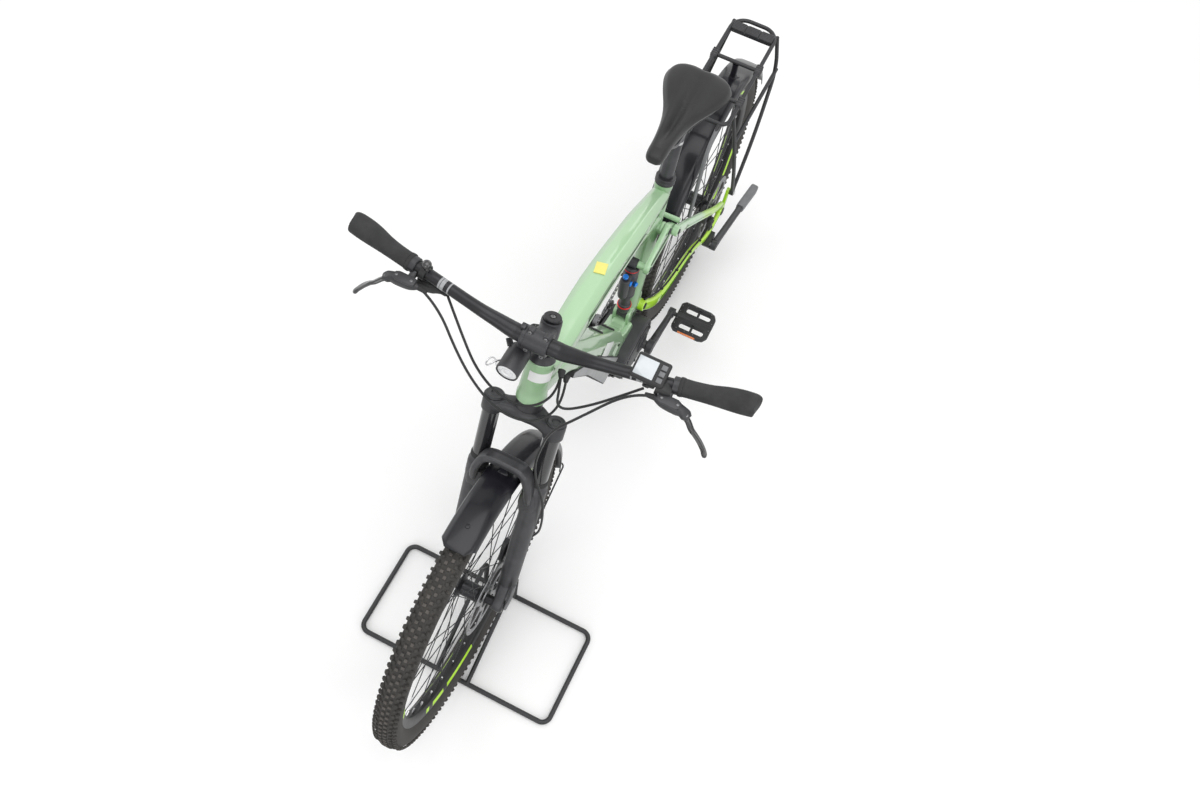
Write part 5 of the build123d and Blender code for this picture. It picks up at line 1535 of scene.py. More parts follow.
done(joined("front_caliper", *caliper), "front_end", satin_black, ("front_brake",), 32)
rear = []
for start, end in ((0.042, 0.0544), (0.0596, 0.0698)):
    middle = (start + end) / 2
    rear.append(formed_tube("rear_caliper_half", [
        (rear_axle + Vector((0.044, middle, 0.044)), 0.018, end - start, 0.003),
        (rear_axle + Vector((0.052, middle, 0.044)), 0.026, end - start, 0.004),
        (rear_axle + Vector((0.08, middle, 0.046)), 0.027, end - start, 0.004),
        (rear_axle + Vector((0.089, middle, 0.048)), 0.02, end - start, 0.003),
    ], side=(0, 0, 1), steps=2, corner_steps=3))
rear.append(block("rear_caliper_bridge", rear_axle + Vector((0.092, 0.056, 0.056)), (0.015, 0.027, 0.029),
                  (0, 0, 0), 0.003, 2))
rear.append(block("rear_caliper_mount", rear_axle + Vector((0.074, 0.0762, 0.0245)),
                  (0.019, 0.015, 0.043),
                  (0, 0, 0), 0.003, 2))
rear.append(lathe("rear_piston_cover", [
    (0, 0), (0.0105, 0), (0.011, 0.0006), (0.011, 0.002), (0.0098, 0.0028), (0, 0.0028),
], rear_axle + Vector((0.066, 0.0698, 0.046)), (0, 1, 0), 36))
for spot in ((0.074, 0.0836, 0.012), (0.074, 0.0836, 0.038)):
    rear.append(socket_bolt("rear_caliper_bolt", rear_axle + Vector(spot), (0, 1, 0), 0.0042, 0.0026))
done(joined("rear_caliper", *rear), "frame", satin_black, ("rear_brake",), 32)
print("calipers done")

# %% [markdown]
# The cockpit: a short stem, a bar that swells to its clamp, and rubber grips whose outer half
# spreads into a palm rest. The bar and grips are bridged frames with round corners, so that
# their width and height may differ along the way.

# %% Stem
stem_parts = [
    lathe("steerer_clamp", [
        (0.0146, -0.02), (0.018, -0.02), (0.0196, -0.0186), (0.02, -0.012), (0.02, 0.012),
        (0.0196, 0.0186), (0.0185, 0.02), (0.0146, 0.02), (0.0146, -0.02),
    ], steer(0, 0, stem_level), steer_up, 56),
    formed_tube("stem_neck", [
        (steer(0.006, 0, stem_level), 0.036, 0.034, 0.012),
        (steer(0.02, 0, stem_level), 0.034, 0.033, 0.012),
        (steer(0.032, 0, stem_level), 0.038, 0.035, 0.012),
        (steer(0.042, 0, stem_level), 0.045, 0.038, 0.012),
    ], side=(0, 1, 0), steps=3, corner_steps=3),
    lathe("bar_clamp", [
        (0.016, 0), (0.0205, 0), (0.0218, 0.0015), (0.0218, 0.0445), (0.0205, 0.046), (0.016, 0.046),
        (0.016, 0),
    ], bar_centre - Vector((0, 0.023, 0)), (0, 1, 0), 56),
]
for side in (-1, 1):
    for up in (-1, 1):
        base = bar_centre + Vector((0, side * 0.0155, 0)) + steer_up * (up * 0.019)
        stem_parts.append(formed_tube("face_plate_lug", [
            (base - steer_forward * 0.004, 0.013, 0.011, 0.004),
            (base + steer_forward * 0.012, 0.012, 0.01, 0.004),
        ], side=(0, 1, 0), steps=1, corner_steps=3))
done(joined("stem_skin", *stem_parts), "front_end", satin_black, ("stem",), 35)
stem_bolts = []
for side in (-1, 1):
    for up in (-1, 1):
        base = bar_centre + Vector((0, side * 0.0155, 0)) + steer_up * (up * 0.019)
        stem_bolts.append(socket_bolt("face_bolt", base + steer_forward * 0.0115, steer_forward, 0.004,
                                      0.003))
    stem_bolts.append(socket_bolt("pinch_bolt", steer(-0.0165, side * 0.0105, stem_level + 0.01 * side),
                                  (0, side, 0), 0.0042, 0.0034))
cap = lathe("stem_cap", [
    (0, 0), (0.0166, 0), (0.017, 0.0008), (0.017, 0.0052), (0.0158, 0.0068), (0.008, 0.0068),
    (0.0068, 0.0052), (0, 0.0052),
], steer(0, 0, stem_level + 0.02), steer_up, 56)
done(cap, "front_end", black_metal)
stem_bolts.append(socket_bolt("cap_bolt", steer(0, 0, stem_level + 0.0252), steer_up, 0.0046, 0.0018))
done(joined("stem_bolts", *stem_bolts), "front_end", dark_steel)

# %% Handlebar
bar_half, bar_inner = 0.391, 0.112


def bar_point(side_y):
    """The bar's centre at a distance to the left, outside its bends."""
    share = (abs(side_y) - bar_inner) / (bar_half - bar_inner)
    return bar_centre + Vector((0.004 - 0.038 * share, side_y, 0.024 + 0.025 * share))


def along_bar(side, distance_in):
    """A point on the bar, a distance in from its end, and the way outward."""
    end = bar_point(side * bar_half)
    run = (end - bar_point(side * bar_inner)).normalized()
    return end - run * distance_in, run


half_bar = [
    (bar_centre, 0.0159), (bar_centre + Vector((0, 0.034, 0)), 0.0159),
    (bar_centre + Vector((0.0002, 0.05, 0.0012)), 0.0155),
    (bar_centre + Vector((0.002, 0.08, 0.0125)), 0.0136),
    (bar_centre + Vector((0.0036, 0.106, 0.022)), 0.0121), (bar_point(0.135), 0.0113),
    (bar_point(0.17), 0.0111), (bar_point(0.28), 0.0111), (bar_point(bar_half), 0.0111),
]
rows = [(place + Vector((0, -2 * (place.y - bar_centre.y), 0)), radius) for place,
        radius in reversed(half_bar[1:])]
rows += half_bar
handlebar = formed_tube("handlebar_skin", [
    (place, 2 * radius, 2 * radius, 0.98 * radius) for place, radius in rows
], side=(1, 0, 0), steps=4, corner_steps=6)
done(handlebar, "front_end", black_metal, ("handlebar",), 40)
bands = []
for side in (-1, 1):
    for distance, width in ((0.198, 0.004), (0.206, 0.007), (0.217, 0.003)):
        place, run = along_bar(side, distance)
        bands.append(ring("bar_band", place, run, 0.01125, 0.0108, width, 0.0001, 48))
print_grey = Paint("grey_print", (0.36, 0.37, 0.38), 0.4)
print_grey.set("Base Color", wear(print_grey, (0.4, 0.41, 0.42), (0.2, 0.2, 0.21), 180.0, 0.7))
done(joined("bar_bands", *bands), "front_end", print_grey)

# %% Grips
grip_rubber = Paint("grip_rubber", (0.022, 0.022, 0.023), 0.82)
grip_rubber.set("Base Color", wear(grip_rubber, (0.02, 0.02, 0.021), (0.06, 0.06, 0.062), 40.0, 0.5))
grip_rubber.bump(grip_rubber.cells(560.0), 0.0004, 0.9)
grip_rubber.bump(grip_rubber.noise(900.0), 0.0002, 0.6)
for side, name in ((1, "left"), (-1, "right")):
    rows = []
    for distance, width, height, back in (
        (0.132, 0.029, 0.029, 0), (0.1312, 0.0335, 0.0335, 0), (0.124, 0.0335, 0.0335, 0),
        (0.1225, 0.0315, 0.0315, 0), (0.1, 0.0315, 0.0315, 0), (0.074, 0.034, 0.0325, 0.001),
        (0.05, 0.04, 0.033, 0.003), (0.028, 0.0435, 0.033, 0.004), (0.008, 0.043, 0.0325, 0.004),
        (-0.001, 0.0405, 0.03, 0.0035), (-0.0035, 0.034, 0.024, 0.003),
    ):
        place, run = along_bar(side, distance)
        rows.append((place - Vector((back, 0, 0.25 * back)), width, height, 0.46 * height))
    grip = formed_tube(f"grip_{name}_skin", rows, side=(1, 0, 0.1), steps=3, corner_steps=6)
    done(grip, "front_end", grip_rubber, (f"grip_{name}",), 45)
print("bar and grips done")

# %% [markdown]
# Each brake lever has a screwed clamp, a master cylinder with a screwed lid, and a cast blade.
# The blade is bridged frames along a bent line, thin where fingers rest, thicker at its end.

# %% Brake levers
lever_clamp = 0.15


def clamp_band(side, distance, width, outer=0.0158):
    """A clamp ring round the bar with its screw boss."""
    place, run = along_bar(side, distance)
    band = ring("clamp_band", place + run * (width / 2), run, outer, 0.0112, width, 0.0012, 48)
    lug = block("clamp_lug", place + run * (width / 2) + Vector((0.004, 0, -0.0165)),
                (0.01, width * 0.92, 0.01), (0, 0, 0), 0.002, 2)
    screw = socket_bolt("clamp_screw", place + run * (width / 2) + Vector((0.004, 0, -0.0205)),
                        (0, 0, -1),
                        0.0032, 0.0022)
    return [band, lug, screw]


for side, name in ((1, "left"), (-1, "right")):
    clamp = along_bar(side, lever_clamp - 0.007)[0]
    parts = clamp_band(side, lever_clamp, 0.014)

    def at(ahead, out, up):
        """A point from the lever's clamp: ahead, outward and up, in millimetres."""
        return clamp + Vector((ahead, side * out, up)) / 1000

    parts.append(formed_tube("lever_arm", [
        (at(9, 0, -4), 0.015, 0.013, 0.004), (at(20, 1, -7), 0.013, 0.012, 0.004),
        (at(31, 3, -10), 0.02, 0.014, 0.004),
    ], side=(0, 1, 0), steps=3))
    parts.append(formed_tube("master_cylinder", [
        (at(32, -22.3, -10), 0.008, 0.008, 0.0035), (at(32, -18, -10), 0.011, 0.011, 0.005),
        (at(32, -12, -10), 0.015, 0.017, 0.006), (at(32.5, 0, -10.5), 0.02, 0.021, 0.007),
        (at(33, 22, -11), 0.021, 0.021, 0.007), (at(33.5, 34, -12), 0.018, 0.018, 0.006),
        (at(36, 42, -14), 0.02, 0.013, 0.004), (at(38, 48, -16), 0.013, 0.011, 0.004),
    ], side=(1, 0, 0), steps=3, corner_steps=4))
    parts.append(plate("reservoir_lid", [
        (-0.024, -0.0075), (-0.015, -0.0095), (0.012, -0.0095), (0.019, -0.006), (0.019, 0.006),
        (0.012, 0.0095), (-0.015, 0.0095), (-0.024, 0.0075),
    ], 0.0045, at(33, 9, -1.5), (0, 0, radians(90 if side > 0 else -90)), 0.0012, 2))
    done(joined(f"brake_lever_{name}_body", *parts), "front_end", satin_black,
         (f"brake_lever_{name}",), 35)
    blade = formed_tube(f"lever_blade_{name}", [
        (at(37, 40, -16), 0.012, 0.01, 0.004), (at(42, 50, -20), 0.011, 0.009, 0.0035),
        (at(50, 60, -26), 0.0115, 0.008, 0.003), (at(53, 70, -33), 0.012, 0.007, 0.003),
        (at(56, 82, -45), 0.012, 0.0065, 0.0028), (at(60, 92, -57), 0.0115, 0.0065, 0.0028),
        (at(64.5, 97, -63), 0.0105, 0.0075, 0.003), (at(67, 98.5, -66.5), 0.0075, 0.0065, 0.003),
    ], side=(0.1, 0.6, 0.6), steps=3, corner_steps=4)
    done(blade, "front_end", gloss_black)
    small = [
        socket_bolt("lid_screw", at(33, -7, 2.6), (0, 0, 1), 0.0026, 0.001),
        socket_bolt("lid_screw", at(33, 23, 2.6), (0, 0, 1), 0.0026, 0.001),
        socket_bolt("blade_pin", at(38, 43, -9.5), (0, 0, 1), 0.0036, 0.0016),
    ]
    done(joined(f"lever_screws_{name}", *small), "front_end", dark_steel)
    boot = lathe(f"hose_boot_{name}", [
        (0.0026, 0), (0.0048, 0), (0.0052, 0.002), (0.0046, 0.01), (0.0036, 0.018), (0.0026, 0.018),
        (0.0026, 0),
    ], at(32, -19, -10), Vector((0.08, -side, -0.06)), 24)
    done(boot, "front_end", soft_rubber)

# %% Shifter and bell
clamp = along_bar(-1, lever_clamp + 0.016)[0]


def by_shifter(ahead, left, up):
    """A point from the shifter's clamp, in millimetres."""
    return clamp + Vector((ahead, left, up)) / 1000


parts = clamp_band(-1, lever_clamp + 0.022, 0.012)
parts.append(formed_tube("shifter_arm", [
    (by_shifter(1, 0, -11), 0.014, 0.012, 0.004), (by_shifter(2, 4, -24), 0.016, 0.014, 0.004),
], side=(0, 1, 0), steps=1))
parts.append(formed_tube("shifter_pod", [
    (by_shifter(5, -21, -28), 0.016, 0.014, 0.005), (by_shifter(4, -16, -28), 0.025, 0.022, 0.008),
    (by_shifter(4, 2, -27), 0.027, 0.025, 0.009), (by_shifter(5, 16, -26), 0.022, 0.022, 0.008),
    (by_shifter(7, 25, -25.5), 0.013, 0.013, 0.005), (by_shifter(8, 31, -25), 0.009, 0.009, 0.004),
], side=(1, 0, 0), steps=3, corner_steps=4))
parts.append(formed_tube("thumb_paddle", [
    (by_shifter(2, -6, -38), 0.01, 0.006, 0.0025), (by_shifter(-3, -14, -41), 0.013, 0.006, 0.0025),
    (by_shifter(-6, -19, -40), 0.014, 0.005, 0.002),
], side=(0.7, 0.6, 0), steps=3))
parts.append(lathe("cable_adjuster", [
    (0.0026, 0), (0.0042, 0), (0.0046, 0.0012), (0.0046, 0.0036), (0.0038, 0.0044), (0.0046, 0.0052),
    (0.0046, 0.0086), (0.0036, 0.0105), (0.0026, 0.0105), (0.0026, 0),
], by_shifter(8, 31, -25), Vector((0.1, 0.99, 0.05)), 20))
done(joined("shifter_skin", *parts), "front_end", black_plastic, ("shifter",), 35)
bell = [
    lathe("bell_base",
          [(0, 0), (0.0058, 0), (0.0058, 0.01), (0.0034, 0.014), (0.0034, 0.018), (0, 0.018)],
          by_shifter(0, 0, 9.5), (0, 0, 1), 28),
    lathe("bell_dome", [
        (0, 0), (0.0072, 0), (0.0088, 0.001), (0.009, 0.0026), (0.0084, 0.0056), (0.0064, 0.0082),
        (0.0034, 0.0096), (0, 0.01),
    ], by_shifter(0, 0, 26), (0, 0, 1), 40),
]
done(joined("bell", *bell), "front_end", gloss_black)

# %% Display
clamp = along_bar(1, lever_clamp + 0.037)[0]
tilt = atan2(0.28, 0.96)
parts = clamp_band(1, lever_clamp + 0.044, 0.014, 0.0165)
body = block("display_case", clamp + Vector((-0.0045, 0, 0.0195)), (0.047, 0.062, 0.0115), (0, tilt, 0),
             0.0045, 4)
flute(body, lambda c, n: n.z > 0.9 and abs(c.y - clamp.y) < 0.02, 0.0026, 0.0008)
parts.append(body)
parts.append(formed_tube("switch_block", [
    (clamp + Vector((0.012, 0.019, 0.004)), 0.02, 0.022, 0.006),
    (clamp + Vector((0.011, 0.034, 0.003)), 0.023, 0.025, 0.007),
    (clamp + Vector((0.01, 0.046, 0.002)), 0.018, 0.02, 0.006),
], side=(1, 0, 0), steps=3, corner_steps=3))
done(joined("display_unit_skin", *parts), "front_end", black_plastic, ("display_unit",),
     35)
pale_screen = Paint("pale_display_glass", (0.55, 0.58, 0.6), 0.08)
pale_screen.set("Base Color", wear(pale_screen, (0.5, 0.54, 0.56), (0.66, 0.68, 0.7), 18.0, 0.8))
pale_screen.set("Coat Weight", 1.0)
glass = block("display_screen", clamp + Vector((-0.0045, 0.0, 0.0195)) + Vector((0.28, 0, 0.96)) * 0.0052
              + Vector((0, -0.009, 0)), (0.034, 0.036, 0.0016), (0, tilt, 0), 0.0006, 2)
done(glass, "front_end", pale_screen)
keys_row = []
for index in range(3):
    keys_row.append(block("button",
                          clamp + Vector((-0.0045, 0.0205, 0.0195)) + Vector((0.28, 0, 0.96)) * 0.0056
                          + Vector((0.96, 0, -0.28)) * (0.012 * (index - 1)), (0.009, 0.01, 0.002),
                          (0, tilt, 0), 0.0008, 2))
keys_row.append(block("switch_strip", clamp + Vector((0.0235, 0.034, 0.004)), (0.0016, 0.014, 0.005),
                      (0, 0, 0),
                      0.0006, 2))
done(joined("display_buttons", *keys_row), "front_end", grey_plastic)

# %% Headlight
lamp_rear = bar_centre + Vector((0, -0.031, -0.046))
lamp_way = Vector((0.062, 0, 0.002)).normalized()
lamp = [
    lathe("lamp_shell", [
        (0, 0.0005), (0.012, 0.0005), (0.019, 0.003), (0.0214, 0.008), (0.022, 0.014), (0.0216, 0.0155),
        (0.022, 0.017), (0.022, 0.0595), (0.0214, 0.062), (0.02, 0.062), (0.0196, 0.056), (0, 0.056),
    ], lamp_rear, lamp_way, 64),
    formed_tube("lamp_bracket", [
        (lamp_rear + Vector((0.01, 0, 0.016)), 0.014, 0.014, 0.004),
        (lamp_rear + Vector((0.006, 0, 0.03)), 0.011, 0.012, 0.004),
        (bar_centre + Vector((0, -0.031, -0.014)), 0.012, 0.014, 0.004),
    ], side=(0, 1, 0), steps=3),
    ring("lamp_clamp", bar_centre + Vector((0, -0.031, 0)), (0, 1, 0), 0.0207, 0.0161, 0.01, 0.0012, 56),
    block("lamp_clamp_lug", bar_centre + Vector((-0.004, -0.031, 0.0225)), (0.012, 0.0095, 0.008),
          (0, 0, 0), 0.002, 2),
    formed_tube("lamp_switch", [
        (lamp_rear + Vector((0.012, -0.018, 0.01)), 0.012, 0.008, 0.003),
        (lamp_rear + Vector((0.002, -0.027, 0.014)), 0.012, 0.006, 0.0025),
    ], side=(1, 0, 0), steps=1),
]
done(joined("headlight_skin", *lamp), "front_end", satin_black, ("headlight",), 35)
lens_white = Paint("lamp_lens", (0.86, 0.87, 0.88), 0.05)
lens_white.set("Coat Weight", 1.0)
lens_white.bump(lens_white.cells(300.0), 0.0003, 0.5)
front = lathe("lamp_lens", [
    (0, 0.056), (0.0194, 0.056), (0.0196, 0.059), (0.0186, 0.0604), (0.012, 0.0606), (0.01, 0.0592),
    (0.0062, 0.059), (0.005, 0.0604), (0, 0.061),
], lamp_rear, lamp_way, 64)
done(front, "front_end", lens_white)
loop_centre = lamp_rear + Vector((0.05, -0.034, -0.004))
wire = [bent_tube("lamp_wire", [
    loop_centre + Vector((-0.01, 0.0125, 0.002)), loop_centre + Vector((-0.004, 0.007, 0.006)),
    loop_centre + Vector((0.004, 0.002, 0.007)), loop_centre + Vector((0.011, -0.003, 0.003)),
    loop_centre + Vector((0.01, -0.0095, -0.002)), loop_centre + Vector((0.002, -0.012, -0.004)),
    loop_centre + Vector((-0.006, -0.0095, -0.001)), loop_centre + Vector((-0.009, -0.002, 0.003)),
    loop_centre + Vector((-0.004, 0.005, 0.004)), loop_centre + Vector((0.004, 0.0095, 0.001)),
], 0.0016, 4)]
done(joined("lamp_wire_loop", *wire), "front_end", steel)
print("cockpit done")

# %% [markdown]
# The drivetrain is where a bicycle looks finest. Every toothed wheel is one tooth: its flat
# outline is filled, copied round the axle, welded, and raised to the plate's thickness.
# The closed line that the chain's pins follow also gives each link its place, so that the
# rollers lie between the teeth.

# %% Toothed wheels
chain_y = -0.053
chain_pitch = 0.0127
chainring_teeth, chain_cog_teeth, pulley_teeth = 34, 24, 12


def pitch_radius(teeth):
    """Radius of the chain's pins on a wheel with so many teeth."""
    return chain_pitch / (2 * sin(pi / teeth))


def toothed_wheel(name, teeth, inner, thickness, place):
    """A sprocket about an axle along Y: one tooth, copied round, welded and raised."""
    reach = pitch_radius(teeth)
    turn = 2 * pi / teeth
    profile = [
        (-0.5, inner), (-0.5, reach + 0.0019), (-0.41, reach + 0.0017), (-0.27, reach - 0.0004),
        (-0.13, reach - 0.0036), (0.13, reach - 0.0036), (0.27, reach - 0.0004),
        (0.41, reach + 0.0017), (0.5, reach + 0.0019), (0.5, inner),
    ]
    points = [(radius * cos(share * turn), radius * sin(share * turn), 0) for share, radius in profile]
    obj = outline_mesh(name, points + points[:1])
    bpy.ops.mesh.remove_doubles(threshold=0.00001)
    bpy.ops.mesh.edge_face_add()
    copies(obj, teeth, (0, 0, 0), (0, 0, 1))
    bpy.ops.object.mode_set(mode="EDIT")
    bpy.ops.mesh.select_all(action="SELECT")
    bpy.ops.mesh.remove_doubles(threshold=0.00003)
    bpy.ops.mesh.extrude_region_move(TRANSFORM_OT_translate={"value": (0, 0, thickness)})
    closed_up()
    return put(obj, Vector(place) - Vector((0, thickness / 2, 0)), (0, 1, 0))


def waisted(first, first_radius, second, second_radius, waist, steps=9):
    """Outline round two circles that narrows between them, as (x, z) points."""
    heading = atan2(second[1] - first[1], second[0] - first[0])
    middle = ((first[0] + second[0]) / 2, (first[1] + second[1]) / 2)
    points = []
    for centre, radius, base, side in (
        (first, first_radius, heading + pi, -1), (second, second_radius, heading, 1),
    ):
        for index in range(steps):
            turn = base + radians(-100 + 200 * index / (steps - 1))
            points.append((centre[0] + radius * cos(turn), centre[1] + radius * sin(turn)))
        points.append((middle[0] - side * waist * sin(heading), middle[1] + side * waist * cos(heading)))
    return points


cassette_paint = anodised("cassette_steel", (0.3, 0.3, 0.31), 0.32, 0.95)
cogs = []
for index, teeth in enumerate((51, 45, 39, 33, 28, 24, 21, 18, 15, 13)):
    spot = rear_axle + Vector((0, chain_y + (5 - index) * 0.0044, 0))
    inner = pitch_radius(teeth) - 0.011 if teeth > 24 else 0.016
    cogs.append(toothed_wheel("cog", teeth, inner, 0.0018, spot))
    if teeth > 24:
        arm = side_plate("cog_arm", [
            (0.014, -0.005), (inner * 0.6, -0.005), (inner + 0.002, -0.0105), (inner + 0.002, -0.0035),
            (inner * 0.62, 0.002), (0.014, 0.005),
        ], spot.y - 0.0008, 0.0016, 0.0003, 1)
        arm.location = (rear_axle.x, 0, rear_axle.z)
        settle(arm)
        cogs.append(copies(arm, 6, rear_axle, (0, 1, 0)))
cogs.append(lathe("cassette_core", [
    (0.0112, 0), (0.016, 0), (0.0168, 0.0008), (0.0168, 0.0412), (0.016, 0.042), (0.015, 0.0432),
    (0.0112, 0.0432), (0.0112, 0),
], rear_axle + Vector((0, -0.0305, 0)), (0, -1, 0), 48))
done(joined("cassette_cogs", *cogs), "rear_wheel", cassette_paint, ("cassette",))

# %% Chain
guide_pulley = rear_axle + Vector((-0.004, 0, -0.13))
tension_pulley = guide_pulley + Vector((0.042, 0, -0.084))


def tangent_run(first, first_radius, first_side, second, second_radius, second_side):
    """Ends of the straight run that leaves one wheel and meets the next."""
    heading = atan2(second.z - first.z, second.x - first.x)
    distance = hypot(second.x - first.x, second.z - first.z)
    angle = heading - acos((first_side * first_radius - second_side * second_radius) / distance)
    aside = Vector((cos(angle), 0, sin(angle)))
    return first + aside * first_side * first_radius, second + aside * second_side * second_radius


stops = [
    (bottom_bracket, pitch_radius(chainring_teeth), 1), (rear_axle, pitch_radius(chain_cog_teeth), 1),
    (guide_pulley, pitch_radius(pulley_teeth), -1), (tension_pulley, pitch_radius(pulley_teeth), 1),
]
runs = [tangent_run(*stop, *stops[(index + 1) % 4]) for index, stop in enumerate(stops)]
stretches = []
for index, (centre, radius, side) in enumerate(stops):
    arrive, leave = runs[index - 1][1] - centre, runs[index][0] - centre
    begin = atan2(arrive.z, arrive.x)
    turn = (atan2(leave.z, leave.x) - begin) * side % (2 * pi) * side
    stretches.append((abs(turn) * radius, centre, radius, begin, turn))
    stretches.append(((runs[index][1] - runs[index][0]).length, *runs[index]))
loop_length = sum(stretch[0] for stretch in stretches)
link_count = 2 * round(loop_length / chain_pitch / 2)
link_step = loop_length / link_count


def loop_point(distance):
    """The point at a distance along the chain's closed line."""
    for stretch in stretches:
        if distance <= stretch[0]:
            share = distance / stretch[0]
            if len(stretch) == 3:
                return stretch[1].lerp(stretch[2], share)
            centre, radius, begin, turn = stretch[1:]
            angle = begin + turn * share
            return centre + Vector((cos(angle), 0, sin(angle))) * radius
        distance -= stretch[0]
    return runs[-1][1].copy()


link_pair = []
for start, radius in ((0.0013, 0.004), (0.0022, 0.0042)):
    shape = waisted((0, 0), radius, (link_step, 0), radius, 0.0031)
    sides = [side_plate("link_plate", shape, start, 0.0008, 0),
             side_plate("link_plate", shape, -start - 0.0008, 0.0008, 0)]
    roller = lathe("roller", [(0, 0), (0.0037, 0), (0.0037, 0.0026), (0, 0.0026)],
                   (0, -0.0013, 0), (0, 1, 0), 12)
    rivet = lathe("rivet", [(0, 0), (0.0014, 0), (0.0018, 0.0003), (0.0018, 0.0063), (0.0014, 0.0066),
                            (0, 0.0066)], (0, -0.0033, 0), (0, 1, 0), 10)
    link_pair.append(joined("link", *sides, roller, rivet))
pins = [loop_point(index * link_step) for index in range(link_count)]
links = []
for index, spot in enumerate(pins):
    run = (pins[(index + 1) % link_count] - spot).normalized()
    link = link_pair[index % 2].copy()
    link.data = link_pair[index % 2].data.copy()
    scene.collection.objects.link(link)
    turn = Matrix((run, (0, 1, 0), (-run.z, 0, run.x))).transposed().to_4x4()
    link.data.transform(Matrix.Translation(spot + Vector((0, chain_y, 0))) @ turn)
    links.append(link)
for template in link_pair:
    bpy.data.objects.remove(template)
done(joined("chain_links", *links), "frame", dark_steel, ("chain",))
print("chain of", link_count, "links,", round(loop_length, 3), "m")

# %% [markdown]
# The derailleur hangs from the axle: two toothed pulleys in a cage of two thin plates, a
# spring knuckle, two links that keep the cage upright, and an upper knuckle on the hanger.

# %% Derailleur
gear = []
for pulley in (guide_pulley, tension_pulley):
    gear.append(toothed_wheel("pulley", pulley_teeth, 0.006, 0.0023, pulley + Vector((0, chain_y, 0))))
    gear.append(lathe("pulley_bearing", [
        (0, 0), (0.0045, 0), (0.0065, 0.001), (0.0068, 0.004), (0.0068, 0.008), (0.0065, 0.011),
        (0.0045, 0.012), (0, 0.012),
    ], pulley + Vector((0, chain_y - 0.007, 0)), (0, 1, 0), 24))
    gear.append(socket_bolt("pulley_bolt", pulley + Vector((0, chain_y - 0.0088, 0)), (0, -1, 0),
                            0.005, 0.0022))
for start in (chain_y - 0.009, chain_y + 0.004):
    cage_side = side_plate("cage_side", waisted(
        (guide_pulley.x, guide_pulley.z), 0.014, (tension_pulley.x, tension_pulley.z), 0.013,
        0.0085, 13), start, 0.002, 0.0004, 1)
    flute(cage_side, lambda c, n: abs(n.y) > 0.95, 0.003, 0.0006)
    gear.append(cage_side)
knuckle = rear_axle + Vector((-0.024, 0, -0.078))
for place, start, radius, depth in ((guide_pulley, -0.0615, 0.015, 0.015),
                                    (knuckle, -0.076, 0.013, 0.014)):
    gear.append(lathe("knuckle", [
        (0, 0), (radius - 0.001, 0), (radius, 0.001), (radius, depth * 0.45),
        (radius - 0.0012, depth * 0.5),
        (radius - 0.0012, depth * 0.6), (radius, depth * 0.65), (radius, depth - 0.002),
        (radius - 0.002, depth), (radius * 0.55, depth), (radius * 0.5, depth - 0.001),
        (0, depth - 0.001),
    ], place + Vector((0, start, 0)), (0, -1, 0), 40))
for shift in (-0.0055, 0.0055):
    link_arm = formed_tube("parallel_link", [
        (guide_pulley + Vector((shift - 0.002, -0.07 - shift, 0.004)), 0.006, 0.019, 0.002),
        (guide_pulley.lerp(knuckle, 0.5) + Vector((shift, -0.078 - shift, 0)), 0.0052, 0.0165, 0.002),
        (knuckle + Vector((shift, -0.0835 - shift, -0.004)), 0.006, 0.018, 0.002),
    ], corner_steps=2, steps=3)
    gear.append(link_arm)
gear.append(formed_tube("hanger_arm", [
    (knuckle + Vector((0.002, -0.0825, 0.006)), 0.0085, 0.019, 0.0025),
    (rear_axle + Vector((-0.016, -0.0815, -0.05)), 0.007, 0.014, 0.0025),
    (rear_axle + Vector((-0.012, -0.081, -0.026)), 0.007, 0.015, 0.0025),
], corner_steps=2, steps=3))
gear.append(pin("cable_barrel", knuckle + Vector((-0.012, -0.084, 0.002)),
                knuckle + Vector((-0.026, -0.084, 0.01)), 0.0036, 0.0006, 16))
gear.append(socket_bolt("cable_clamp", knuckle + Vector((0.006, -0.088, -0.016)), (0, -1, 0), 0.0045,
                        0.0025))
done(joined("derailleur_skin", *gear), "frame", black_metal, ("derailleur",))

# %% [markdown]
# Cranks are forged: a bar that narrows to the pedal, with a shallow groove in its outer face
# and round bosses at both ends. The chainring bolts to a spider on the right-hand side.

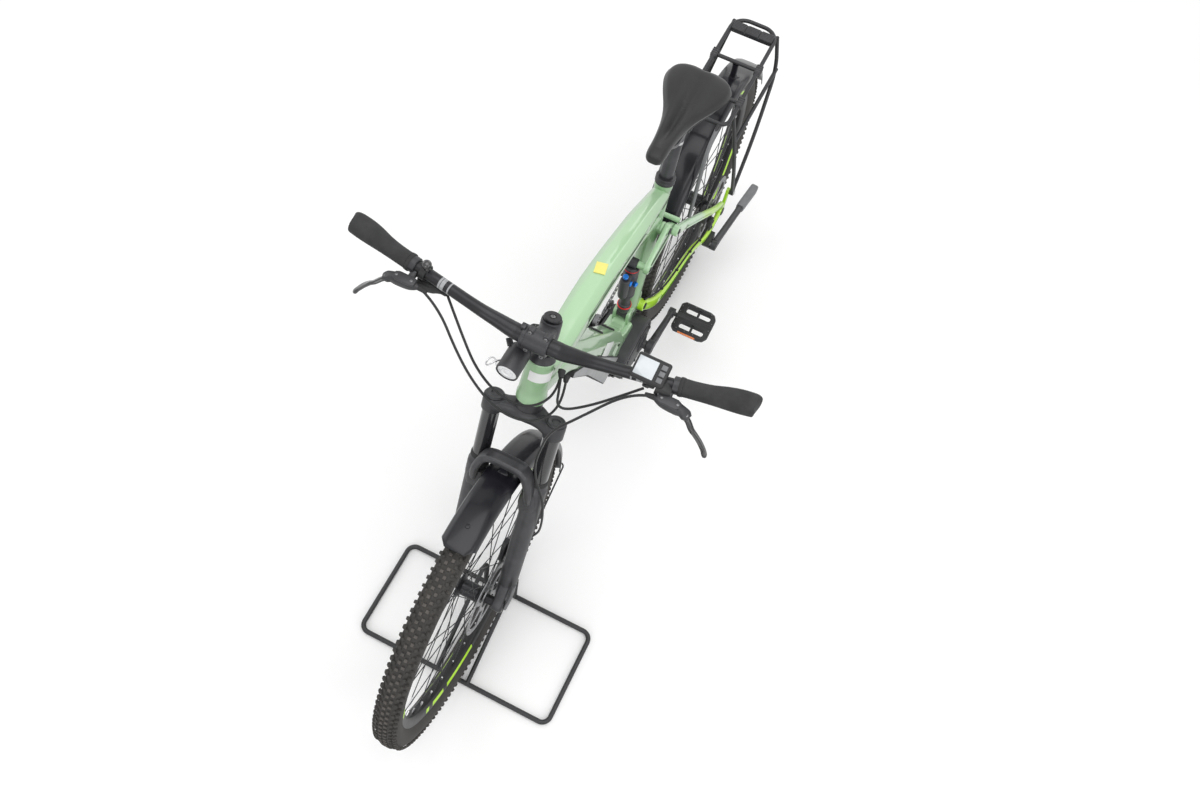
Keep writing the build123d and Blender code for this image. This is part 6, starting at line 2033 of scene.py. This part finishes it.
# %% Cranks and chainring
crank_turn = radians(200)
crank_reach = Vector((cos(crank_turn), 0, sin(crank_turn))) * 0.17
forged = [lathe("crank_spindle", [
    (0, 0), (0.0118, 0), (0.012, 0.0005), (0.012, 0.1515), (0.0118, 0.152), (0, 0.152),
], bottom_bracket - Vector((0, 0.076, 0)), (0, 1, 0), 36)]
for side in (1, -1):
    reach = crank_reach * side
    middle_y = Vector((0, side * 0.085, 0))
    arm = formed_tube("crank_arm", [
        (bottom_bracket + middle_y, 0.018, 0.035, 0.005),
        (bottom_bracket + reach * 0.14 + middle_y, 0.0178, 0.033, 0.005),
        (bottom_bracket + reach * 0.5 + middle_y, 0.016, 0.026, 0.0046),
        (bottom_bracket + reach * 0.86 + middle_y, 0.015, 0.023, 0.0042),
        (bottom_bracket + reach + middle_y, 0.0156, 0.0245, 0.0042),
    ], corner_steps=1, steps=4)
    rounded(arm, 0.0012, 2, 20)
    near, far = sorted((bottom_bracket.x + reach.x * 0.25, bottom_bracket.x + reach.x * 0.8))
    flute(arm, lambda c, n: n.y * side > 0.9 and near < c.x < far, 0.0035, 0.0012)
    forged.append(arm)
    for place, radius in ((bottom_bracket, 0.0195), (bottom_bracket + reach, 0.0138)):
        forged.append(lathe("crank_boss", [
            (0, 0), (radius - 0.0015, 0), (radius, 0.0015), (radius, 0.0165), (radius - 0.0015, 0.018),
            (radius * 0.6, 0.018), (radius * 0.55, 0.0165), (0, 0.0165),
        ], place + Vector((0, side * 0.076, 0)), (0, side, 0), 48))
    forged.append(socket_bolt("crank_bolt", bottom_bracket + Vector((0, side * 0.092, 0)), (0, side, 0),
                              0.0085, 0.0022, 28))
    for share in (0.1, 0.19):
        forged.append(socket_bolt("pinch_bolt", bottom_bracket + reach * share + Vector((
            0, side * 0.085, 0)) + Vector((reach.z, 0, -reach.x)).normalized() * 0.0155,
            Vector((reach.z, 0, -reach.x)), 0.004, 0.003, 16))
    forged.append(lathe("pedal_axle", [
        (0, 0), (0.006, 0), (0.006, 0.004), (0.0056, 0.006), (0.0056, 0.06), (0.005, 0.085),
        (0.005, 0.104), (0, 0.104),
    ], bottom_bracket + reach + Vector((0, side * 0.093, 0)), (0, side, 0), 24))
done(joined("crank_pair", *forged), "crank", satin_black, ("crank_arms",))

spider = [toothed_wheel("ring_teeth", chainring_teeth, 0.0535, 0.003,
                        bottom_bracket + Vector((0, chain_y, 0)))]
arm = side_plate("spider_arm", waisted((0.022, 0), 0.011, (0.057, 0), 0.007, 0.0062), chain_y - 0.004,
                 0.005, 0.001, 2)
arm.location = (bottom_bracket.x, 0, bottom_bracket.z)
settle(arm)
bolt = socket_bolt("ring_bolt", bottom_bracket + Vector((0.057, chain_y - 0.0038, 0)), (0, -1, 0), 0.005,
                   0.0016, 16)
spider.append(copies(joined("spider_arm", arm, bolt), 5, bottom_bracket, (0, 1, 0)))
spider.append(lathe("spider_hub", [
    (0.0122, 0), (0.033, 0), (0.034, 0.001), (0.0335, 0.004), (0.027, 0.006), (0.023, 0.012),
    (0.022, 0.0225), (0.0122, 0.0225), (0.0122, 0),
], bottom_bracket + Vector((0, chain_y, 0)), (0, -1, 0), 56))
done(joined("chainring_skin", *spider), "crank", dark_steel, ("chainring",))
print("cranks at", round(degrees(crank_turn)), "degrees")

# %% [markdown]
# A flat pedal is a broad cage round its axle: two windows let mud through, short steel pins
# stand up round its rim, and an orange reflector closes its front and its back.

# %% Pedals
def build_pedal(name, place, side, body, node):
    """A cage with windows, an axle tube, steel pins and reflectors."""
    middle = place + Vector((0, side * 0.152, 0))
    cage = plate(name, [(x, y * side) for x, y in (
        (-0.038, -0.052), (0.038, -0.052), (0.0475, -0.042), (0.0475, 0.03), (0.043, 0.043),
        (0.03, 0.051), (-0.03, 0.051), (-0.043, 0.043), (-0.0475, 0.03), (-0.0475, -0.042),
    )], 0.016, middle - Vector((0, 0, 0.008)), bevel=0.0028, segments=3)
    for ahead in (-1, 1):
        window = block("window", middle + Vector((ahead * 0.0262, side * 0.002, 0)),
                       (0.0225, 0.07, 0.06), (0, 0, 0), 0.006, 3)
        applied(cage, "BOOLEAN", operation="DIFFERENCE", object=window, solver="FAST")
        bpy.data.objects.remove(window)
    parts = [cage]
    parts.append(lathe("axle_tube", [
        (0.0062, 0), (0.0105, 0), (0.0118, 0.0015), (0.0118, 0.014), (0.0102, 0.022), (0.0098, 0.08),
        (0.0108, 0.092), (0.0108, 0.1), (0.009, 0.102), (0, 0.102), (0, 0.101), (0.0062, 0.101),
        (0.0062, 0),
    ], place + Vector((0, side * 0.1005, 0)), (0, side, 0), 36))
    for ahead in (-1, 1):
        parts.append(block("cross_rib", middle + Vector((ahead * 0.0262, side * 0.002, 0)),
                           (0.03, 0.006, 0.011), (0, 0, 0), 0.0014, 2))
    done(joined(name, *parts), body, black_plastic, (node,))
    studs = []
    for x, y in ((0.0425, -0.036), (0.0425, -0.012), (0.0425, 0.012), (0.0395, 0.034), (0.012, 0.0455),
                 (0.012, -0.047), (0.03, -0.047)):
        for ahead in (-1, 1):
            spot = middle + Vector((ahead * x, side * y, 0))
            studs.append(pin("stud", spot - Vector((0, 0, 0.0098)), spot + Vector((0, 0, 0.0098)),
                             0.0015, 0.0004, 8))
    done(joined(name + "_studs", *studs), body, dark_steel)
    lenses = [block("lens", middle + Vector((ahead * 0.0474, side * -0.004, 0)), (0.0016, 0.05, 0.0095),
                    (0, 0, 0), 0.0006, 2) for ahead in (-1, 1)]
    done(joined(name + "_reflectors", *lenses), body, orange_lens)


build_pedal("left_pedal_cage", bottom_bracket + crank_reach, 1, "left_pedal", "pedal_left")
build_pedal("right_pedal_cage", bottom_bracket - crank_reach, -1, "right_pedal", "pedal_right")
print("pedals done")

# %% [markdown]
# A mudguard is a thin arched shell that follows the tyre. Its section, with turned-down sides
# and a flat crown, is spun through part of a turn, its corners are cut off at both ends, and
# Solidify gives the sheet its thickness. Its rim is rolled by a bevel.

# %% Mudguards
guard_radius = 0.3845
guard_half = [(0.3665, 0.0358), (0.369, 0.036), (0.379, 0.0325), (0.3815, 0.03), (0.3842, 0.0215),
              (0.3846, 0.019), (0.385, 0.0)]


def build_guard(name, axle, start, end):
    """A mudguard between two angles, in degrees up from straight ahead."""
    section = [(radius, -side) for radius, side in guard_half] + [
        (radius, side) for radius, side in reversed(guard_half[:-1])]
    first = radians(start)
    points = [(axle.x + radius * cos(first), side, axle.z + radius * sin(first)) for radius,
              side in section]
    steps = round((end - start) / 2.5)
    guard = outline_mesh(name, points)
    bpy.ops.mesh.spin(steps=steps, angle=radians(end - start), center=axle, axis=(0, 1, 0))
    closed_up()
    for turn, way in ((start, -1), (end, 1)):
        out = Vector((cos(radians(turn)), 0, sin(radians(turn))))
        ahead = Vector((-sin(radians(turn)), 0, cos(radians(turn)))) * way
        for side in (-1, 1):
            choose(guard)
            bpy.ops.object.mode_set(mode="EDIT")
            bpy.ops.mesh.select_all(action="SELECT")
            bpy.ops.mesh.bisect(plane_co=axle + out * guard_radius + Vector((0, side * 0.021, 0)),
                                plane_no=ahead * 0.66 + Vector((0, side * 0.75, 0)), clear_outer=True)
            bpy.ops.object.mode_set(mode="OBJECT")
    applied(guard, "SOLIDIFY", thickness=0.0024, offset=0)
    return rounded(guard, 0.0008, 2, 40)


def arc_spot(axle, turn, radius):
    """A point round an axle, at an angle in degrees up from straight ahead."""
    return axle + Vector((cos(radians(turn)), 0, sin(radians(turn)))) * radius


front_guard = build_guard("front_guard_shell", front_axle, 84, 190)
guard_pillar = formed_tube("guard_pillar", [
    (steer(0.045, 0, 0.3835), 0.03, 0.022, 0.006), (steer(0.045, 0, 0.389), 0.022, 0.018, 0.006),
    (steer(0.045, 0, 0.4005), 0.018, 0.016, 0.005),
], steps=3)
tip_bolt = socket_bolt("guard_bolt", arc_spot(front_axle, 92, 0.3858), arc_spot(Vector((0, 0, 0)), 92, 1),
                       0.005, 0.0024)
done(joined("front_guard", front_guard, guard_pillar, tip_bolt), "front_end", guard_black,
     ("front_fender",))
rear_guard = build_guard("rear_guard_shell", rear_axle, 36, 157)
bracket_x = rear_axle.x - 0.096
bracket_low = rear_axle.z + sqrt(guard_radius ** 2 - 0.096 ** 2)
pillar = formed_tube("guard_bracket", [
    (Vector((bracket_x, 0, bracket_low - 0.001)), 0.034, 0.024, 0.005),
    (Vector((bracket_x, 0, bracket_low + 0.008)), 0.016, 0.012, 0.004),
    (Vector((bracket_x, 0, 0.7845)), 0.016, 0.012, 0.004),
], steps=3)
guard_bolts = [socket_bolt("guard_bolt", arc_spot(rear_axle, turn, 0.386),
                           arc_spot(Vector((0, 0, 0)), turn, 1),
                           0.0048, 0.0024) for turn in (44, 96, 150)]
done(joined("rear_guard", rear_guard, pillar, *guard_bolts), "frame", guard_black,
     ("rear_fender",))

# %% [markdown]
# The seatpost is a drawn tube with a polished band where it was last clamped, a black collar
# that pinches the seat tube, and a two-bolt head that holds the saddle's rails.

# %% Seatpost
post_top = seat_point(0.16)
post_paint = anodised("drawn_dark_grey", (0.055, 0.055, 0.06), 0.34, 0.5)
post = [lathe("post_tube", [
    (0, -0.1), (0.0154, -0.1), (0.0158, -0.099), (0.0158, 0.148), (0.015, 0.152), (0.012, 0.156),
    (0, 0.156),
], collar, seat_up, 48)]
post.append(block("head_cradle", post_top + Vector((0, 0, -0.001)), (0.038, 0.052, 0.016),
                  (0, 0, 0), 0.005, 3))
post.append(pin("head_bar", post_top - Vector((0, 0.0235, 0)), post_top + Vector((0, 0.0235, 0)),
                0.011, 0.0012, 36))
done(joined("seatpost_skin", *post), "frame", post_paint, ("seatpost",))
collar_parts = [lathe("seat_collar", [
    (0.016, 0.001), (0.0222, 0.001), (0.023, 0.0018), (0.023, 0.006), (0.0222, 0.0068),
    (0.0222, 0.01), (0.023, 0.0108), (0.023, 0.015), (0.0222, 0.0158), (0.016, 0.0158), (0.016, 0.001),
], collar, seat_up, 56)]
collar_parts.append(block("collar_ear", seat_point(0.0084) + Vector((-0.0255, 0, -0.0062)),
                          (0.01, 0.02, 0.012), (0, radians(14), 0), 0.003, 3))
for side in (-1, 1):
    collar_parts.append(socket_bolt("collar_bolt",
                                    seat_point(0.0084) + Vector((-0.0262, side * 0.01, -0.0062)),
                                    (0, side, 0), 0.004, 0.003))
    for ahead in (-0.0145, 0.0145):
        spot = post_top + Vector((ahead, side * 0.0235, 0.0065))
        collar_parts.append(block("rail_clamp", spot, (0.009, 0.011, 0.012), (0, 0, 0), 0.0025, 2))
done(joined("seat_clamps", *collar_parts), "frame", satin_black)
band = ring("post_band", seat_point(0.108), seat_up, 0.0161, 0.015, 0.007, 0.0002, 48)
done(band, "frame", steel)
print("seatpost", round((post_top - collar).length, 3), "m out")

# %% [markdown]
# The saddle is a foam pad under a thin glued skin: a narrow rounded nose, broad wings, and a
# channel between two soft ridges. The skin has no sewn seams, so the form is modelled and
# not simulated: rounded frames are bridged, subdivided, and each point of the top is then
# lifted or lowered by smooth functions of its place.

# %% Saddle
saddle_nose = collar.x + 0.126
saddle_top = collar.z + 0.218
saddle_length = 0.267
pad = formed_tube("saddle_pad", [
    (Vector((saddle_nose - share * saddle_length, 0, saddle_top + drop - depth / 2)), width, depth,
     corner)
    for share, width, depth, drop, corner in (
        (0.0, 0.02, 0.014, -0.015, 0.006), (0.022, 0.034, 0.023, -0.011, 0.01),
        (0.08, 0.041, 0.03, -0.008, 0.013), (0.22, 0.044, 0.031, -0.0066, 0.014),
        (0.4, 0.058, 0.031, -0.0056, 0.014), (0.54, 0.082, 0.031, -0.004, 0.014),
        (0.68, 0.118, 0.031, -0.0018, 0.014), (0.81, 0.144, 0.031, 0.0008, 0.014),
        (0.91, 0.148, 0.03, 0.0018, 0.013), (0.972, 0.13, 0.026, 0.0004, 0.012),
        (1.0, 0.096, 0.016, -0.0022, 0.007),
    )], steps=3, corner_steps=4)
applied(pad, "SUBSURF", levels=1, render_levels=1)
bpy.ops.object.mode_set(mode="EDIT")
bpy.ops.mesh.select_all(action="SELECT")
bpy.ops.mesh.quads_convert_to_tris()
bpy.ops.mesh.tris_convert_to_quads()
bpy.ops.object.mode_set(mode="OBJECT")
choose(pad)
bpy.ops.object.mode_set(mode="EDIT")
bpy.ops.mesh.select_all(action="SELECT")
bpy.ops.mesh.subdivide(number_cuts=2, smoothness=0)
bpy.ops.object.mode_set(mode="OBJECT")


def bell(value, centre, spread):
    return 2.718281828 ** (-((value - centre) / spread) ** 2)


for vertex in pad.data.vertices:
    share = (saddle_nose - vertex.co.x) / saddle_length
    side = abs(vertex.co.y)
    upper = max(0.0, min(1.0, (vertex.co.z - (saddle_top - 0.022)) / 0.014))
    middle = max(0.0, min(1.0, (share - 0.1) / 0.22)) * max(0.0, min(1.0, (1.02 - share) / 0.14))
    lift = -0.011 * bell(side, 0, 0.0085) * middle
    lift += 0.0034 * bell(side, 0.02, 0.0095) * middle
    lift -= 0.019 * max(0.0, side - 0.022) ** 2 / 0.053 ** 2 * min(1.0, share)
    lift -= 0.004 * bell(share, 0.5, 0.2)
    vertex.co.z += lift * upper
applied(pad, "SMOOTH", factor=0.5, iterations=4)
saddle_skin = grained("saddle_skin", (0.011, 0.011, 0.012), 0.44, 2600.0, 0.00004)
saddle_skin.set("Sheen Weight", 0.15)
done(pad, "frame", saddle_skin, ("saddle",), 60)

base_parts = [formed_tube("saddle_base", [
    (Vector((saddle_nose - share * saddle_length, 0, saddle_top + drop)), width, 0.006, 0.0028)
    for share, width, drop in (
        (0.02, 0.018, -0.0315), (0.1, 0.034, -0.04), (0.4, 0.048, -0.0385), (0.58, 0.08, -0.037),
        (0.72, 0.112, -0.0345), (0.88, 0.126, -0.031), (0.96, 0.1, -0.028))], steps=3)]
for ahead, wide, deep in ((0.034, 0.026, 0.016), (0.238, 0.092, 0.014)):
    base_parts.append(block("rail_socket", (saddle_nose - ahead, 0, saddle_top - 0.03),
                            (0.022, wide, deep), (0, 0, 0), 0.004, 3))
done(joined("saddle_base", *base_parts), "frame", black_plastic)
rail_z = post_top.z + 0.0148
rails = []
for side in (-1, 1):
    rails.append(bent_tube("saddle_rail", [
        (saddle_nose - 0.036, side * 0.008, saddle_top - 0.027),
        (saddle_nose - 0.06, side * 0.015, saddle_top - 0.034),
        (saddle_nose - 0.084, side * 0.022, rail_z), (saddle_nose - 0.11, side * 0.022, rail_z),
        (saddle_nose - 0.165, side * 0.022, rail_z), (saddle_nose - 0.19, side * 0.022, rail_z),
        (saddle_nose - 0.212, side * 0.031, rail_z + 0.006),
        (saddle_nose - 0.236, side * 0.04, saddle_top - 0.028),
    ], 0.0035))
done(joined("saddle_rails", *rails), "frame", dark_steel)
print("saddle", len(pad.data.polygons), "faces")

# %% [markdown]
# A ring with two keys hangs behind the seatpost. Each key is a flat blade with two cuts and
# an oval cream-coloured head.

# %% Keys
brass = anodised("pale_brass", (0.62, 0.52, 0.3), 0.3, 0.9)
cream = grained("cream_plastic", (0.66, 0.62, 0.5), 0.42, 900.0, 0.00004)
key_place = collar + Vector((-0.0395, 0, 0.008))
clear()
bpy.ops.mesh.primitive_torus_add(location=key_place, rotation=(pi / 2, 0, 0), major_radius=0.0125,
                                 minor_radius=0.0013, major_segments=40, minor_segments=10)
key_ring = settle(bpy.context.object)
bpy.ops.mesh.primitive_torus_add(location=key_place + Vector((0.001, 0.0026, 0.0004)),
                                 rotation=(pi / 2, 0.06, 0), major_radius=0.0118, minor_radius=0.0009,
                                 major_segments=36, minor_segments=8)
second_ring = settle(bpy.context.object)
done(joined("key_ring", key_ring, second_ring), "frame", steel, ("keys",))
blades, heads = [], []
for lean, level, turn in ((-0.25, -0.0012, 0.35), (0.2, 0.0022, -0.25)):
    head = plate("key_head", [(0.009 * cos(radians(a)), 0.0075 * sin(radians(a)))
                              for a in range(0, 360, 30)], 0.0022, bevel=0.0007)
    blade = plate("key_blade", [
        (-0.0035, 0), (0.0035, 0), (0.0035, -0.018), (0.0022, -0.02), (0.0035, -0.023), (0.0018, -0.027),
        (0.0035, -0.03), (0.003, -0.034), (0, -0.038), (-0.0035, -0.034),
    ], 0.0018, (0, -0.006, 0.0002), bevel=0.0003)
    for item in (head, blade):
        item.matrix_world = (
            Matrix.Translation(key_place + Vector((lean * 0.02, level, -0.0215)))
            @ Euler((pi / 2, lean * 1.0, turn)).to_matrix().to_4x4())
        settle(item)
    heads.append(head)
    blades.append(blade)
done(joined("key_blades", *blades), "frame", brass)
done(joined("key_heads", *heads), "frame", cream)
print("two keys on a ring")

# %% [markdown]
# The side stand folds up behind the left-hand pedal. Its leg slides into a wider foot sleeve
# that is cut off at an angle.

# %% Side stand
kick_pivot = rear_axle + Vector((0.079, 0, -0.0505))
kick_turn = radians(191)
kick_run = Vector((cos(kick_turn), 0, sin(kick_turn)))
leg_start = kick_pivot + Vector((0, 0.105, 0)) + kick_run * 0.008
leg_end = kick_pivot + Vector((0, 0.12, 0)) + kick_run * 0.248
leg = formed_tube("stand_leg", [
    (leg_start, 0.019, 0.026, 0.005), (leg_start.lerp(leg_end, 0.12), 0.018, 0.022, 0.006),
    (leg_start.lerp(leg_end, 0.3), 0.018, 0.018, 0.0055), (leg_end, 0.0175, 0.0175, 0.0055),
], steps=4)
knuckle_boss = lathe("stand_knuckle", [
    (0.0062, 0), (0.0125, 0), (0.0138, 0.0014), (0.0138, 0.0166), (0.0125, 0.018), (0.0062, 0.018),
    (0.0062, 0),
], kick_pivot + Vector((0, 0.096, 0)), (0, 1, 0), 40)
done(joined("stand_leg", leg, knuckle_boss), "kickstand", satin_black, ("kickstand",))
sleeve_start = kick_pivot + Vector((0, 0.116, 0)) + kick_run * 0.188
sleeve_end = kick_pivot + Vector((0, 0.124, 0)) + kick_run * 0.296
sleeve = formed_tube("stand_sleeve", [
    (sleeve_start, 0.0215, 0.0215, 0.005), (sleeve_start.lerp(sleeve_end, 0.08), 0.0235, 0.0235, 0.006),
    (sleeve_start.lerp(sleeve_end, 0.85), 0.024, 0.024, 0.006), (sleeve_end, 0.022, 0.026, 0.0055),
], steps=3)
choose(sleeve)
bpy.ops.object.mode_set(mode="EDIT")
bpy.ops.mesh.select_all(action="SELECT")
bpy.ops.mesh.bisect(plane_co=sleeve_end - kick_run * 0.006,
                    plane_no=kick_run * 0.8 + Vector((0, 0, -0.55)),
                    clear_outer=True, use_fill=True)
bpy.ops.object.mode_set(mode="OBJECT")
rounded(sleeve, 0.001, 2, 30)
done(sleeve, "kickstand", grey_plastic)
mount_bolts = [socket_bolt("mount_bolt", kick_pivot + Vector((ahead, 0.0955, 0.017)), (0, 1, 0), 0.0045,
                           0.0026)
               for ahead in (-0.014, 0.014)]
mount_bolts.append(socket_bolt("stand_pivot_bolt", kick_pivot + Vector((0, 0.112, 0)), (0, 1, 0), 0.007,
                               0.003))
done(joined("stand_bolts", *mount_bolts), "frame", dark_steel)
print("side stand", round((sleeve_end - kick_pivot).length, 3), "m long")

# %% [markdown]
# The luggage rack stays as it was bent from tube in the solid. It gains moulded clips where
# bars cross, three ribbed blocks on its rear plate and bolts at its feet.

# %% Rack fittings
clip_grey = grained("clip_dark_grey", (0.045, 0.045, 0.048), 0.5, 1000.0)
rack_z = 0.79
rack_half = 0.058
clips = []
for cross_x in (rear_axle.x + 0.024, rear_axle.x - 0.096):
    for side in (-1, 1):
        spot = Vector((cross_x, side * rack_half, rack_z + 0.001))
        clips.append(block("clip", spot, (0.03, 0.015, 0.015), (0, 0, 0), 0.003, 3))
        for index in range(4):
            clips.append(block("clip_rib", spot + Vector((-0.0105 + 0.007 * index, 0, 0)),
                               (0.0026, 0.0168, 0.0168), (0, 0, 0), 0.0008, 2))
for side in (-1, 0, 1):
    spot = Vector((-0.826, side * 0.037, rack_z + 0.009))
    clips.append(block("plate_block", spot, (0.028, 0.034, 0.006), (0, 0, 0), 0.002, 2))
    for index in range(5):
        clips.append(block("plate_rib", spot + Vector((-0.01 + 0.005 * index, 0, 0.0028)),
                           (0.002, 0.03, 0.0024), (0, 0, 0), 0.0006, 1))
done(joined("rack_clips", *clips), "frame", clip_grey)
rack_bolts = []
for side in (-1, 1):
    rack_bolts.append(socket_bolt("rack_bolt", rack_eye + Vector((0, side * 0.0985, 0)), (0, side, 0),
                                  0.0062, 0.003))
    rack_bolts.append(lathe("rack_washer", [
        (0, 0), (0.0086, 0), (0.009, 0.0004), (0.009, 0.0012), (0, 0.0012),
    ], rack_eye + Vector((0, side * 0.0975, 0)), (0, side, 0), 32))
done(joined("rack_bolts", *rack_bolts), "frame", steel)
print("rack has", len(clips), "moulded parts")

# %% [markdown]
# Brake hoses and cables keep their real length between the lever and the place where they
# go back into the bicycle. Each follows one smooth NURBS line through a few points, and the
# tube is made round that line. Those that pass the head tube belong to the handlebar at one
# end and to the frame at the other; they are shaded and given their finish, but attached to
# neither body.

# %% Hoses and cables
hose_radius = 0.0025
head_foot = steer(0, 0, head_bottom)
lever_left_end = along_bar(1, lever_clamp - 0.007)[0] + Vector((0.032, -0.022, -0.01))
lever_right_end = along_bar(-1, lever_clamp - 0.007)[0] + Vector((0.032, 0.022, -0.01))


def by_bar(ahead, left, up):
    """A point from the middle of the handlebar's clamp, in millimetres."""
    return bar_centre + Vector((ahead, left, up)) / 1000


def by_head(ahead, left, up):
    """A point from the foot of the head tube, in millimetres."""
    return head_foot + Vector((ahead, left, up)) / 1000


def hose(name, route, body, node, paint):
    """A tube round a smooth line through a few points, and the points that the line follows."""
    line = smooth_line(name, route, 3, 12)
    drawn = bpy.data.meshes.new_from_object(line)
    path = [tuple(vertex.co) for vertex in drawn.vertices]
    bpy.data.meshes.remove(drawn)
    tube = thickened(line, hose_radius)
    if len(body) == 1:
        done(tube, body[0], paint, (node,), 60)
    else:
        choose(tube)
        bpy.ops.object.shade_smooth_by_angle(angle=radians(60))
        tube.data.materials.append(paint.material)
        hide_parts(node)
    length = sum((Vector(b) - Vector(a)).length for a, b in zip(path, path[1:]))
    print(name, "is", round(length, 3), "m long")
    return tube, path, length


hose_skin = grained("hose_skin", (0.014, 0.014, 0.015), 0.36, 2400.0, 0.00002)
front_route = [
    lever_left_end + Vector((0, -0.0008, 0)), lever_left_end + Vector((0.006, -0.038, -0.006)),
    by_bar(93, 122, -26), by_bar(117, 84, -70), steer(0.084, 0.066, 0.51), steer(0.068, 0.062, 0.46),
    steer(0.056, 0.07, 0.41), steer(0.042, 0.09, 0.36), steer(0.028, 0.098, 0.305),
    steer(0.01, 0.098, 0.25), steer(-0.012, 0.092, 0.205), steer(-0.026, 0.076, 0.165),
    steer(-0.03, 0.058, 0.1225),
]
tube, path, length = hose("front_brake_hose", front_route, ("front_end",), "hose_front_brake", hose_skin)
crossing = {
    "rear_brake_hose": ("hose_rear_brake", [
        lever_right_end + Vector((0, 0.001, 0)), lever_right_end + Vector((0.014, 0.044, -0.004)),
        by_bar(81, -118, -20), by_bar(103, -70, -62), by_bar(109, -22, -104), by_bar(93, 26, -134),
        by_head(36, 56, 28), by_head(-12, 62, 28), by_head(-52, 48, 32),
    ], by_bar(109, -22, -104)),
    "shifter_cable": ("cable_shifter", [
        along_bar(-1, lever_clamp + 0.016)[0] + Vector((0.01, 0.0436, -0.024)),
        by_bar(47, -126, -20), by_bar(73, -86, -58), by_bar(83, -40, -96), by_bar(73, 6, -124),
        by_head(24, 36, 44), by_head(-14, 48, 48), by_head(-50, 38, 50),
    ], by_bar(83, -40, -96)),
    "display_cable": ("cable_display", [
        along_bar(1, lever_clamp + 0.037)[0] + Vector((0.0172, 0, -0.009)),
        by_bar(43, 158, -8), by_bar(59, 118, -44), by_bar(61, 86, -80),
        by_head(24, 64, 68), by_head(-6, 54, 62), by_head(-40, 42, 64),
    ], by_bar(61, 86, -80)),
}
ports = []
for name, (node, route, start) in crossing.items():
    tube, path, length = hose(name, route, ("front_end", "frame"), node, hose_skin)
    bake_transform(tube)
    way = (Vector(path[-1]) - Vector(path[-6])).normalized()
    ports.append(lathe("hose_port", [
        (0.0026, 0), (0.0042, 0), (0.0048, 0.001), (0.0062, 0.008), (0.0075, 0.011), (0.0075, 0.0125),
        (0.0026, 0.0125), (0.0026, 0),
    ], Vector(path[-1]) - way * 0.009, way, 24))
done(joined("hose_ports", *ports), "frame", soft_rubber)

rear_route = [
    main_pivot + Vector((-0.006, 0.027, 0.0185)), main_pivot + Vector((-0.07, 0.049, -0.015)),
    (main_pivot + rear_axle) * 0.5 + Vector((0.045, 0.057, -0.0045)),
    rear_axle + Vector((0.16, 0.064, 0.0065)),
    rear_axle + Vector((0.104, 0.076, 0.005)), rear_axle + Vector((0.0845, 0.076, 0.0155)),
]
tube, path, length = hose("chainstay_hose", rear_route, ("frame",), "hose_rear", hose_skin)
ties = []
for share in (0.16, 0.38, 0.6, 0.8):
    index = round(share * (len(path) - 2))
    spot, way = Vector(path[index]), (Vector(path[index + 1]) - Vector(path[index])).normalized()
    ties.append(ring("hose_tie", spot - way * 0.0022, way, 0.0038, 0.0024, 0.0044, 0.0006, 24))
    ties.append(block("tie_lock", spot + Vector((0, 0.0036, 0.0012)), (0.005, 0.0034, 0.004),
                      (0, 0, 0), 0.0008, 2))
done(joined("hose_ties", *ties), "frame", soft_rubber)

# %% [markdown]
# Some solids already have their real form: laced hubs, bent tubes, the stand. They keep it
# and only get a finish. The rack's two front struts are grey, which the paint does by place.

# %% Finishes of the solids that stay
rack_paint = anodised("rack_black_coat", (0.026, 0.026, 0.029), 0.4, 0.2)
ahead, left, above = rack_paint.axes()
strut = (ahead > -0.511) * (above < 0.7895)
rack_paint.set("Base Color", rack_paint.mix(strut, (0.026, 0.026, 0.029), (0.17, 0.175, 0.18)))
hub_paint = anodised("hub_and_spoke_black", (0.03, 0.03, 0.033), 0.32, 0.6)
wire_paint = anodised("stand_wire_coat", (0.02, 0.02, 0.022), 0.44, 0.1)
wire_paint.bump(wire_paint.noise(160.0, 5.0), 0.0001, 0.5)
kept = {
    "front_hub": hub_paint, "rear_hub": hub_paint, "rear_rack": rack_paint, "fender_stay": satin_black,
    "kickstand_mount": satin_black, "display_stand": wire_paint,
}
for node, paint in kept.items():
    obj = frame["nodes"][node]
    if not obj.material_slots:
        obj.data.materials.append(paint.material)
    for entry in obj.material_slots:
        entry.material = paint.material
print("finished", len(kept), "solids")

# %% [markdown]

# %% Finish
import json
